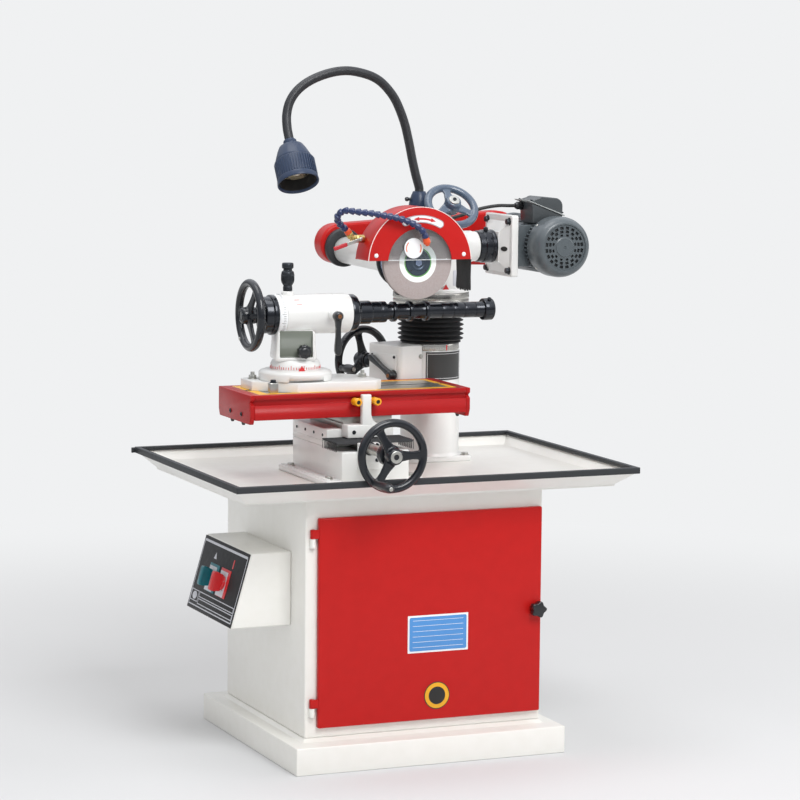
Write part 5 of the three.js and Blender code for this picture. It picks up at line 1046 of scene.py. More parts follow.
settle(coat(table_body, table_red), "table_casting", "table", "red_paint", "table_body")

top_plate = block(top_low, top_high)
soften(top_plate, 0.6)
slot_y = -35 * mm
slot_floor = table_high.z - 11 * mm
remove(
    top_plate,
    block((top_low.x - 5 * mm, slot_y - 7 * mm, slot_floor), (top_high.x + 5 * mm, slot_y + 7 * mm,
                                                             top_high.z + 5 * mm)),
    block((top_low.x - 5 * mm, slot_y - 12 * mm, slot_floor), (top_high.x + 5 * mm, slot_y + 12 * mm,
                                                              slot_floor + 5 * mm)),
)
coat(top_plate, ground_steel)
strip_wide = 17 * mm
strip_rise = 0.25 * mm
yellow_strip = plain("printed yellow strip", "#f0b429", 0.4)
strips = [top_plate]
# Yellow strips are printed along both long edges and across both ends beside the T-slot.
for low_y, high_y in ((top_low.y, top_low.y + strip_wide), (top_high.y - strip_wide, top_high.y)):
    strips.append(coat(block((top_low.x + 1 * mm, low_y + 1 * mm, top_high.z - strip_rise),
                             (top_high.x - 1 * mm, high_y - 1 * mm, top_high.z + strip_rise)), yellow_strip))
for low_x, high_x in ((top_low.x, top_low.x + 24 * mm), (top_high.x - 15 * mm, top_high.x)):
    for low_y, high_y in ((top_low.y + strip_wide, slot_y - 8 * mm),
                          (slot_y + 8 * mm, top_high.y - strip_wide)):
        strips.append(coat(block((low_x + 1 * mm, low_y + 0.5 * mm, top_high.z - strip_rise),
                                 (high_x - 1 * mm, high_y - 0.5 * mm, top_high.z + strip_rise)),
                           yellow_strip))
# A shallow groove on each side of the T-slot parts the ground lands; it is drawn as a dark engraved line.
for offset in (-34, 34):
    strips.append(coat(block((top_low.x + 26 * mm, slot_y + (offset - 1) * mm, top_high.z - strip_rise),
                             (top_high.x - 17 * mm, slot_y + (offset + 1) * mm, top_high.z + 0.1 * mm)),
                       dark_steel))
settle(fuse(*strips), "table_top_plate", "table", "bright_steel", "table_top")

cover_bottom = table_low.z - 9.3 * mm
notch = groove_top - groove_height / 2
for side, node, start in ((-1, "end_cover_left", -372), (1, "end_cover_right", 145)):
    start_x = start * mm
    front, back = table_low.y, table_high.y
    outline = [(front, table_low.z + 7 * mm), (front + 7 * mm, cover_bottom), (back - 7 * mm, cover_bottom),
               (back, table_low.z + 7 * mm), (back, table_high.z), (front, table_high.z), (front, groove_top),
               (front + 9 * mm, notch), (front, groove_top - groove_height)]
    plate = seat(slab(outline, 10 * mm, 1.5, 3), (0, 1, 0), (0, 0, 1), (start_x, 0, 0))
    outer_x = start_x if side < 0 else start_x + 10 * mm
    cover_parts = [coat(plate, table_red)]
    rows = [front + share * (back - front) for share in (0.28, 0.62)]
    cover_parts += spread(socket_screw(5 * mm, 2.3 * mm, dark_steel), (side, 0, 0),
                          *[(outer_x - side * 0.3 * mm, y, table_low.z + 9 * mm) for y in rows])
    knob = coat(turn([(0, 0), (5, 0), (4.4, 3), (3, 6.2), (0, 7)], edge=0.3, steps=32), black_phenolic)
    cover_parts += spread(knob, (0, 0, -1), *[(start_x + 5 * mm, y, cover_bottom + 0.4 * mm) for y in rows])
    settle(fuse(*cover_parts), node + "_plate", "table", "red_paint", node)


# Workhead base: a planed white plate with cropped corners, clamped to the T-slot by a stud and a nut at
# each end.
plate_low, plate_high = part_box("workhead_base")
head_x = -228 * mm
head_y = -35 * mm
plate_top = plate_low.z + 21 * mm
left, right = -335 * mm, -45 * mm
front, back = plate_low.y, plate_high.y
lug = 41.25 * mm
outline = [(left + 2 * lug, front), (right - lug / 2, front), (right, front + lug / 2), (right, back - lug),
           (right - lug, back), (left + lug, back), (left, back - lug / 2), (left, head_y - lug / 4)]
base_plate = slab(outline, 21 * mm, 1.5, 3)
moved(base_plate, (0, 0, plate_low.z))
remove(base_plate, rod(20.3 * mm, 30 * mm, (0, 0, 1), (head_x, head_y, plate_low.z - 5 * mm), 0, 48))
base_parts = [coat(base_plate, cast_white)]
clamp_places = [(left + lug / 2, head_y + lug, plate_top), (right - lug / 2, head_y, plate_top)]
base_parts += spread(hexagon_bolt(15 * mm, 9 * mm, zinc_steel), (0, 0, 1), *clamp_places)
base_parts += spread(coat(rod(4.5 * mm, 16 * mm, (0, 0, 1), (0, 0, 0), 0.8, 32), zinc_steel), (0, 0, 1),
                     *clamp_places)
# A third stud stands before the plate's left corner and hooks over its edge with a stepped clamp.
clamp_x, clamp_y = left + 30 * mm, front + 20 * mm
clamp = soften(block((clamp_x - 11 * mm, clamp_y - 14 * mm, plate_low.z), (clamp_x + 9 * mm, clamp_y + 2 * mm,
                                                                         plate_top + 2 * mm)), 1.5, 3)
base_parts.append(coat(clamp, zinc_steel))
base_parts += spread(hexagon_bolt(11 * mm, 7 * mm, dark_steel), (0, 0, 1),
                     (clamp_x - 1 * mm, clamp_y - 6 * mm, plate_top + 1.8 * mm))
settle(fuse(*base_parts), "workhead_plate", "table", "white_paint", "workhead_base")


# Workhead: a white painted casting of a graduated swivel plate, a recessed pedestal and a round body. The
# recess is painted olive grey, and the graduated rings are printed in red and black.
red_print = plain("printed red ink", "#c8262a", 0.4)
olive_grey = enamel("olive grey paint", "#686d62", "#5f655c", 0.4, 4, 0.2, gloss=0.1, mirror=0.3)
body_axis = 984 * mm
body_radius = 44.5
swivel_floor = plate_top + 0.3 * mm
body_left = -262 * mm
swivel_plate = turn([(0, 0), (81, 0), (82, 1), (82, 17), (79, 21), (70, 24), (57, 25), (0, 25)],
                    (0, 0, 1), (head_x, head_y, swivel_floor), 1.2, 72)
slot_cut = soften(block((head_x - 41 * mm, head_y - 90 * mm, swivel_floor - 3 * mm),
                        (head_x + 41 * mm, head_y - 62 * mm, swivel_floor + 5 * mm)), 2)
head_parts = [coat(remove(swivel_plate, slot_cut), cast_white)]
collar = turn([(0, 20), (55, 20), (56, 23), (56, 36), (54, 40), (50, 46), (0, 47)], (0, 0, 1),
              (head_x, head_y, swivel_floor), 0.8, 72)
head_parts.append(coat(collar, cast_white))
marks = scale_marks(56.4, 26, 35, 60, red_print, 1.3, -180)
head_parts.append(moved(marks, (head_x, head_y, swivel_floor)))
# The red pointer is a small triangle of sheet that stands on the plate before the scale.
pointer = slab([(-8.5 * mm, 0), (8.5 * mm, 0), (0, 13 * mm)], 2 * mm, 0.3, 1)
face_front(pointer, (head_x - 8 * mm, head_y - 62 * mm, swivel_floor + 23.5 * mm))
head_parts.append(coat(pointer, red_print))
pedestal_floor = swivel_floor + 44 * mm
pedestal = block((-47 * mm, -46 * mm, pedestal_floor), (47 * mm, 42 * mm, pedestal_floor + 12 * mm))
bpy.ops.object.mode_set(mode="EDIT")
pick(lambda middle, normal: normal.z > 0.9)
draw_out(at(0, 0, 22), (0.95, 0.98, 1))
draw_out(at(0, 0, 34), (0.97, 0.99, 1))
bpy.ops.object.mode_set(mode="OBJECT")
soften(pedestal, 7, 4)
recess = soften(block((-37 * mm, -60 * mm, pedestal_floor + 9 * mm),
                      (37 * mm, -38.5 * mm, body_axis - 22 * mm)), 3, 3)
# The pedestal is turned a little towards the operator.
for part in (pedestal, recess):
    bring(part, Matrix.Translation((head_x - 5 * mm, head_y, 0)) @ Matrix.Rotation(math.radians(-12), 4, "Z"))
coat(pedestal, cast_white)
coat(recess, olive_grey)
pedestal.data.materials.append(olive_grey)
remove(pedestal, recess)
head_parts.append(pedestal)
barrel = turn([(20.5, 0), (43, 0), (body_radius, 1.5), (body_radius, 156), (42.5, 158), (20.5, 158),
               (20.5, 0)], (1, 0, 0), (body_left, head_y, body_axis), 0.6, 80)
head_parts.append(coat(barrel, cast_white))
# A raised seam runs where the two halves of the body meet its front bearing.
head_parts.append(coat(turn([(43, 118), (45.1, 118.6), (45.1, 121), (43, 121.6)], (1, 0, 0),
                            (body_left, head_y, body_axis), 0, 80), cast_white))
dial = turn([(20.5, 0.4), (45, 0.4), (46, 1.4), (46, 15), (44.5, 18.7), (20.5, 18.7), (20.5, 0.4)],
            (-1, 0, 0), (body_left, head_y, body_axis), 0.4, 80)
head_parts.append(coat(dial, white_print))
head_parts.append(lay(scale_marks(46, 4, 14, 72, black_print, 0.7), (-1, 0, 0),
                      (body_left, head_y, body_axis)))
for rise, turned in ((26, 12), (29, -5)):
    tick = block(at(-6, -0.6, 0), at(6, 0.6, 0.3))
    angle = math.radians(turned + 38)
    outwards = Vector((0, -math.cos(angle), math.sin(angle)))
    head_parts.append(coat(seat(tick, (1, 0, 0), outwards.cross(Vector((1, 0, 0))),
                                Vector((body_left + rise * mm, head_y, body_axis))
                                + outwards * body_radius * mm), red_print))
plunger_x = head_x - 19 * mm
lever_x = head_x + 73 * mm
boss = turn([(5.4, -22), (14, -22), (14, 5.5), (12, 8), (5.4, 8), (5.4, -22)], (0, 0, 1),
            (plunger_x, head_y, body_axis + body_radius * mm), 0.8, 48)
head_parts.append(coat(boss, cast_white))
lever_boss = turn([(0, -22), (13, -22), (13, 14), (11.5, 18), (9.5, 20), (0, 20)], (0, -1, 0),
                  (lever_x, head_y - body_radius * mm, body_axis), 0.8, 48)
head_parts.append(coat(lever_boss, cast_white))
head_parts += spread(socket_screw(3 * mm, 1.2 * mm, dark_steel), (-1, 0, 0),
                     *[(body_left - 18.8 * mm, y, z) for y, z in arc(head_y, body_axis, 34 * mm, 45, 315, 3)])
settle(fuse(*head_parts), "workhead_casting", "workhead", "white_paint", "workhead_body")

# Plunger: knurled and stepped black steel, pulled up against its spring to free the index disc.
plunger_seat = body_axis + (body_radius + 8.3) * mm
plunger = turn([(0, -16), (4.9, -16), (4.9, 0), (10, 0), (10.5, 1), (10.5, 9), (9.5, 11), (11, 14), (14, 19),
                (14.6, 22), (14.6, 38), (13.4, 43), (10, 45.5), (9.6, 49), (12.4, 50.5), (13, 52), (13, 60),
                (11.5, 62.6), (0, 63)], (0, 0, 1), (plunger_x, head_y, plunger_seat), 0.5, 48)
coat(plunger, dark_steel)
ridges = []
for i in range(40):
    ridge_bar = soften(block(at(13.9, -0.6, 23), at(15, 0.6, 37)), 0.3, 1)
    ridge_bar.matrix_world = Matrix.Rotation(2 * math.pi * i / 40, 4, "Z")
    ridges.append(ridge_bar)
knurl = fuse(*ridges)
bpy.ops.object.transform_apply(location=True, rotation=True, scale=True)
moved(coat(knurl, dark_steel), (plunger_x, head_y, plunger_seat))
settle(fuse(plunger, knurl), "plunger_knob", "plunger", "black_plastic", "index_plunger")


# Clamping levers: moulded black phenolic on plated studs, with a waisted hub, a slim neck and a fuller end.
# One clamps the workhead's bearing and hangs down; the other clamps the column.
def clamping_lever():
    """A lever made round +Z, with its hub's back at the origin and its arm along +X."""
    hub = turn([(0, 0), (9, 0), (10.6, 1.5), (11, 6), (11, 14), (9.6, 18.5), (7, 20), (0, 20)], edge=0.8,
               steps=40)
    halves = [(-4, 8.6), (6, 8.6), (16, 6.6), (28, 5.2), (46, 5.6), (66, 7.6), (77, 8), (84, 6.4),
              (87.4, 2.8)]
    arm = moved(slab(both_sides(halves), 11.4 * mm, 4.4, 5), at(0, 0, 4.6))
    stem = rod(5.9 * mm, 15 * mm, (0, 0, 1), at(0, 0, -14), 0.6, 32)
    screw = moved(socket_screw(4.6 * mm, 2.4 * mm, copper_screw), at(0, 0, 19))
    return fuse(coat(arm, black_phenolic), coat(hub, black_phenolic), coat(stem, zinc_steel), screw)


copper_screw = plain("yellow-passivated steel", "#9a6a4a", 0.35, 1, 0.03, Metallic=1)
work_lever = clamping_lever()
lever_axis, lever_arm = Vector((0, -1, 0)), Vector((0, 0, -1))
seat(work_lever, lever_arm, lever_axis.cross(lever_arm),
     (lever_x, head_y - (body_radius + 20.3) * mm, body_axis))
settle(work_lever, "bearing_clamp_lever", "bearing_lever", "black_plastic", "workhead_lever")

# Swivel lock: a fluted phenolic knob on a steel stud in the pedestal's recess.
lock_z = 905.3 * mm
lock_star = slab(lobed(16 * mm, 9, 0.05, 72), 16.5 * mm, 3, 4)
lock_cap = turn([(0, 15), (11, 15), (9, 17), (5, 18), (0, 18)], edge=0.5, steps=40)
lock_knob = fuse(coat(lock_star, black_phenolic), coat(lock_cap, black_phenolic))
lay(lock_knob, (0, -1, 0), (head_x, head_y - 48.4 * mm, lock_z))
lock_stem = coat(rod(4.9 * mm, 10 * mm, (0, 1, 0), (head_x, head_y - 49 * mm, lock_z), 0.5, 32), zinc_steel)
settle(fuse(lock_knob, lock_stem), "swivel_lock_star", "workhead_lock", "black_plastic", "swivel_lock_knob")


# Work spindle: the black index disc with twelve holes, the handwheel and the long arbor turn as one. The
# arbor is hardened, polished and blackened steel with spacer rings and a clamping nut.
# Turning marks run round the arbor; they are drawn 2 mm apart along it so that they show.
black_arbor = cut_metal("polished blackened steel", "#1a1e25", 0.18, (1, 0.05, 0.05), 2, 3, 0.04, (),
                        (0.14, 0.3), Metallic=0.6, Coat_Weight=0.4, Coat_Roughness=0.1)

disc_right = body_left - 19.3 * mm
disc = turn([(10.6, 0), (44, 0), (45, 1), (45, 9), (43.6, 10.5), (41, 11.5), (41, 25), (40, 28), (10.6, 28),
             (10.6, 0)], (-1, 0, 0), (disc_right, head_y, body_axis), 0.5, 72)
holes = [rod(3.4 * mm, 12 * mm, (-1, 0, 0), (disc_right - 24 * mm, head_y + 34.5 * mm * math.cos(a),
                                            body_axis + 34.5 * mm * math.sin(a)), 0, 20)
         for a in [2 * math.pi * i / 12 for i in range(12)]]
remove(disc, *holes)
settle(coat(disc, black_arbor), "index_plate", "work_spindle", "black_steel", "index_disc")

work_wheel_place = Vector((disc_right - 42 * mm, head_y, body_axis))
# At rest one of its spokes points to the back.
work_wheel = copy_of(large_wheel)
work_wheel.data.transform(Matrix.Rotation(math.radians(86), 4, "Z"))
lay(work_wheel, (-1, 0, 0), work_wheel_place)
work_bush = lay(hub_bush(12, 10.6, hub_depth, dark_steel), (-1, 0, 0), work_wheel_place)
spot_angle = math.radians(231)
spot = coat(turn([(0, 0), (4.2, 0), (4.2, 2), (3, 3), (0, 3)], edge=0.3, steps=32), zinc_steel)
lay(spot, (-1, 0, 0), work_wheel_place + Vector((-19 * mm, -rim_reach * math.cos(spot_angle),
                                                 rim_reach * math.sin(spot_angle))))
settle(fuse(work_wheel, work_bush, spot), "work_wheel_casting", "work_spindle", "black_plastic",
       "workhead_handwheel")

# The arbor's profile runs along it from the workhead's axis. Its nose starts just before the body's right
# face.
nose = -104 + 228 + 0.3
profile = [(0, -115.6), (8, -115.6), (10, -114), (10, -53.3 + 0.3), (20, -53), (20, nose), (42, nose),
           (42, nose + 13), (39, nose + 18), (28, nose + 24), (26.5, nose + 26), (26.5, nose + 52),
           (25, nose + 54), (24, nose + 55), (24, nose + 74), (23, nose + 75), (23, nose + 77),
           (24, nose + 78), (24, nose + 91), (18, nose + 92)]
bar_start = nose + 92
for i in range(3):
    at_ring = bar_start + 14 + 40 * i
    profile += [(18, at_ring), (23, at_ring + 1.2), (23, at_ring + 9.8), (18, at_ring + 11)]
for joint in (352, 380, 408, 436):
    profile += [(18, joint), (17.3, joint + 0.4), (17.3, joint + 1.2), (18, joint + 1.6)]
profile += [(18, 457), (24, 457), (25, 459), (25, 479), (23.5, 481), (9, 481), (9, 486), (7.5, 487), (0, 487)]
arbor_parts = [coat(turn(profile, (1, 0, 0), (head_x, head_y, body_axis), 0.4, 72), black_arbor)]
for direction in ((0, -0.45, 0.9), (0, 0.9, 0.45)):
    outwards = Vector(direction).normalized()
    arbor_parts.append(lay(socket_screw(4.5 * mm, 5 * mm, dark_steel), outwards,
                           Vector((head_x + 470 * mm, head_y, body_axis)) + outwards * 24.6 * mm))
settle(fuse(*arbor_parts), "arbor_bar", "work_spindle", "black_steel", "arbor")


# Column: a white painted iron tube on a bolted foot. Its top is a bright turned ring with graduations and a
# red zero line, and a blank black plate with a white frame is bent round its front.
column_x, column_y = 180 * mm, 146 * mm
column_foot = Vector((column_x, column_y, 618 * mm))
# Turning leaves fine rings; they are drawn 1.5 mm apart up the ring so that they show.
turned_steel = cut_metal("fine-turned steel", "#bdbab3", 0.26, (0.05, 0.05, 1), 1.5, 1, 0.015,
                         ("#b3b0a9", "#c6c4bf"), Metallic=1)

tube_profile = [(55.6, 27), (55.6, 277), (64, 277), (67, 275.5), (67, 262), (66, 261), (66, 259.6), (69, 258),
                (69, 22), (70, 18), (73, 14), (74, 12), (60, 12), (55.6, 27)]
tube = turn(tube_profile, (0, 0, 1), column_foot, 0.6, 80)
coat(tube, cast_white)
tube.data.materials.append(turned_steel)
for face in tube.data.polygons:
    if face.center.z > column_foot.z + 259.8 * mm:
        face.material_index = 1
foot_plate = block((column_x - 81 * mm, column_y - 71 * mm, 618 * mm),
                   (column_x + 81 * mm, column_y + 71 * mm, 631 * mm))
round_edges(foot_plate, 14, 6, lambda middle, along: abs(along.z) > 0.9)
column_parts = [tube, coat(soften(foot_plate, 2.5, 3), cast_white)]
column_parts += spread(hexagon_bolt(14 * mm, 6.5 * mm, zinc_steel), (0, 0, 1),
                       *[(column_x + sx * 65 * mm, column_y + sy * 58.2 * mm, 631 * mm)
                         for sx in (-1, 1) for sy in (-1, 1)])
column_parts.append(moved(scale_marks(67, 263, 271, 72, black_print, 0.6), column_foot))
zero_line = block(at(66.6, -1.6, 261.5), at(67.3, 1.6, 274))
bring(zero_line, Matrix.Translation(column_foot) @ Matrix.Rotation(math.radians(281), 4, "Z"))
column_parts.append(coat(zero_line, red_print))


def wrapped_plate(radius, start, end, low, high, thickness, material):
    """A plate bent round a vertical tube, from one angle to another; sizes in millimetres."""
    outer = arc(0, 0, (radius + thickness) * mm, start, end, 24)
    inner = arc(0, 0, (radius - 0.2) * mm, end, start, 24)
    return coat(slab(outer + inner, (high - low) * mm, 0.3, 1), material)


plate_black = plain("black anodised plate", "#363635", 0.38, 1, 0.01)
type_plate = wrapped_plate(69, 238, 322, 192, 258, 1, plate_black)
border_parts = [moved(type_plate, column_foot + Vector(at(0, 0, 192)))]
for low, high in ((196, 197), (253, 254)):
    rule = wrapped_plate(69.9, 241, 319, low, high, 0.3, white_print)
    border_parts.append(moved(rule, column_foot + Vector(at(0, 0, low))))
for angle in (241, 319):
    side_rule = wrapped_plate(69.9, angle - 0.4, angle + 0.4, 196, 254, 0.3, white_print)
    border_parts.append(moved(side_rule, column_foot + Vector(at(0, 0, 196))))
settle(fuse(*border_parts), "column_plate", "stand", "black_plastic")
settle(fuse(*column_parts), "column_tube", "stand", "white_paint", "column")


# Elevating gearbox: a white painted iron box turned a little round the column's left side, with a screwed
# side cover, a brass oil cup and a bolt. Its places are given across, back and up from the column's axis.
box_turn = math.radians(17)
box_across = Vector((math.cos(box_turn), math.sin(box_turn), 0))
box_back = Vector((-math.sin(box_turn), math.cos(box_turn), 0))


def by_column(across, back, height):
    """A place in the gearbox's own directions, in millimetres, with its height above the floor."""
    return Vector((column_x, column_y, height * mm)) + box_across * across * mm + box_back * back * mm


gearbox = block(at(-122, -38, 0), at(0, 82, 130))
round_edges(gearbox, 9, 8, lambda middle, along: abs(along.z) > 0.9 and middle.x < -50 * mm)
soften(gearbox, 2.5, 3)
bore_tool = rod(69.3 * mm, 160 * mm, (0, 0, 1), at(0, 0, -10), 0, 80)
remove(gearbox, bore_tool, rod(9.3 * mm, 80 * mm, (0, 1, 0), at(-80, 30, 82), 0, 40),
       rod(6.2 * mm, 22 * mm, (1, 0, 0), at(-126, -16, 62), 0, 32))
bring(gearbox, Matrix.Translation((column_x, column_y, 762 * mm)) @ Matrix.Rotation(box_turn, 4, "Z"))
box_parts = [coat(gearbox, cast_white)]
side_cover = soften(block((0, 0, 0), at(92, 96, 2.5)), 1)
seat(side_cover, -box_back, (0, 0, 1), by_column(-122, 68, 776) - box_across * 0.3 * mm)
boss_ring = turn([(9.5, 0), (20, 0), (20, 5), (18.5, 6.5), (9.5, 6.5), (9.5, 0)], box_back,
                 by_column(-80, 81.6, 844), 0.6, 48)
box_parts += [coat(boss_ring, cast_white)]
remove(side_cover, rod(13 * mm, 12 * mm, -box_across, by_column(-118, -16, 824), 0, 40))
box_parts.append(coat(side_cover, cast_white))
box_parts += spread(socket_screw(3.4 * mm, 2.6 * mm, dark_steel), -box_across,
                    *[by_column(-124.4, back, height) for back in (62, -18) for height in (782, 866)])
box_parts += spread(hexagon_bolt(8 * mm, 4 * mm, zinc_steel), -box_back, by_column(-62, -38, 866))
cup = coat(turn([(0, 0), (5, 0), (5, 4), (7.5, 5), (7.5, 12), (6, 13.5), (0, 14)], edge=0.5, steps=32),
           plain("turned brass", "#b08d3e", 0.28, 1, 0.03, Metallic=1))
box_parts += spread(cup, (0, 0, 1), by_column(-58, -12, 891.8))
settle(fuse(*box_parts), "gearbox_casting", "stand", "white_paint", "elevating_gearbox")

elevating_place = by_column(-80, 166, 844)
elevating_parts = [lay(copy_of(large_wheel), -box_back, elevating_place)]
elevating_parts.append(lay(hub_bush(13, 0.5, hub_depth - 0.4, dark_steel), -box_back, elevating_place))
elevating_parts.append(coat(rod(8.9 * mm, 105 * mm, box_back, by_column(-80, 44, 844), 0.8, 40), zinc_steel))
elevating_parts.append(coat(turn([(0, -34), (15, -34), (15, -46), (13, -49), (9, -50), (0, -50)], -box_back,
                                 by_column(-80, 83, 844), 0.5, 48), dark_steel))
settle(fuse(*elevating_parts), "elevating_wheel_casting", "elevating_wheel", "black_plastic",
       "elevating_handwheel")
short_angle = math.radians(192)
short_place = (elevating_place - box_back * 20 * mm + box_across * rim_reach * math.cos(short_angle)
               + Vector((0, 0, rim_reach * math.sin(short_angle))))
settle(lay(grip_handle(47), -box_back, short_place), "elevating_grip_handle", "elevating_wheel_grip",
       "black_plastic", "elevating_grip")
bpy.data.objects.remove(large_wheel)

column_lever = clamping_lever()
lever_angle = math.radians(63)
lever_axis = -box_across
lever_arm = Vector((0, 0, math.cos(lever_angle))) + box_back * math.sin(lever_angle)
seat(column_lever, lever_arm, lever_axis.cross(lever_arm), by_column(-122.3, -16, 824))
settle(column_lever, "column_clamp_handle", "column_clamp", "black_plastic", "column_lever")


# Column bellows: black rubber with eight folds round the quill, clipped to the column's ring below and to the
# swivel ring above. The quill inside is ground steel.
for node in ("quill", "drive_belt"):
    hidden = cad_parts[node]
    hidden.data.materials.clear()
    hidden.data.materials.append(ground_steel if node == "quill" else black_rubber)
bellows_low, bellows_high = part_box("column_bellows")
fold_count = 8
bellows_rise = (bellows_high.z - bellows_low.z) / mm
rubber_black = plain("moulded black rubber", "#151617", 0.5, 1.5, 0.05)
profile = [(56, 0), (71, 0), (71, 2)]
pitch = (bellows_rise - 6) / fold_count
for i in range(fold_count):
    base = 3 + pitch * i
    crest = 78 if i % 2 else 76.8
    profile += [(68.5, base + pitch * 0.04), (69.5, base + pitch * 0.16), (crest - 1.4, base + pitch * 0.38),
                (crest, base + pitch * 0.5), (crest - 1.4, base + pitch * 0.62), (69.5, base + pitch * 0.86)]
profile += [(71, bellows_rise - 2.4), (71, bellows_rise), (56, bellows_rise), (56, bellows_rise / 2), (56, 0)]
bellows = turn(profile, (0, 0, 1), (column_x, column_y, bellows_low.z), 0, 80, 60)
coat(bellows, rubber_black)
bellows.name = "bellows_folds"
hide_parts("column_bellows")
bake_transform(bellows)

# Swivel ring: a turned steel flange with two bright bands and fine graduations, fixed on the quill.
ring_low, ring_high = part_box("swivel_ring")
ring_place = (column_x, column_y, ring_low.z)
swivel_ring = turn([(20.4, 0), (86, 0), (89, 2), (89, 9), (87.6, 10), (87.6, 11.4), (89, 12.4), (89, 24.6),
                    (87.8, 26), (20.4, 26), (20.4, 0)], (0, 0, 1), ring_place, 0.4, 96)
ring_parts = [coat(swivel_ring, turned_steel)]
ring_parts.append(moved(scale_marks(89, 14.5, 23, 120, black_print, 0.6), ring_place))
ring_parts.append(coat(turn([(60, -0.1), (76, -0.1), (76, -4), (60, -4), (60, -0.1)], (0, 0, 1), ring_place,
                            0.4, 64), dark_steel))
settle(fuse(*ring_parts), "swivel_flange", "quill_body", "bright_steel", "swivel_ring")


# Yoke: a white painted casting that turns on the swivel ring and carries the wheelhead's trunnion. It has a
# red pointer and a small knob at its disc, a blank plate in front, an inclined boss and the cable's gland.
yoke_floor = ring_high.z + 0.3 * mm
post_x, post_y = 150, 152
gland_x, gland_y = 226, 152
trunnion = Vector((column_x, column_y, 1116 * mm))
disc_part = turn([(0, 0), (88.5, 0), (89, 0.6), (89, 6), (86, 9.5), (0, 10)], (0, 0, 1),
                 (column_x, column_y, yoke_floor), 0.8, 96)
pivot = rod(20 * mm, 30 * mm, (0, 0, 1), (column_x, column_y, ring_low.z + 0.4 * mm), 0.5)
head_box_outline = [(-74, 7), (74, 7), (74, 143), (-44, 143), (-74, 113)]
head_box = slab([(y * mm, z * mm) for y, z in head_box_outline], 118 * mm, 6, 5)
seat(head_box, (0, 1, 0), (0, 0, 1), (column_x - 59 * mm, column_y, ring_high.z))
remove(head_box, rod(20.4 * mm, 200 * mm, (1, 0, 0), trunnion - Vector(at(100, 0, 0)), 0, 64),
       rod(14.3 * mm, 20 * mm, (0, 0, 1), at(post_x, post_y, 1142.4), 0, 48))
boss_end = 292 * mm
side_boss = turn([(20.4, -4), (37, -4), (37, 40), (35, 44), (35, 52), (33.5, 53), (20.4, 53), (20.4, -4)],
                 (1, 0, 0), (column_x + 59 * mm, column_y, trunnion.z), 0.8, 64)
wheel_axis = Vector((0, -math.sin(math.radians(46)), math.cos(math.radians(46))))
wheel_place = Vector((188, 60, 1207)) * mm
inclined_boss = turn([(9.4, 0), (22, 0), (22, 41), (20, 44), (9.4, 44), (9.4, 0)], wheel_axis,
                     wheel_place - wheel_axis * 82 * mm, 0.8, 56)
yoke_parts = [coat(part, cast_white) for part in (disc_part, pivot, head_box, side_boss, inclined_boss)]
gland_parts = turn([(4.3, 0), (8, 0), (8, 4), (6.9, 5), (6.9, 11), (5.4, 12.6), (4.3, 12.6), (4.3, 0)],
                   (0, 0, 1), at(gland_x, gland_y, 1155.8), 0.4, 32)
yoke_parts.append(coat(gland_parts, black_phenolic))
pointer_angle = math.radians(271)
pointer_out = Vector((math.cos(pointer_angle), math.sin(pointer_angle), 0))
pointer = slab([(-8 * mm, 0), (8 * mm, 0), (0, 12 * mm)], 2 * mm, 0.3, 1)
seat(pointer, Vector((0, 0, 1)).cross(pointer_out), (0, 0, 1),
     Vector((column_x, column_y, yoke_floor + 9.2 * mm)) + pointer_out * 82 * mm)
yoke_parts.append(coat(pointer, red_print))
blank = rounded_plate((203 * mm, column_y - 75 * mm, 1030 * mm), (233 * mm, column_y - 73.8 * mm, 1066 * mm),
                      2, 0.2, panel_silver)
yoke_parts.append(blank)
clamp_angle = math.radians(200)
clamp_out = Vector((math.cos(clamp_angle), math.sin(clamp_angle), 0))
yoke_parts.append(coat(turn([(0, 0), (7, 0), (7, 8), (10, 10), (10, 20), (8, 23), (0, 23)], clamp_out,
                            Vector((column_x, column_y, yoke_floor + 5 * mm)) + clamp_out * 87 * mm, 0.6, 36),
                       black_phenolic))
settle(fuse(*yoke_parts), "yoke_casting", "yoke", "white_paint", "head_yoke")

# Trunnion collar: a split clamping ring in glossy black with its clamp screw on top.
collar_parts = [coat(turn([(20.4, 0), (35, 0), (37, 2), (37, 13), (39, 15), (39, 31), (37.6, 33), (37.6, 35),
                           (39, 37), (39, 41.7), (37.8, 42.7), (20.4, 42.7), (20.4, 0)], (1, 0, 0),
                          (boss_end + 0.3 * mm, column_y, trunnion.z), 0.5, 80), black_arbor)]
screw_out = Vector((0, -0.25, 0.97)).normalized()
collar_parts.append(lay(socket_screw(5.5 * mm, 8 * mm, dark_steel), screw_out,
                        Vector((314 * mm, column_y, trunnion.z)) + screw_out * 38 * mm))
settle(fuse(*collar_parts), "trunnion_ring", "yoke", "black_steel", "trunnion_collar")

# Inclined handwheel: the same casting in a smaller size, in slate blue lacquer, with a turned steel cap.
slate_lacquer = plain("slate blue lacquer on cast aluminium", "#46566a", 0.28, 8, 0.08, Coat_Weight=0.5,
                      Coat_Roughness=0.1)
small_wheel = cast_wheel(64, 90, 7)
coat(lay(small_wheel, wheel_axis, wheel_place), slate_lacquer)
cap = lay(turn([(0, 33), (13, 33), (13, 35.5), (11.5, 37), (4, 37.4), (0, 37.4)], edge=0.3, steps=48),
          wheel_axis, wheel_place)
small_parts = [small_wheel, coat(cap, zinc_steel),
               coat(rod(8.9 * mm, 96 * mm, wheel_axis, wheel_place - wheel_axis * 82 * mm, 0.6, 40),
                    zinc_steel)]
small_parts.append(lay(socket_screw(4.5 * mm, 2 * mm, dark_steel), wheel_axis, wheel_place
                       + wheel_axis * 37 * mm))
settle(fuse(*small_parts), "tilt_wheel_casting", "head_wheel", "black_plastic", "head_handwheel")


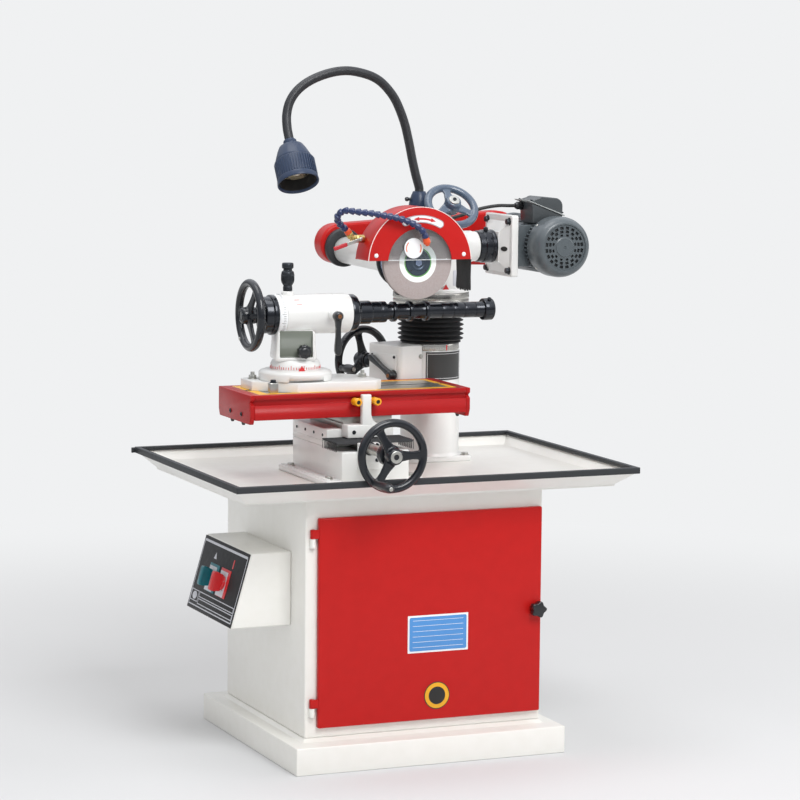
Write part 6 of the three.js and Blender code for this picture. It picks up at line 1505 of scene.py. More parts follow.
# Spindle housing: a white painted round casting with its arm and trunnion shaft. A black rubber ring seals it
# against the belt cover.
spindle_x, spindle_z = 52 * mm, 1097 * mm
housing_low, housing_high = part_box("spindle_housing")
housing_front = housing_low.y
housing_deep = (housing_high.y - housing_front) / mm
housing = turn([(18.4, 0), (34, 0), (36, 2), (36, 20), (31.5, housing_deep), (18.4, housing_deep), (18.4, 0)],
               (0, 1, 0), (spindle_x, housing_front, spindle_z), 0.6, 80)
arm = soften(block((spindle_x, column_y - 48 * mm, trunnion.z - 46 * mm),
                   (column_x - 59.3 * mm, column_y + 48 * mm, trunnion.z + 46 * mm)), 9, 5)
remove(arm, rod(30 * mm, 220 * mm, (0, 1, 0), (spindle_x, column_y - 110 * mm, spindle_z), 0, 48))
shaft = rod(19.9 * mm, 352 * mm - 0.3 * mm - 116 * mm, (1, 0, 0), (116 * mm, column_y, trunnion.z), 0.8, 64)
housing_parts = [coat(housing, cast_white), coat(arm, cast_white), coat(shaft, zinc_steel)]
far_seal = turn([(26, -16), (43, -16), (46, -13), (46, 0), (26, 0), (26, -16)], (0, 1, 0),
                (spindle_x - 4 * mm, 375.4 * mm, spindle_z + 6 * mm), 0.8, 80)
housing_parts.append(coat(far_seal, black_rubber))
settle(fuse(*housing_parts), "housing_casting", "wheelhead", "white_paint", "spindle_housing")


# Wheel spindle: dark turned steel flanges that clamp the grinding wheel, held by a blued hexagon bolt. Four
# small pins lie round it.
blued_steel = plain("blued turned steel", "#8d9bb5", 0.25, 1, 0.03, Metallic=0.9)
wheel_front_y = -72 * mm
flange_steel = plain("blackened turned steel", "#46505c", 0.3, 1, 0.03, Metallic=0.75)
spindle_start = -76.3
spindle_profile = [(0, spindle_start), (10, spindle_start), (13, spindle_start + 0.4),
                   (15, spindle_start - 0.8), (21, spindle_start - 0.8), (22, spindle_start),
                   (27, spindle_start + 0.5), (29.6, spindle_start + 1.6), (30, -72.3), (14, -72.3),
                   (14, -59.7), (30, -59.7), (30, -56), (14, -55.7), (14, -7.7), (18, -7.6), (18, 375.7),
                   (14, 375.7), (14, 380.2), (29, 380.2), (26, 383), (26, 399), (29, 402.2), (0, 402.2)]
spindle_parts = [coat(turn(spindle_profile, (0, 1, 0), (spindle_x, 0, spindle_z), 0.3, 64), flange_steel)]
spindle_parts += spread(hexagon_bolt(15 * mm, 2.4 * mm, blued_steel, False), (0, -1, 0),
                        (spindle_x, spindle_start * mm + 0.2 * mm, spindle_z))
for x, z in arc(spindle_x, spindle_z, 25 * mm, 45, 315, 3):
    pin = rod(2 * mm, 1 * mm, (0, -1, 0), (x, spindle_start * mm + 1 * mm, z), 0.2, 20)
    spindle_parts.append(coat(pin, black_print))
settle(fuse(*spindle_parts), "wheel_flanges", "wheel_spindle", "black_steel", "spindle")

# Grinding wheel: pinkish fused alumina in a vitrified bond, open and grainy, with a blank white paper ring
# round its bore, edged in green. The grains are about 0.4 mm; they are drawn 1.6 mm wide so that they show.
abrasive, tree, surface = new_material("vitrified pink fused alumina", "#c3b3ae", 0.85)
place = add(tree, "ShaderNodeTexCoord").outputs["Object"]
grains = add(tree, "ShaderNodeTexVoronoi", {"Vector": place, "Scale": 1 / (1.6 * mm)})
clouds = add(tree, "ShaderNodeTexNoise", {"Vector": place, "Scale": 1 / (25 * mm), "Detail": 3})
speck = add(tree, "ShaderNodeMix", {"Factor": grains.outputs["Color"], "A": linear("#9b8c89"),
                                    "B": linear("#b3a8a6")}, data_type="RGBA")
vary(tree, surface, clouds.outputs[0], (speck.outputs["Result"], linear("#a59c9b")))
vary(tree, surface, grains.outputs["Distance"], depth=0.25)
green_print = plain("printed green ink", "#63a85c", 0.5)
paper_white = plain("white blotter paper", "#f1f2f0", 0.8, 0.8, 0.04)
wheel_centre = (spindle_x, wheel_front_y, spindle_z)
wheel_disc = turn([(14.3, 0), (83, 0), (83, 12), (14.3, 12), (14.3, 0)], (0, 1, 0), wheel_centre, 0.7, 120)
wheel_parts = [coat(wheel_disc, abrasive)]
for inner, outer, rise, material in ((30.5, 45, 0.35, paper_white), (30.5, 33, 0.5, green_print)):
    paper = turn([(inner, 0.1), (outer, 0.1), (outer, rise), (inner, rise), (inner, 0.1)], (0, -1, 0),
                 wheel_centre, 0, 96)
    wheel_parts.append(coat(paper, material))
settle(fuse(*wheel_parts), "abrasive_disc", "wheel_spindle", "abrasive", "grinding_wheel")


# Wheel guard: red enamelled sheet, welded as a half drum with a round cut-out in front and rolled edges. A
# pale ring is painted as a highlight where the rolled wall meets the front sheet, and two domed rivets hold
# the window behind.
guard_low, guard_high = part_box("wheel_guard")
guard_front, guard_back = guard_low.y, guard_high.y
guard_floor = guard_low.z
guard_radius = 126 * mm
guard_sheet = 3 * mm
seam_highlight_paint = plain("painted seam highlight", "#f0d9d6", 0.4)


def half_disc(radius, depth, edge, floor=guard_floor):
    """A half disc round the spindle, from the guard's floor up, drawn back along +Y from y = 0."""
    rise = math.degrees(math.asin((floor - spindle_z) / radius))
    return face_front(slab(arc(0, 0, radius, rise, 180 - rise, 72), depth, edge, 2),
                      (spindle_x, depth, spindle_z))


guard = moved(half_disc(guard_radius, guard_back - guard_front, 1.5), (0, guard_front, 0))
inside = moved(half_disc(guard_radius - guard_sheet, guard_back - guard_front - 2 * guard_sheet, 0,
                         guard_floor - 3 * mm), (0, guard_front + guard_sheet, 0))
mouth = rod(78 * mm, 12 * mm, (0, 1, 0), (spindle_x, guard_front - 6 * mm, spindle_z), 0, 96)
spindle_hole = rod(16 * mm, 16 * mm, (0, 1, 0), (spindle_x, guard_back - 8 * mm, spindle_z), 0, 48)
remove(guard, inside, mouth, spindle_hole)
soften(guard, 0.5, 1)
guard_parts = [coat(guard, red_enamel)]
rise = math.degrees(math.asin((guard_floor - spindle_z) / guard_radius))
# This thin pale ring is painted light: the highlight along the rolled front edge.
seam_highlight = slab(arc(0, 0, 126.15 * mm, rise, 180 - rise, 96) + arc(0, 0, 124.6 * mm, 180 - rise, rise, 96),
            1.8 * mm, 0.3, 1)
face_front(seam_highlight, (spindle_x, guard_front + 1.4 * mm, spindle_z))
guard_parts.append(coat(seam_highlight, seam_highlight_paint))
rivet = coat(turn([(0, 0), (5, 0), (4.6, 1.4), (3, 2.6), (0, 3.1)], edge=0, steps=32), white_print)
guard_parts += spread(rivet, (0, -1, 0), *[(spindle_x + x * mm, guard_front + 0.2 * mm, spindle_z + 18 * mm)
                                          for x in (-107, 107)])
# A blued steel ring and a black rubber ring close the guard's back round the spindle housing.
for ring, material in (([(36.2, 0.2), (58, 0.2), (60, 2), (60, 18), (36.2, 18), (36.2, 0.2)], blued_steel),
                       ([(36.2, 18), (62, 18), (64, 20), (64, 27), (61, 30), (36.2, 30), (36.2, 18)],
                        black_rubber)):
    guard_parts.append(coat(turn(ring, (0, 1, 0), (spindle_x, guard_back, spindle_z), 0.5, 96), material))
# Folded strips stiffen the back wall's lower edge.
for start, end in ((-126, -42), (42, 126)):
    strip = block((spindle_x + start * mm, guard_back - 6 * mm, guard_floor - 0.2 * mm),
                  (spindle_x + end * mm, guard_back, guard_floor + 3 * mm))
    guard_parts.append(coat(soften(strip, 0.6), red_enamel))
settle(fuse(*guard_parts), "guard_drum", "wheelhead", "red_paint", "wheel_guard")

# Turning label: a curved white plate with round ends over the cut-out, with a plain red arrow that points
# both ways. A grey band round its edge is painted shade along the label's rim.
label_edge_shade = plain("painted edge shade", "#a9a2a8", 0.38)


def arch(inner, outer, start, end, depth):
    """A curved band with round ends round the spindle's axis; sizes in millimetres and degrees."""
    middle, half = (inner + outer) / 2, (outer - inner) / 2
    ends = []
    for angle, sweep in ((end, 1), (start, -1)):
        x, y = middle * math.cos(math.radians(angle)), middle * math.sin(math.radians(angle))
        first = angle if sweep > 0 else angle + 180
        ends.append(arc(x * mm, y * mm, half * mm, first, first + 180, 10))
    far, near = arc(0, 0, outer * mm, start, end, 28), arc(0, 0, inner * mm, end, start, 28)
    return slab(far[1:-1] + ends[0] + near[1:-1] + ends[1], depth * mm, 0.15, 1)


label_parts = []
# The widest band lies lowest and shows as a grey rim: painted shade round the label's edge.
for *band, material in ((90, 107.5, 61, 112, 0.8, label_edge_shade), (92, 105.5, 61, 112, 1.1, white_print),
                        (97, 101, 76, 92, 1.4, signal_red)):
    label_parts.append(coat(face_front(arch(*band), (spindle_x, guard_front, spindle_z)), material))
for angle, way in ((75, 1), (93, -1)):
    arrow = slab([(-1 * mm, -4.6 * mm), (-1 * mm, 4.6 * mm), (12 * mm, 0)], 1.4 * mm, 0.15, 1)
    outwards = Vector((math.cos(math.radians(angle)), 0, math.sin(math.radians(angle))))
    tangent = Vector((outwards.z, 0, -outwards.x)) * way
    seat(arrow, tangent, outwards * way, Vector((spindle_x, guard_front, spindle_z)) + outwards * 99 * mm)
    label_parts.append(coat(arrow, signal_red))
settle(fuse(*label_parts), "turning_label", "wheelhead", "white_paint")

# Guard window: a half disc of clear acrylic behind the cut-out, its sawn lower edge left white. A round white
# disc with two orange arcs is stuck to it before the hub.
clear_acrylic = plain("clear acrylic sheet", "#f4f8f8", 0.06, 30, 0.05, Transmission_Weight=1.0, IOR=1.49)
sawn_edge = plain("sawn acrylic edge", "#dfe3e6", 0.5)
window_low, window_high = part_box("guard_window")
window = moved(half_disc(117 * mm, 2 * mm, 0.3, window_low.z), (0, window_low.y, 0))
window_parts = [coat(window, clear_acrylic)]
edge_strip = soften(block((spindle_x - 77 * mm, window_low.y - 0.1 * mm, window_low.z - 0.1 * mm),
                          (spindle_x + 77 * mm, window_high.y + 0.1 * mm, window_low.z + 1.3 * mm)), 0.2)
window_parts.append(coat(edge_strip, sawn_edge))
orange_print = plain("printed orange ink", "#e8702e", 0.4)
disc_place = Vector((37 * mm, window_low.y, 1130 * mm))
window_parts.append(coat(lay(turn([(0, 0), (23, 0), (23, 0.6), (0, 0.6)], edge=0.1, steps=64), (0, -1, 0),
                             disc_place), white_print))
for start, end in ((135, 205), (-32, 28)):
    mark = slab(arc(0, 0, 19 * mm, start, end, 12) + arc(0, 0, 16.8 * mm, end, start, 12), 0.3 * mm, 0.05, 1)
    window_parts.append(coat(face_front(mark, disc_place - Vector(at(0, 0.6, 0))), orange_print))
settle(fuse(*window_parts), "window_sheet", "wheelhead", "clear_plastic", "guard_window")

# Splash flap: a sheet of black rubber on the guard's right wall, slit and frayed at its lower end.
flap_low, flap_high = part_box("splash_flap")
flap_wide = (flap_high.y - flap_low.y) / mm
flap_drop = (flap_high.z - flap_low.z) / mm
flap_line = [(0, 0), (1, -18), (2, -40), (0.6, -62)]
tooth = flap_wide / 12
for i, dip in enumerate((2, 0, 4, 1, 5, 0.5, 3.5, 1.5, 5, 0, 3, 1)):
    flap_line += [(tooth * i + 0.8, -flap_drop + 5 - dip), (tooth * i + tooth * 0.5, -flap_drop + 4.6 - dip),
                  (tooth * (i + 1) - 0.4, -flap_drop + 5.4 - dip), (tooth * (i + 1), -flap_drop + 7)]
flap_line += [(flap_wide, -60), (flap_wide - 3, -36), (flap_wide, -10), (flap_wide, 0)]
flap = slab([(y * mm, z * mm) for y, z in flap_line], 3 * mm, 0.5, 1)
seat(flap, (0, 1, 0), (0, 0, 1), (flap_low.x, flap_low.y, flap_high.z))
flap_parts = [coat(flap, rubber_black)]
clip = soften(block((flap_high.x - 0.2 * mm, flap_low.y + 4 * mm, flap_high.z - 12 * mm),
                    (flap_high.x + 1.6 * mm, flap_high.y - 4 * mm, flap_high.z + 8 * mm)), 0.5)
flap_parts.append(coat(clip, zinc_steel))
settle(fuse(*flap_parts), "flap_sheet", "wheelhead", "black_rubber", "splash_flap")


# Belt cover: a red enamelled box of pressed sheet round both pulleys, with rounded rims and a row of screws
# on its back.
cover_low, cover_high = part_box("belt_cover")
motor_x, motor_z = 456 * mm, 1119 * mm


def belt_line(radius_a, radius_b):
    """Two circles at the spindle's and the motor shaft's pulleys, and their outer tangents, in X and Z."""
    end_x, end_z = 42 * mm, 1111 * mm
    lie = math.atan2(motor_z - end_z, motor_x - end_x)
    distance = math.hypot(motor_x - end_x, motor_z - end_z)
    opening = math.acos((radius_a - radius_b) / distance)
    lie, opening = math.degrees(lie), math.degrees(opening)
    return (arc(motor_x, motor_z, radius_b, lie - opening, lie + opening, 40)
            + arc(end_x, end_z, radius_a, lie + opening, lie + 360 - opening, 40))


cover_deep = cover_high.y - cover_low.y
shell = slab(belt_line(48 * mm, 66 * mm), cover_deep, 7, 5)
hollow = slab(belt_line(45 * mm, 63 * mm), cover_deep - 6 * mm, 0)
face_front(shell, (0, cover_high.y, 0))
face_front(hollow, (0, cover_high.y - 3 * mm, 0))
remove(shell, hollow, rod(16 * mm, 16 * mm, (0, 1, 0), (spindle_x, cover_low.y - 8 * mm, spindle_z), 0, 48),
       rod(13 * mm, 16 * mm, (0, 1, 0), (motor_x, cover_low.y - 8 * mm, motor_z), 0, 48))
cover_parts = [coat(shell, red_enamel)]
lid_seam = slab(belt_line(48.3 * mm, 66.3 * mm), 1.6 * mm, 0.5, 1)
face_front(lid_seam, (0, cover_high.y - 16 * mm, 0))
remove(lid_seam, face_front(slab(belt_line(47 * mm, 65 * mm), 6 * mm, 0), (0, cover_high.y - 14 * mm, 0)))
cover_parts.append(coat(lid_seam, red_enamel))
cover_parts += spread(coat(turn([(0, 0), (5, 0), (5, 1.6), (3, 2.6), (0, 2.8)], edge=0.2, steps=28),
                           zinc_steel), (0, 1, 0), *[(x * mm, cover_high.y - 0.2 * mm, z * mm) for x,
                                                     z in ((42, 1146), (42, 1076), (180, 1148), (320, 1158),
                                                           (180, 1066), (320, 1066), (456, 1170),
                                                           (456, 1068))])
settle(fuse(*cover_parts), "belt_cover_shell", "wheelhead", "red_paint", "belt_cover")


# Motor bracket: a white painted iron pyramid from the trunnion to a square plate, with a black oval disc in
# front painted as the shade of its hole, and four dark bolts that hold the motor's foot.
bracket_start = 335 * mm + 0.3 * mm
plate_x = 352 * mm
plate_face = 369 * mm
neck = block((bracket_start, column_y - 36 * mm, trunnion.z - 36 * mm), (bracket_start + 2 * mm,
                                                                         column_y + 36 * mm,
                                                                         trunnion.z + 36 * mm))
bpy.ops.object.mode_set(mode="EDIT")
pick(lambda middle, normal: normal.x > 0.9)
draw_out((plate_x + 1 * mm - bracket_start - 2 * mm, 0, 0), (1, 1.8, 1.72), (plate_x, column_y, trunnion.z))
bpy.ops.object.mode_set(mode="OBJECT")
soften(neck, 3.5, 4)
square = block((plate_x, column_y - 75 * mm, motor_z - 72 * mm), (plate_face, column_y + 75 * mm,
                                                                  motor_z + 72 * mm))
round_edges(square, 5, 5, lambda middle, along: abs(along.x) > 0.9)
soften(square, 2, 3)
remove(neck, rod(20.4 * mm, 40 * mm, (1, 0, 0), (bracket_start - 5 * mm, column_y, trunnion.z), 0, 48))
bracket_parts = [coat(neck, cast_white), coat(square, cast_white)]
bracket_parts += spread(hexagon_bolt(13 * mm, 9 * mm, dark_steel), (-1, 0, 0),
                        *[(plate_x + 0.3 * mm, column_y + sy * 60 * mm, motor_z + sz * 57.5 * mm)
                          for sy in (-1, 1) for sz in (-1, 1)])
oval = bring(rod(7 * mm, 1 * mm, (0, 0, 1), (0, 0, 0), 0.2, 40), Matrix.Diagonal((1.35, 0.8, 1, 1)))
# The black disc, painted shade in place of the hole, lies on the pyramid's slanted front.
slant = Vector((plate_x - bracket_start - 1 * mm, -29 * mm, 0)).normalized()
bracket_parts.append(coat(seat(oval, -slant, (0, 0, 1), ((bracket_start + plate_x) / 2, column_y - 50 * mm,
                                                       motor_z - 7 * mm)), black_print))
settle(fuse(*bracket_parts), "bracket_casting", "wheelhead", "white_paint", "motor_bracket")


# Motor: a cast aluminium housing with cooling fins, sprayed grey-green, with a shield at each end and a foot
# pad that the bracket holds. The rotor's shaft runs through it.
motor_grey = enamel("sprayed grey-green enamel", "#555d61", "#474e53", 0.36, 3, 0.03)
motor_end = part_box("motor_body")[1].y / mm - 1
fin_line = []
for i in range(44):
    middle = 360 / 44 * i
    for angle, radius in ((-2.6, 60.5), (-1.5, 66), (1.5, 66), (2.6, 60.5)):
        angle = math.radians(middle + angle)
        fin_line.append((radius * mm * math.cos(angle), radius * mm * math.sin(angle)))
fin_front, fin_back = 57.9 * mm, 272.5 * mm
fins = face_front(slab(fin_line, fin_back - fin_front, 0.5, 1), (motor_x, fin_back, motor_z))
remove(fins, rod(54 * mm, 280 * mm, (0, 1, 0), (motor_x, 20 * mm, motor_z), 0, 64))
motor_parts = [coat(fins, motor_grey)]
shields = [(11.4, 40), (66, 40), (68.2, 42), (68.2, 58), (61, 60.5), (54, 60.5), (54, 270), (63, 270),
           (67, 272), (67, 288), (62, 292), (44, 294), (38, 296), (38, motor_end), (11.4, motor_end),
           (11.4, 286), (50, 286), (50, 46), (11.4, 46), (11.4, 40)]
motor_parts.append(coat(turn(shields, (0, 1, 0), (motor_x, 0, motor_z), 0.7, 88), motor_grey))
foot = soften(block((plate_face, 86 * mm, 1070 * mm), at(423, 206, 1168)), 2.5, 3)
remove(foot, rod(54.5 * mm, 280 * mm, (0, 1, 0), (motor_x, 20 * mm, motor_z), 0, 64))
motor_parts.append(coat(foot, motor_grey))
motor_parts += spread(socket_screw(4.5 * mm, 5 * mm, dark_steel), (0, 1, 0),
                      *[(x, 288 * mm, z) for x, z in arc(motor_x, motor_z, 57 * mm, 45, 315, 3)])
# A small blank round sticker sits on the front shield beside the terminal box.
motor_parts.append(coat(rod(5 * mm, 0.4 * mm, (-0.62, 0, 0.78),
                            (motor_x - 42 * mm, 50 * mm, motor_z + 53.2 * mm), 0.1, 32), white_print))
settle(fuse(*motor_parts), "motor_housing", "wheelhead", "grey_paint", "motor_body")
rotor_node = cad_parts["motor_rotor"]
rotor_node.data.materials.clear()
rotor_node.data.materials.append(turned_steel)

# Fan cover: a bell of pressed sheet steel over the fan, its recessed face punched with three rings of square
# holes round a flat boss.
rim_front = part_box("fan_cover")[0].y / mm
bell = [(71, 57.8), (71, 30), (70.3, 22), (68, 13), (64, 6), (59, 2), (56, rim_front), (54, rim_front + 0.3),
        (53, 4.5), (24, 4.5), (21.5, 3), (21, 1.6), (4, 1.6), (3.2, 3.6), (0, 3.6), (0, 5.6), (20, 5.6),
        (23, 7), (54, 7), (57.5, 5), (62, 9), (66, 15), (68, 23), (68.5, 30), (68.5, 57.8), (71, 57.8)]
cowl = turn(bell, (0, 1, 0), (motor_x, 0, motor_z), 0, 96, 30)
holes = []
for reach, count, wide, tall in ((29, 12, 3.4, 2.6), (37, 16, 4.2, 3.2), (45.5, 20, 4.4, 3.4)):
    for i in range(count):
        angle = 2 * math.pi * (i + 0.5) / count
        hole = block(at(reach - tall, -wide, -8), at(reach + tall, wide, 8))
        holes.append(seat(hole, (math.cos(angle), 0, math.sin(angle)), (-math.sin(angle), 0, math.cos(angle)),
                          (motor_x, 5 * mm, motor_z)))
remove(cowl, fuse(*holes))
cowl_parts = [coat(cowl, motor_grey)]
# The fan's black blades show through the holes, and four screws hold the skirt to the shield.
cowl_parts.append(coat(turn([(11.6, 9), (50, 9), (50, 10.5), (16, 10.5), (16, 34), (11.6, 34), (11.6, 9)],
                            (0, 1, 0), (motor_x, 0, motor_z), 0.3, 48), black_rubber))
for a in (45, 135, 225, 315):
    out = Vector((math.cos(math.radians(a)), 0, math.sin(math.radians(a))))
    cowl_parts += spread(coat(turn([(0, 0), (4, 0), (3.6, 1), (2, 1.7), (0, 1.9)], edge=0, steps=24),
                              zinc_steel), out, Vector((motor_x, 50 * mm, motor_z)) + out * 70.8 * mm)
settle(fuse(*cowl_parts), "fan_cowl", "wheelhead", "grey_paint", "fan_cover")

# Terminal box: a cast box on the motor with a sloping lid, whose thin flange is painted light grey as a
# highlight along the lid's edge. A ribbed black gland lets the cable out on the left.
box_grey = enamel("sprayed dark grey enamel", "#42474a", "#383d40", 0.42, 3, 0.03)
flange_highlight = plain("painted flange highlight", "#a9adad", 0.4)
terminal_low, terminal_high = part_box("terminal_box")
box_left, box_right = 402 * mm, terminal_high.x
lid_left, lid_right = 1222 * mm, 1190 * mm
box_front, box_back_y = 72 * mm, 148 * mm


def terminal_slab(outline, inset, edge, segments=3):
    """An outline in X and Z drawn from the box's front to its back."""
    piece = slab(outline, box_back_y - box_front - 2 * inset, edge, segments)
    return seat(piece, (1, 0, 0), (0, 0, 1), (0, box_back_y - inset, 0))


tray_part = terminal_slab([(box_left + 6 * mm, terminal_low.z), (box_right - 8 * mm, terminal_low.z),
                           (box_right - 3 * mm, lid_right + 1 * mm), (box_left + 3 * mm, lid_left - 1 * mm)],
                          3 * mm, 3)
# The flange's light grey is a painted highlight along the lid's edge.
flange = terminal_slab([(box_left - 9 * mm, lid_left + 5 * mm), (box_left - 9 * mm, lid_left + 3 * mm),
                        (box_right + 1 * mm, lid_right - 1.6 * mm),
                        (box_right + 1 * mm, lid_right + 1.2 * mm)], 0, 0.8)
lid = terminal_slab([(box_left + 2 * mm, lid_left), (box_right - 3 * mm, lid_right),
                     *arc(box_right - 23 * mm, 1211 * mm, 20 * mm, 0, 78, 10),
                     *arc(box_left + 30 * mm, terminal_high.z - 16 * mm, 16 * mm, 90, 128, 5),
                     (box_left + 4 * mm, lid_left + 4 * mm)], 3.5 * mm, 3.5, 4)
remove(tray_part, rod(62 * mm, 160 * mm, (0, 1, 0), (motor_x, 20 * mm, motor_z), 0, 64))
terminal_parts = [coat(tray_part, box_grey), coat(flange, flange_highlight), coat(lid, box_grey)]
gland_place = Vector((box_left + 3 * mm, 134 * mm, 1211 * mm))
gland_line = [(0, 0), (10, 0), (10, 4), (8, 4.6)]
for i in range(3):
    gland_line += [(9.2, 5.6 + 2.6 * i), (9.2, 6.9 + 2.6 * i), (8, 7.6 + 2.6 * i)]
gland_line += [(6.4, 16.6), (4.4, 17.2), (0, 17.2)]
terminal_parts.append(coat(turn(gland_line, (-1, 0, 0), gland_place, 0.3, 40), black_phenolic))
terminal_parts += spread(socket_screw(3.2 * mm, 3 * mm, dark_steel), (0.37, 0, 0.93),
                         *[at(x, y, z) for x, z in ((404, 1224.5), (484, 1195.5)) for y in (78, 142)])
settle(fuse(*terminal_parts), "terminal_casting", "wheelhead", "grey_paint", "terminal_box")


def flow(route, steps=6):
    """Points of a smooth line through a route given in millimetres."""
    points = [Vector(point) * mm for point in route]
    line = []
    for i in range(len(points) - 1):
        a, b, c, d = points[max(i - 1, 0)], points[i], points[i + 1], points[min(i + 2, len(points) - 1)]
        for k in range(steps):
            t = k / steps
            line.append(0.5 * (2 * b + (c - a) * t + (2 * a - 5 * b + 4 * c - d) * t * t
                               + (3 * b - a - 3 * c + d) * t ** 3))
    return line + [points[-1]]


def stretch(line):
    """The length of a line of points."""
    return sum((end - start).length for start, end in zip(line, line[1:]))


def thread(ring, line, count):
    """Repeats a ring that was turned round +Z until it is as long as a line, then bends it along the line."""
    pitch = stretch(line) / count
    row = ring.modifiers.new("row", "ARRAY")
    row.use_relative_offset = False
    row.use_constant_offset = True
    row.constant_offset_displace = (0, 0, pitch)
    row.count = count
    row.use_merge_vertices = True
    row.merge_threshold = 0.02 * mm
    chain(line)
    bpy.ops.object.mode_set(mode="OBJECT")
    bpy.ops.object.convert(target="CURVE")
    guide = bpy.context.object
    ends = guide.data.splines[0].points
    if (ends[0].co.xyz - line[0]).length > (ends[-1].co.xyz - line[0]).length:
        bpy.ops.object.mode_set(mode="EDIT")
        bpy.ops.curve.select_all(action="SELECT")
        bpy.ops.curve.switch_direction()
        bpy.ops.object.mode_set(mode="OBJECT")
    bend = ring.modifiers.new("bend", "CURVE")
    bend.object = guide
    bend.deform_axis = "POS_Z"
    make_active(ring)
    bpy.ops.object.convert(target="MESH")
    bpy.data.objects.remove(guide)
    return bpy.context.object


# Motor cable: a round black rubber cord from the terminal box's gland to the gland in the yoke's top.
cable_line = flow([(226, 152, 1168.8), (226, 152, 1175), (231, 152.4, 1181), (246, 154, 1185),
                   (268, 155, 1191), (294, 154, 1200), (322, 149, 1207), (350, 142, 1211), (372, 136, 1211),
                   (387.5, 134, 1211)])
cable_count = 60
cable_pitch = stretch(cable_line) / cable_count / mm
cable = coat(turn([(4, 0), (4, cable_pitch)], edge=0, steps=24), rubber_black)
cable = thread(cable, cable_line, cable_count)
cable.name = "cable_sheath"
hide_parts("motor_cable")
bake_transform(cable)


# Lamp socket: a turned, satin, bluish black plastic post in the yoke's top, with a flared foot, a clamping
# ring and a small steel lever. The lamp's head is of the same plastic.
lamp_plastic = enamel("moulded bluish black plastic", "#2a3951", "#25324a", 0.34, 6, 0.02, gloss=0.1,
                      mirror=0.3)
socket_place = Vector(at(post_x, post_y, 0))
socket_line = [(0, 1142.6), (17, 1142.6), (17, 1147), (14, 1149), (14, 1196), (25, 1198), (26, 1200),
               (23, 1222), (18, 1238), (17, 1240), (14.5, 1246.2), (0, 1246.2)]
socket_parts = [coat(turn(socket_line, (0, 0, 1), socket_place, 0.6, 56), lamp_plastic)]
socket_parts.append(coat(rod(3.6 * mm, 30 * mm, (-1, 0, 0), at(post_x, post_y, 1228), 0.6, 24), dark_steel))
knob_line = [(0, 0), (3.8, 0), (5, 1.6), (5.2, 5), (4, 7.6), (0, 8.4)]
socket_parts.append(coat(turn(knob_line, (-1, 0, 0), at(post_x - 27, post_y, 1228), 0, 28), black_phenolic))
settle(fuse(*socket_parts), "socket_body", "yoke", "black_plastic", "lamp_socket")

# Gooseneck: a spiral steel tube in a ribbed black rubber sleeve, which keeps the curve it is bent to by hand.
neck_line = flow([(150, 152, 1246.4), (150, 152, 1252), (148, 151.8, 1260), (140, 151, 1285),
                  (131, 150, 1319), (120, 148, 1365), (107, 146, 1409), (85, 142, 1455), (60, 137, 1485),
                  (33, 131, 1505), (0, 124, 1517), (-46, 115, 1524), (-93, 106, 1519), (-141, 98, 1503),
                  (-176, 92, 1481), (-198, 86, 1454), (-209, 77, 1424), (-213, 63, 1396), (-213.5, 54, 1381),
                  (-213.6, 46, 1369)])
neck_count = 205
neck_pitch = stretch(neck_line) / neck_count / mm
sleeve_black = plain("ribbed black rubber sleeve", "#1d1e22", 0.4, 2, 0.04)
sleeve = coat(turn([(9.7, 0), (10.4, neck_pitch * 0.2), (10.4, neck_pitch * 0.7), (9.7, neck_pitch)], edge=0,
                   steps=28), sleeve_black)
settle(thread(sleeve, neck_line, neck_count), "neck_sleeve", "yoke", "black_rubber", "gooseneck")

# Lamp head: a turned shade of bluish black plastic with a cone, a fluted grip band and a smooth lip. Inside,
# a bright reflector holds a small glass bulb.
lamp_top = Vector(at(-213.6, 46, 1369))
lamp_way = Vector((-0.006, -0.531, -0.848)).normalized()
lamp_side = Vector((1, 0, 0))
shade_line = [(0, 0.3), (12, 0.3), (15, 3), (15.4, 11), (15, 13), (20, 14.5), (27.6, 18.5), (33.5, 30),
              (39.8, 46), (41.8, 52), (41.3, 53.4), (44.4, 55.6), (44.8, 56.6), (44.8, 98), (46, 99.4),
              (47.4, 110), (46.8, 112), (45, 112), (42.5, 108), (36, 58), (24, 50), (0, 50)]
shade = turn(shade_line, lamp_way, lamp_top, 0.5, 96)
lamp_parts = [coat(shade, lamp_plastic)]
flute = soften(block(at(44.4, -1.3, 58), at(46.2, 1.3, 97.4)), 0.7, 2)
for i in range(44):
    angle = 2 * math.pi * i / 44
    across = lamp_side * math.cos(angle) + lamp_way.cross(lamp_side).normalized() * math.sin(angle)
    lamp_parts.append(coat(seat(copy_of(flute), across, lamp_way.cross(across), lamp_top), lamp_plastic))
bpy.data.objects.remove(flute)
polished = plain("polished reflector", "#d9d4c8", 0.16, 5, 0.02, Metallic=1.0)
frosted_glass = plain("bulb glass", "#f7f1e2", 0.1, 5, 0.01, Transmission_Weight=0.5, IOR=1.45)
dark_throat = plain("matt black lining", "#1d1b1a", 0.7)
lamp_parts.append(coat(turn([(41.6, 107), (35.6, 57), (34.6, 57), (40.6, 107.4), (41.6, 107)], lamp_way,
                            lamp_top, 0, 64), dark_throat))
lamp_parts.append(coat(turn([(8, 50), (14, 52), (24, 60), (31, 72), (33, 84), (34.6, 84), (33, 70), (25, 58),
                             (14, 49), (8, 49), (8, 50)], lamp_way, lamp_top, 0, 64), polished))
lamp_parts.append(coat(turn([(0, 48), (8, 49), (8, 60), (13, 68), (15, 76), (12.5, 85), (6, 90), (0, 91)],
                            lamp_way, lamp_top, 0, 40), frosted_glass))
settle(fuse(*lamp_parts), "lamp_shade", "yoke", "black_plastic", "lamp_head")


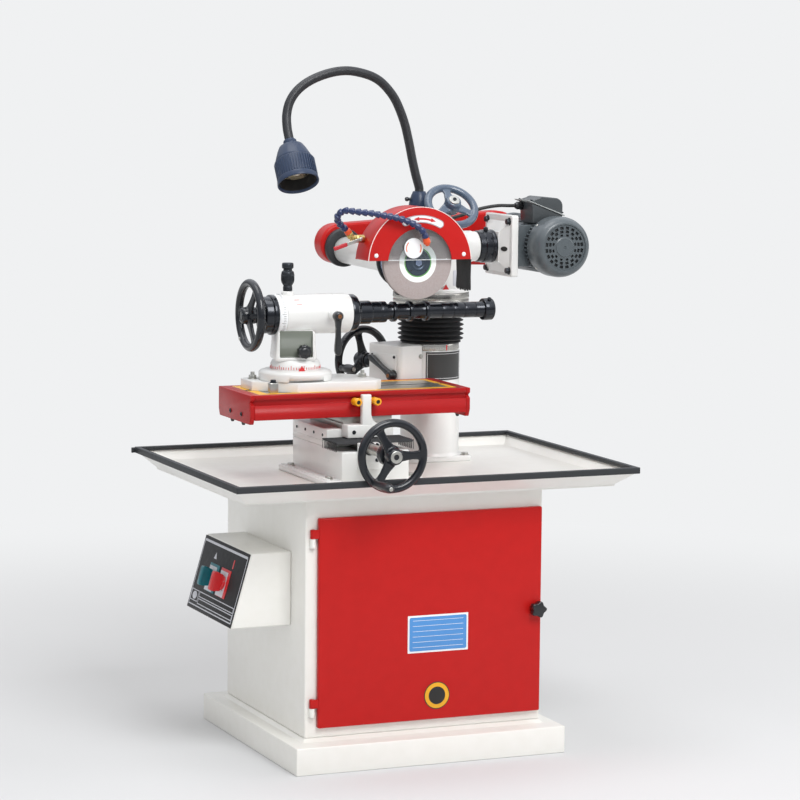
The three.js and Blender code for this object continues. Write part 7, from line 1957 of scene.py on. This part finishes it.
# Coolant valve: a hexagon brass body screwed into the guard, with a brass bonnet, a brass elbow and an orange
# plastic collar that takes the hose.
brass = plain("machined brass", "#c9ad6c", 0.28, 2, 0.03, Metallic=1.0)
orange_plastic = plain("moulded orange plastic", "#dd5223", 0.38, 5, 0.03)
valve_z, valve_y = 1150 * mm, -34 * mm
body = turn([(0, 0), (7.2, 0), (9, 1.6), (9, 30), (7.4, 33.6), (0, 33.6)], (-1, 0, 0),
            (-62.6 * mm, valve_y, valve_z), 0.4, 6, 20)
valve_parts = [coat(body, brass)]
valve_parts.append(coat(turn([(0, 0), (8, 0), (8.5, 1), (8.5, 8), (7, 9.5), (4, 10), (4, 17), (0, 17)],
                             (0, -1, 0), (-79.6 * mm, valve_y, valve_z), 0.4, 36), brass))
hose_line = flow([(-105, -34, 1169), (-115, -36, 1177), (-128, -42, 1187), (-136, -52, 1198),
                  (-135, -60, 1208), (-129, -68, 1214), (-120, -76, 1216), (-106, -84, 1214),
                  (-88, -92, 1212), (-69, -98, 1210), (-49, -102, 1206), (-29, -104, 1203), (-7, -105, 1198),
                  (12, -105, 1192), (30, -105, 1184), (45, -105, 1174), (54, -104, 1163), (58, -103, 1153)])
port = Vector((-93 * mm, valve_y, valve_z + 2 * mm))
port_way = hose_line[0] - port
port_long = port_way.length / mm
valve_parts.append(coat(turn([(0, -4), (6, -4), (6, 2), (8.6, 3), (8.6, 11), (7, 12), (5.6, 13),
                              (5.6, port_long - 2), (0, port_long - 2)], port_way, port, 0.3, 6, 20), brass))
valve_parts.append(coat(turn([(0, port_long - 9), (7, port_long - 9), (8, port_long - 8), (8, port_long),
                              (6.6, port_long + 2), (0, port_long + 2)], port_way, port, 0.3, 36),
                        orange_plastic))
settle(fuse(*valve_parts), "valve_brass", "wheelhead", "brass", "coolant_valve")

# Valve lever: a plated steel strip under the bonnet's nut, its far half in a red dipped plastic sleeve.
red_sleeve = plain("dipped red plastic", "#b3232e", 0.35, 6, 0.03)
pivot = Vector((-79.6 * mm, -55.3 * mm, valve_z))
slope = math.radians(180 + 18)
lever_way = Vector((math.cos(slope), 0, math.sin(slope)))
lever_up = Vector((-math.sin(slope), 0, math.cos(slope)))
strip = soften(block(at(-5, -4, -1.3), at(44, 4, 1.3)), 0.6)
grip = block(at(34, -4.6, -3), at(68, 4.6, 3))
soften(grip, 2.6, 4)
lever_parts = []
for part, material in ((strip, zinc_steel), (grip, red_sleeve)):
    lever_parts.append(coat(seat(part, lever_way, lever_up, pivot + Vector(at(0, 2, 0))), material))
lever_parts.append(coat(rod(4.6 * mm, 4.4 * mm, (0, -1, 0), pivot + Vector(at(0, 3.5, 0)), 0.5, 6),
                        zinc_steel))
settle(fuse(*lever_parts), "lever_strip", "valve_handle", "red_paint", "valve_lever")

# Coolant hose: navy blue plastic ball links, snapped one into the next, with an orange nozzle.
hose_blue = plain("moulded navy plastic", "#192a57", 0.28, 4, 0.03, Coat_Weight=0.3)
link_count = 20
link_pitch = stretch(hose_line) / link_count / mm
link_line = [(5, 0), (5.2, 1.2), (6.2, 3), (7.2, 6), (8, 10), (8.2, 11.4), (7.8, 12.4), (6, 13),
             (5, link_pitch)]
hose = thread(coat(turn(link_line, edge=0, steps=28, smooth=50), hose_blue), hose_line, link_count)
nozzle_way = hose_line[-1] - hose_line[-3]
nozzle = turn([(0, -1), (7.6, -1), (8.2, 0.4), (8.2, 11), (7, 12.5), (5.4, 13), (4.6, 17), (3, 17), (3, 14),
               (0, 14)], nozzle_way, hose_line[-1], 0.3, 40)
settle(fuse(hose, coat(nozzle, orange_plastic)), "hose_links", "wheelhead", "blue_hose", "coolant_hose")
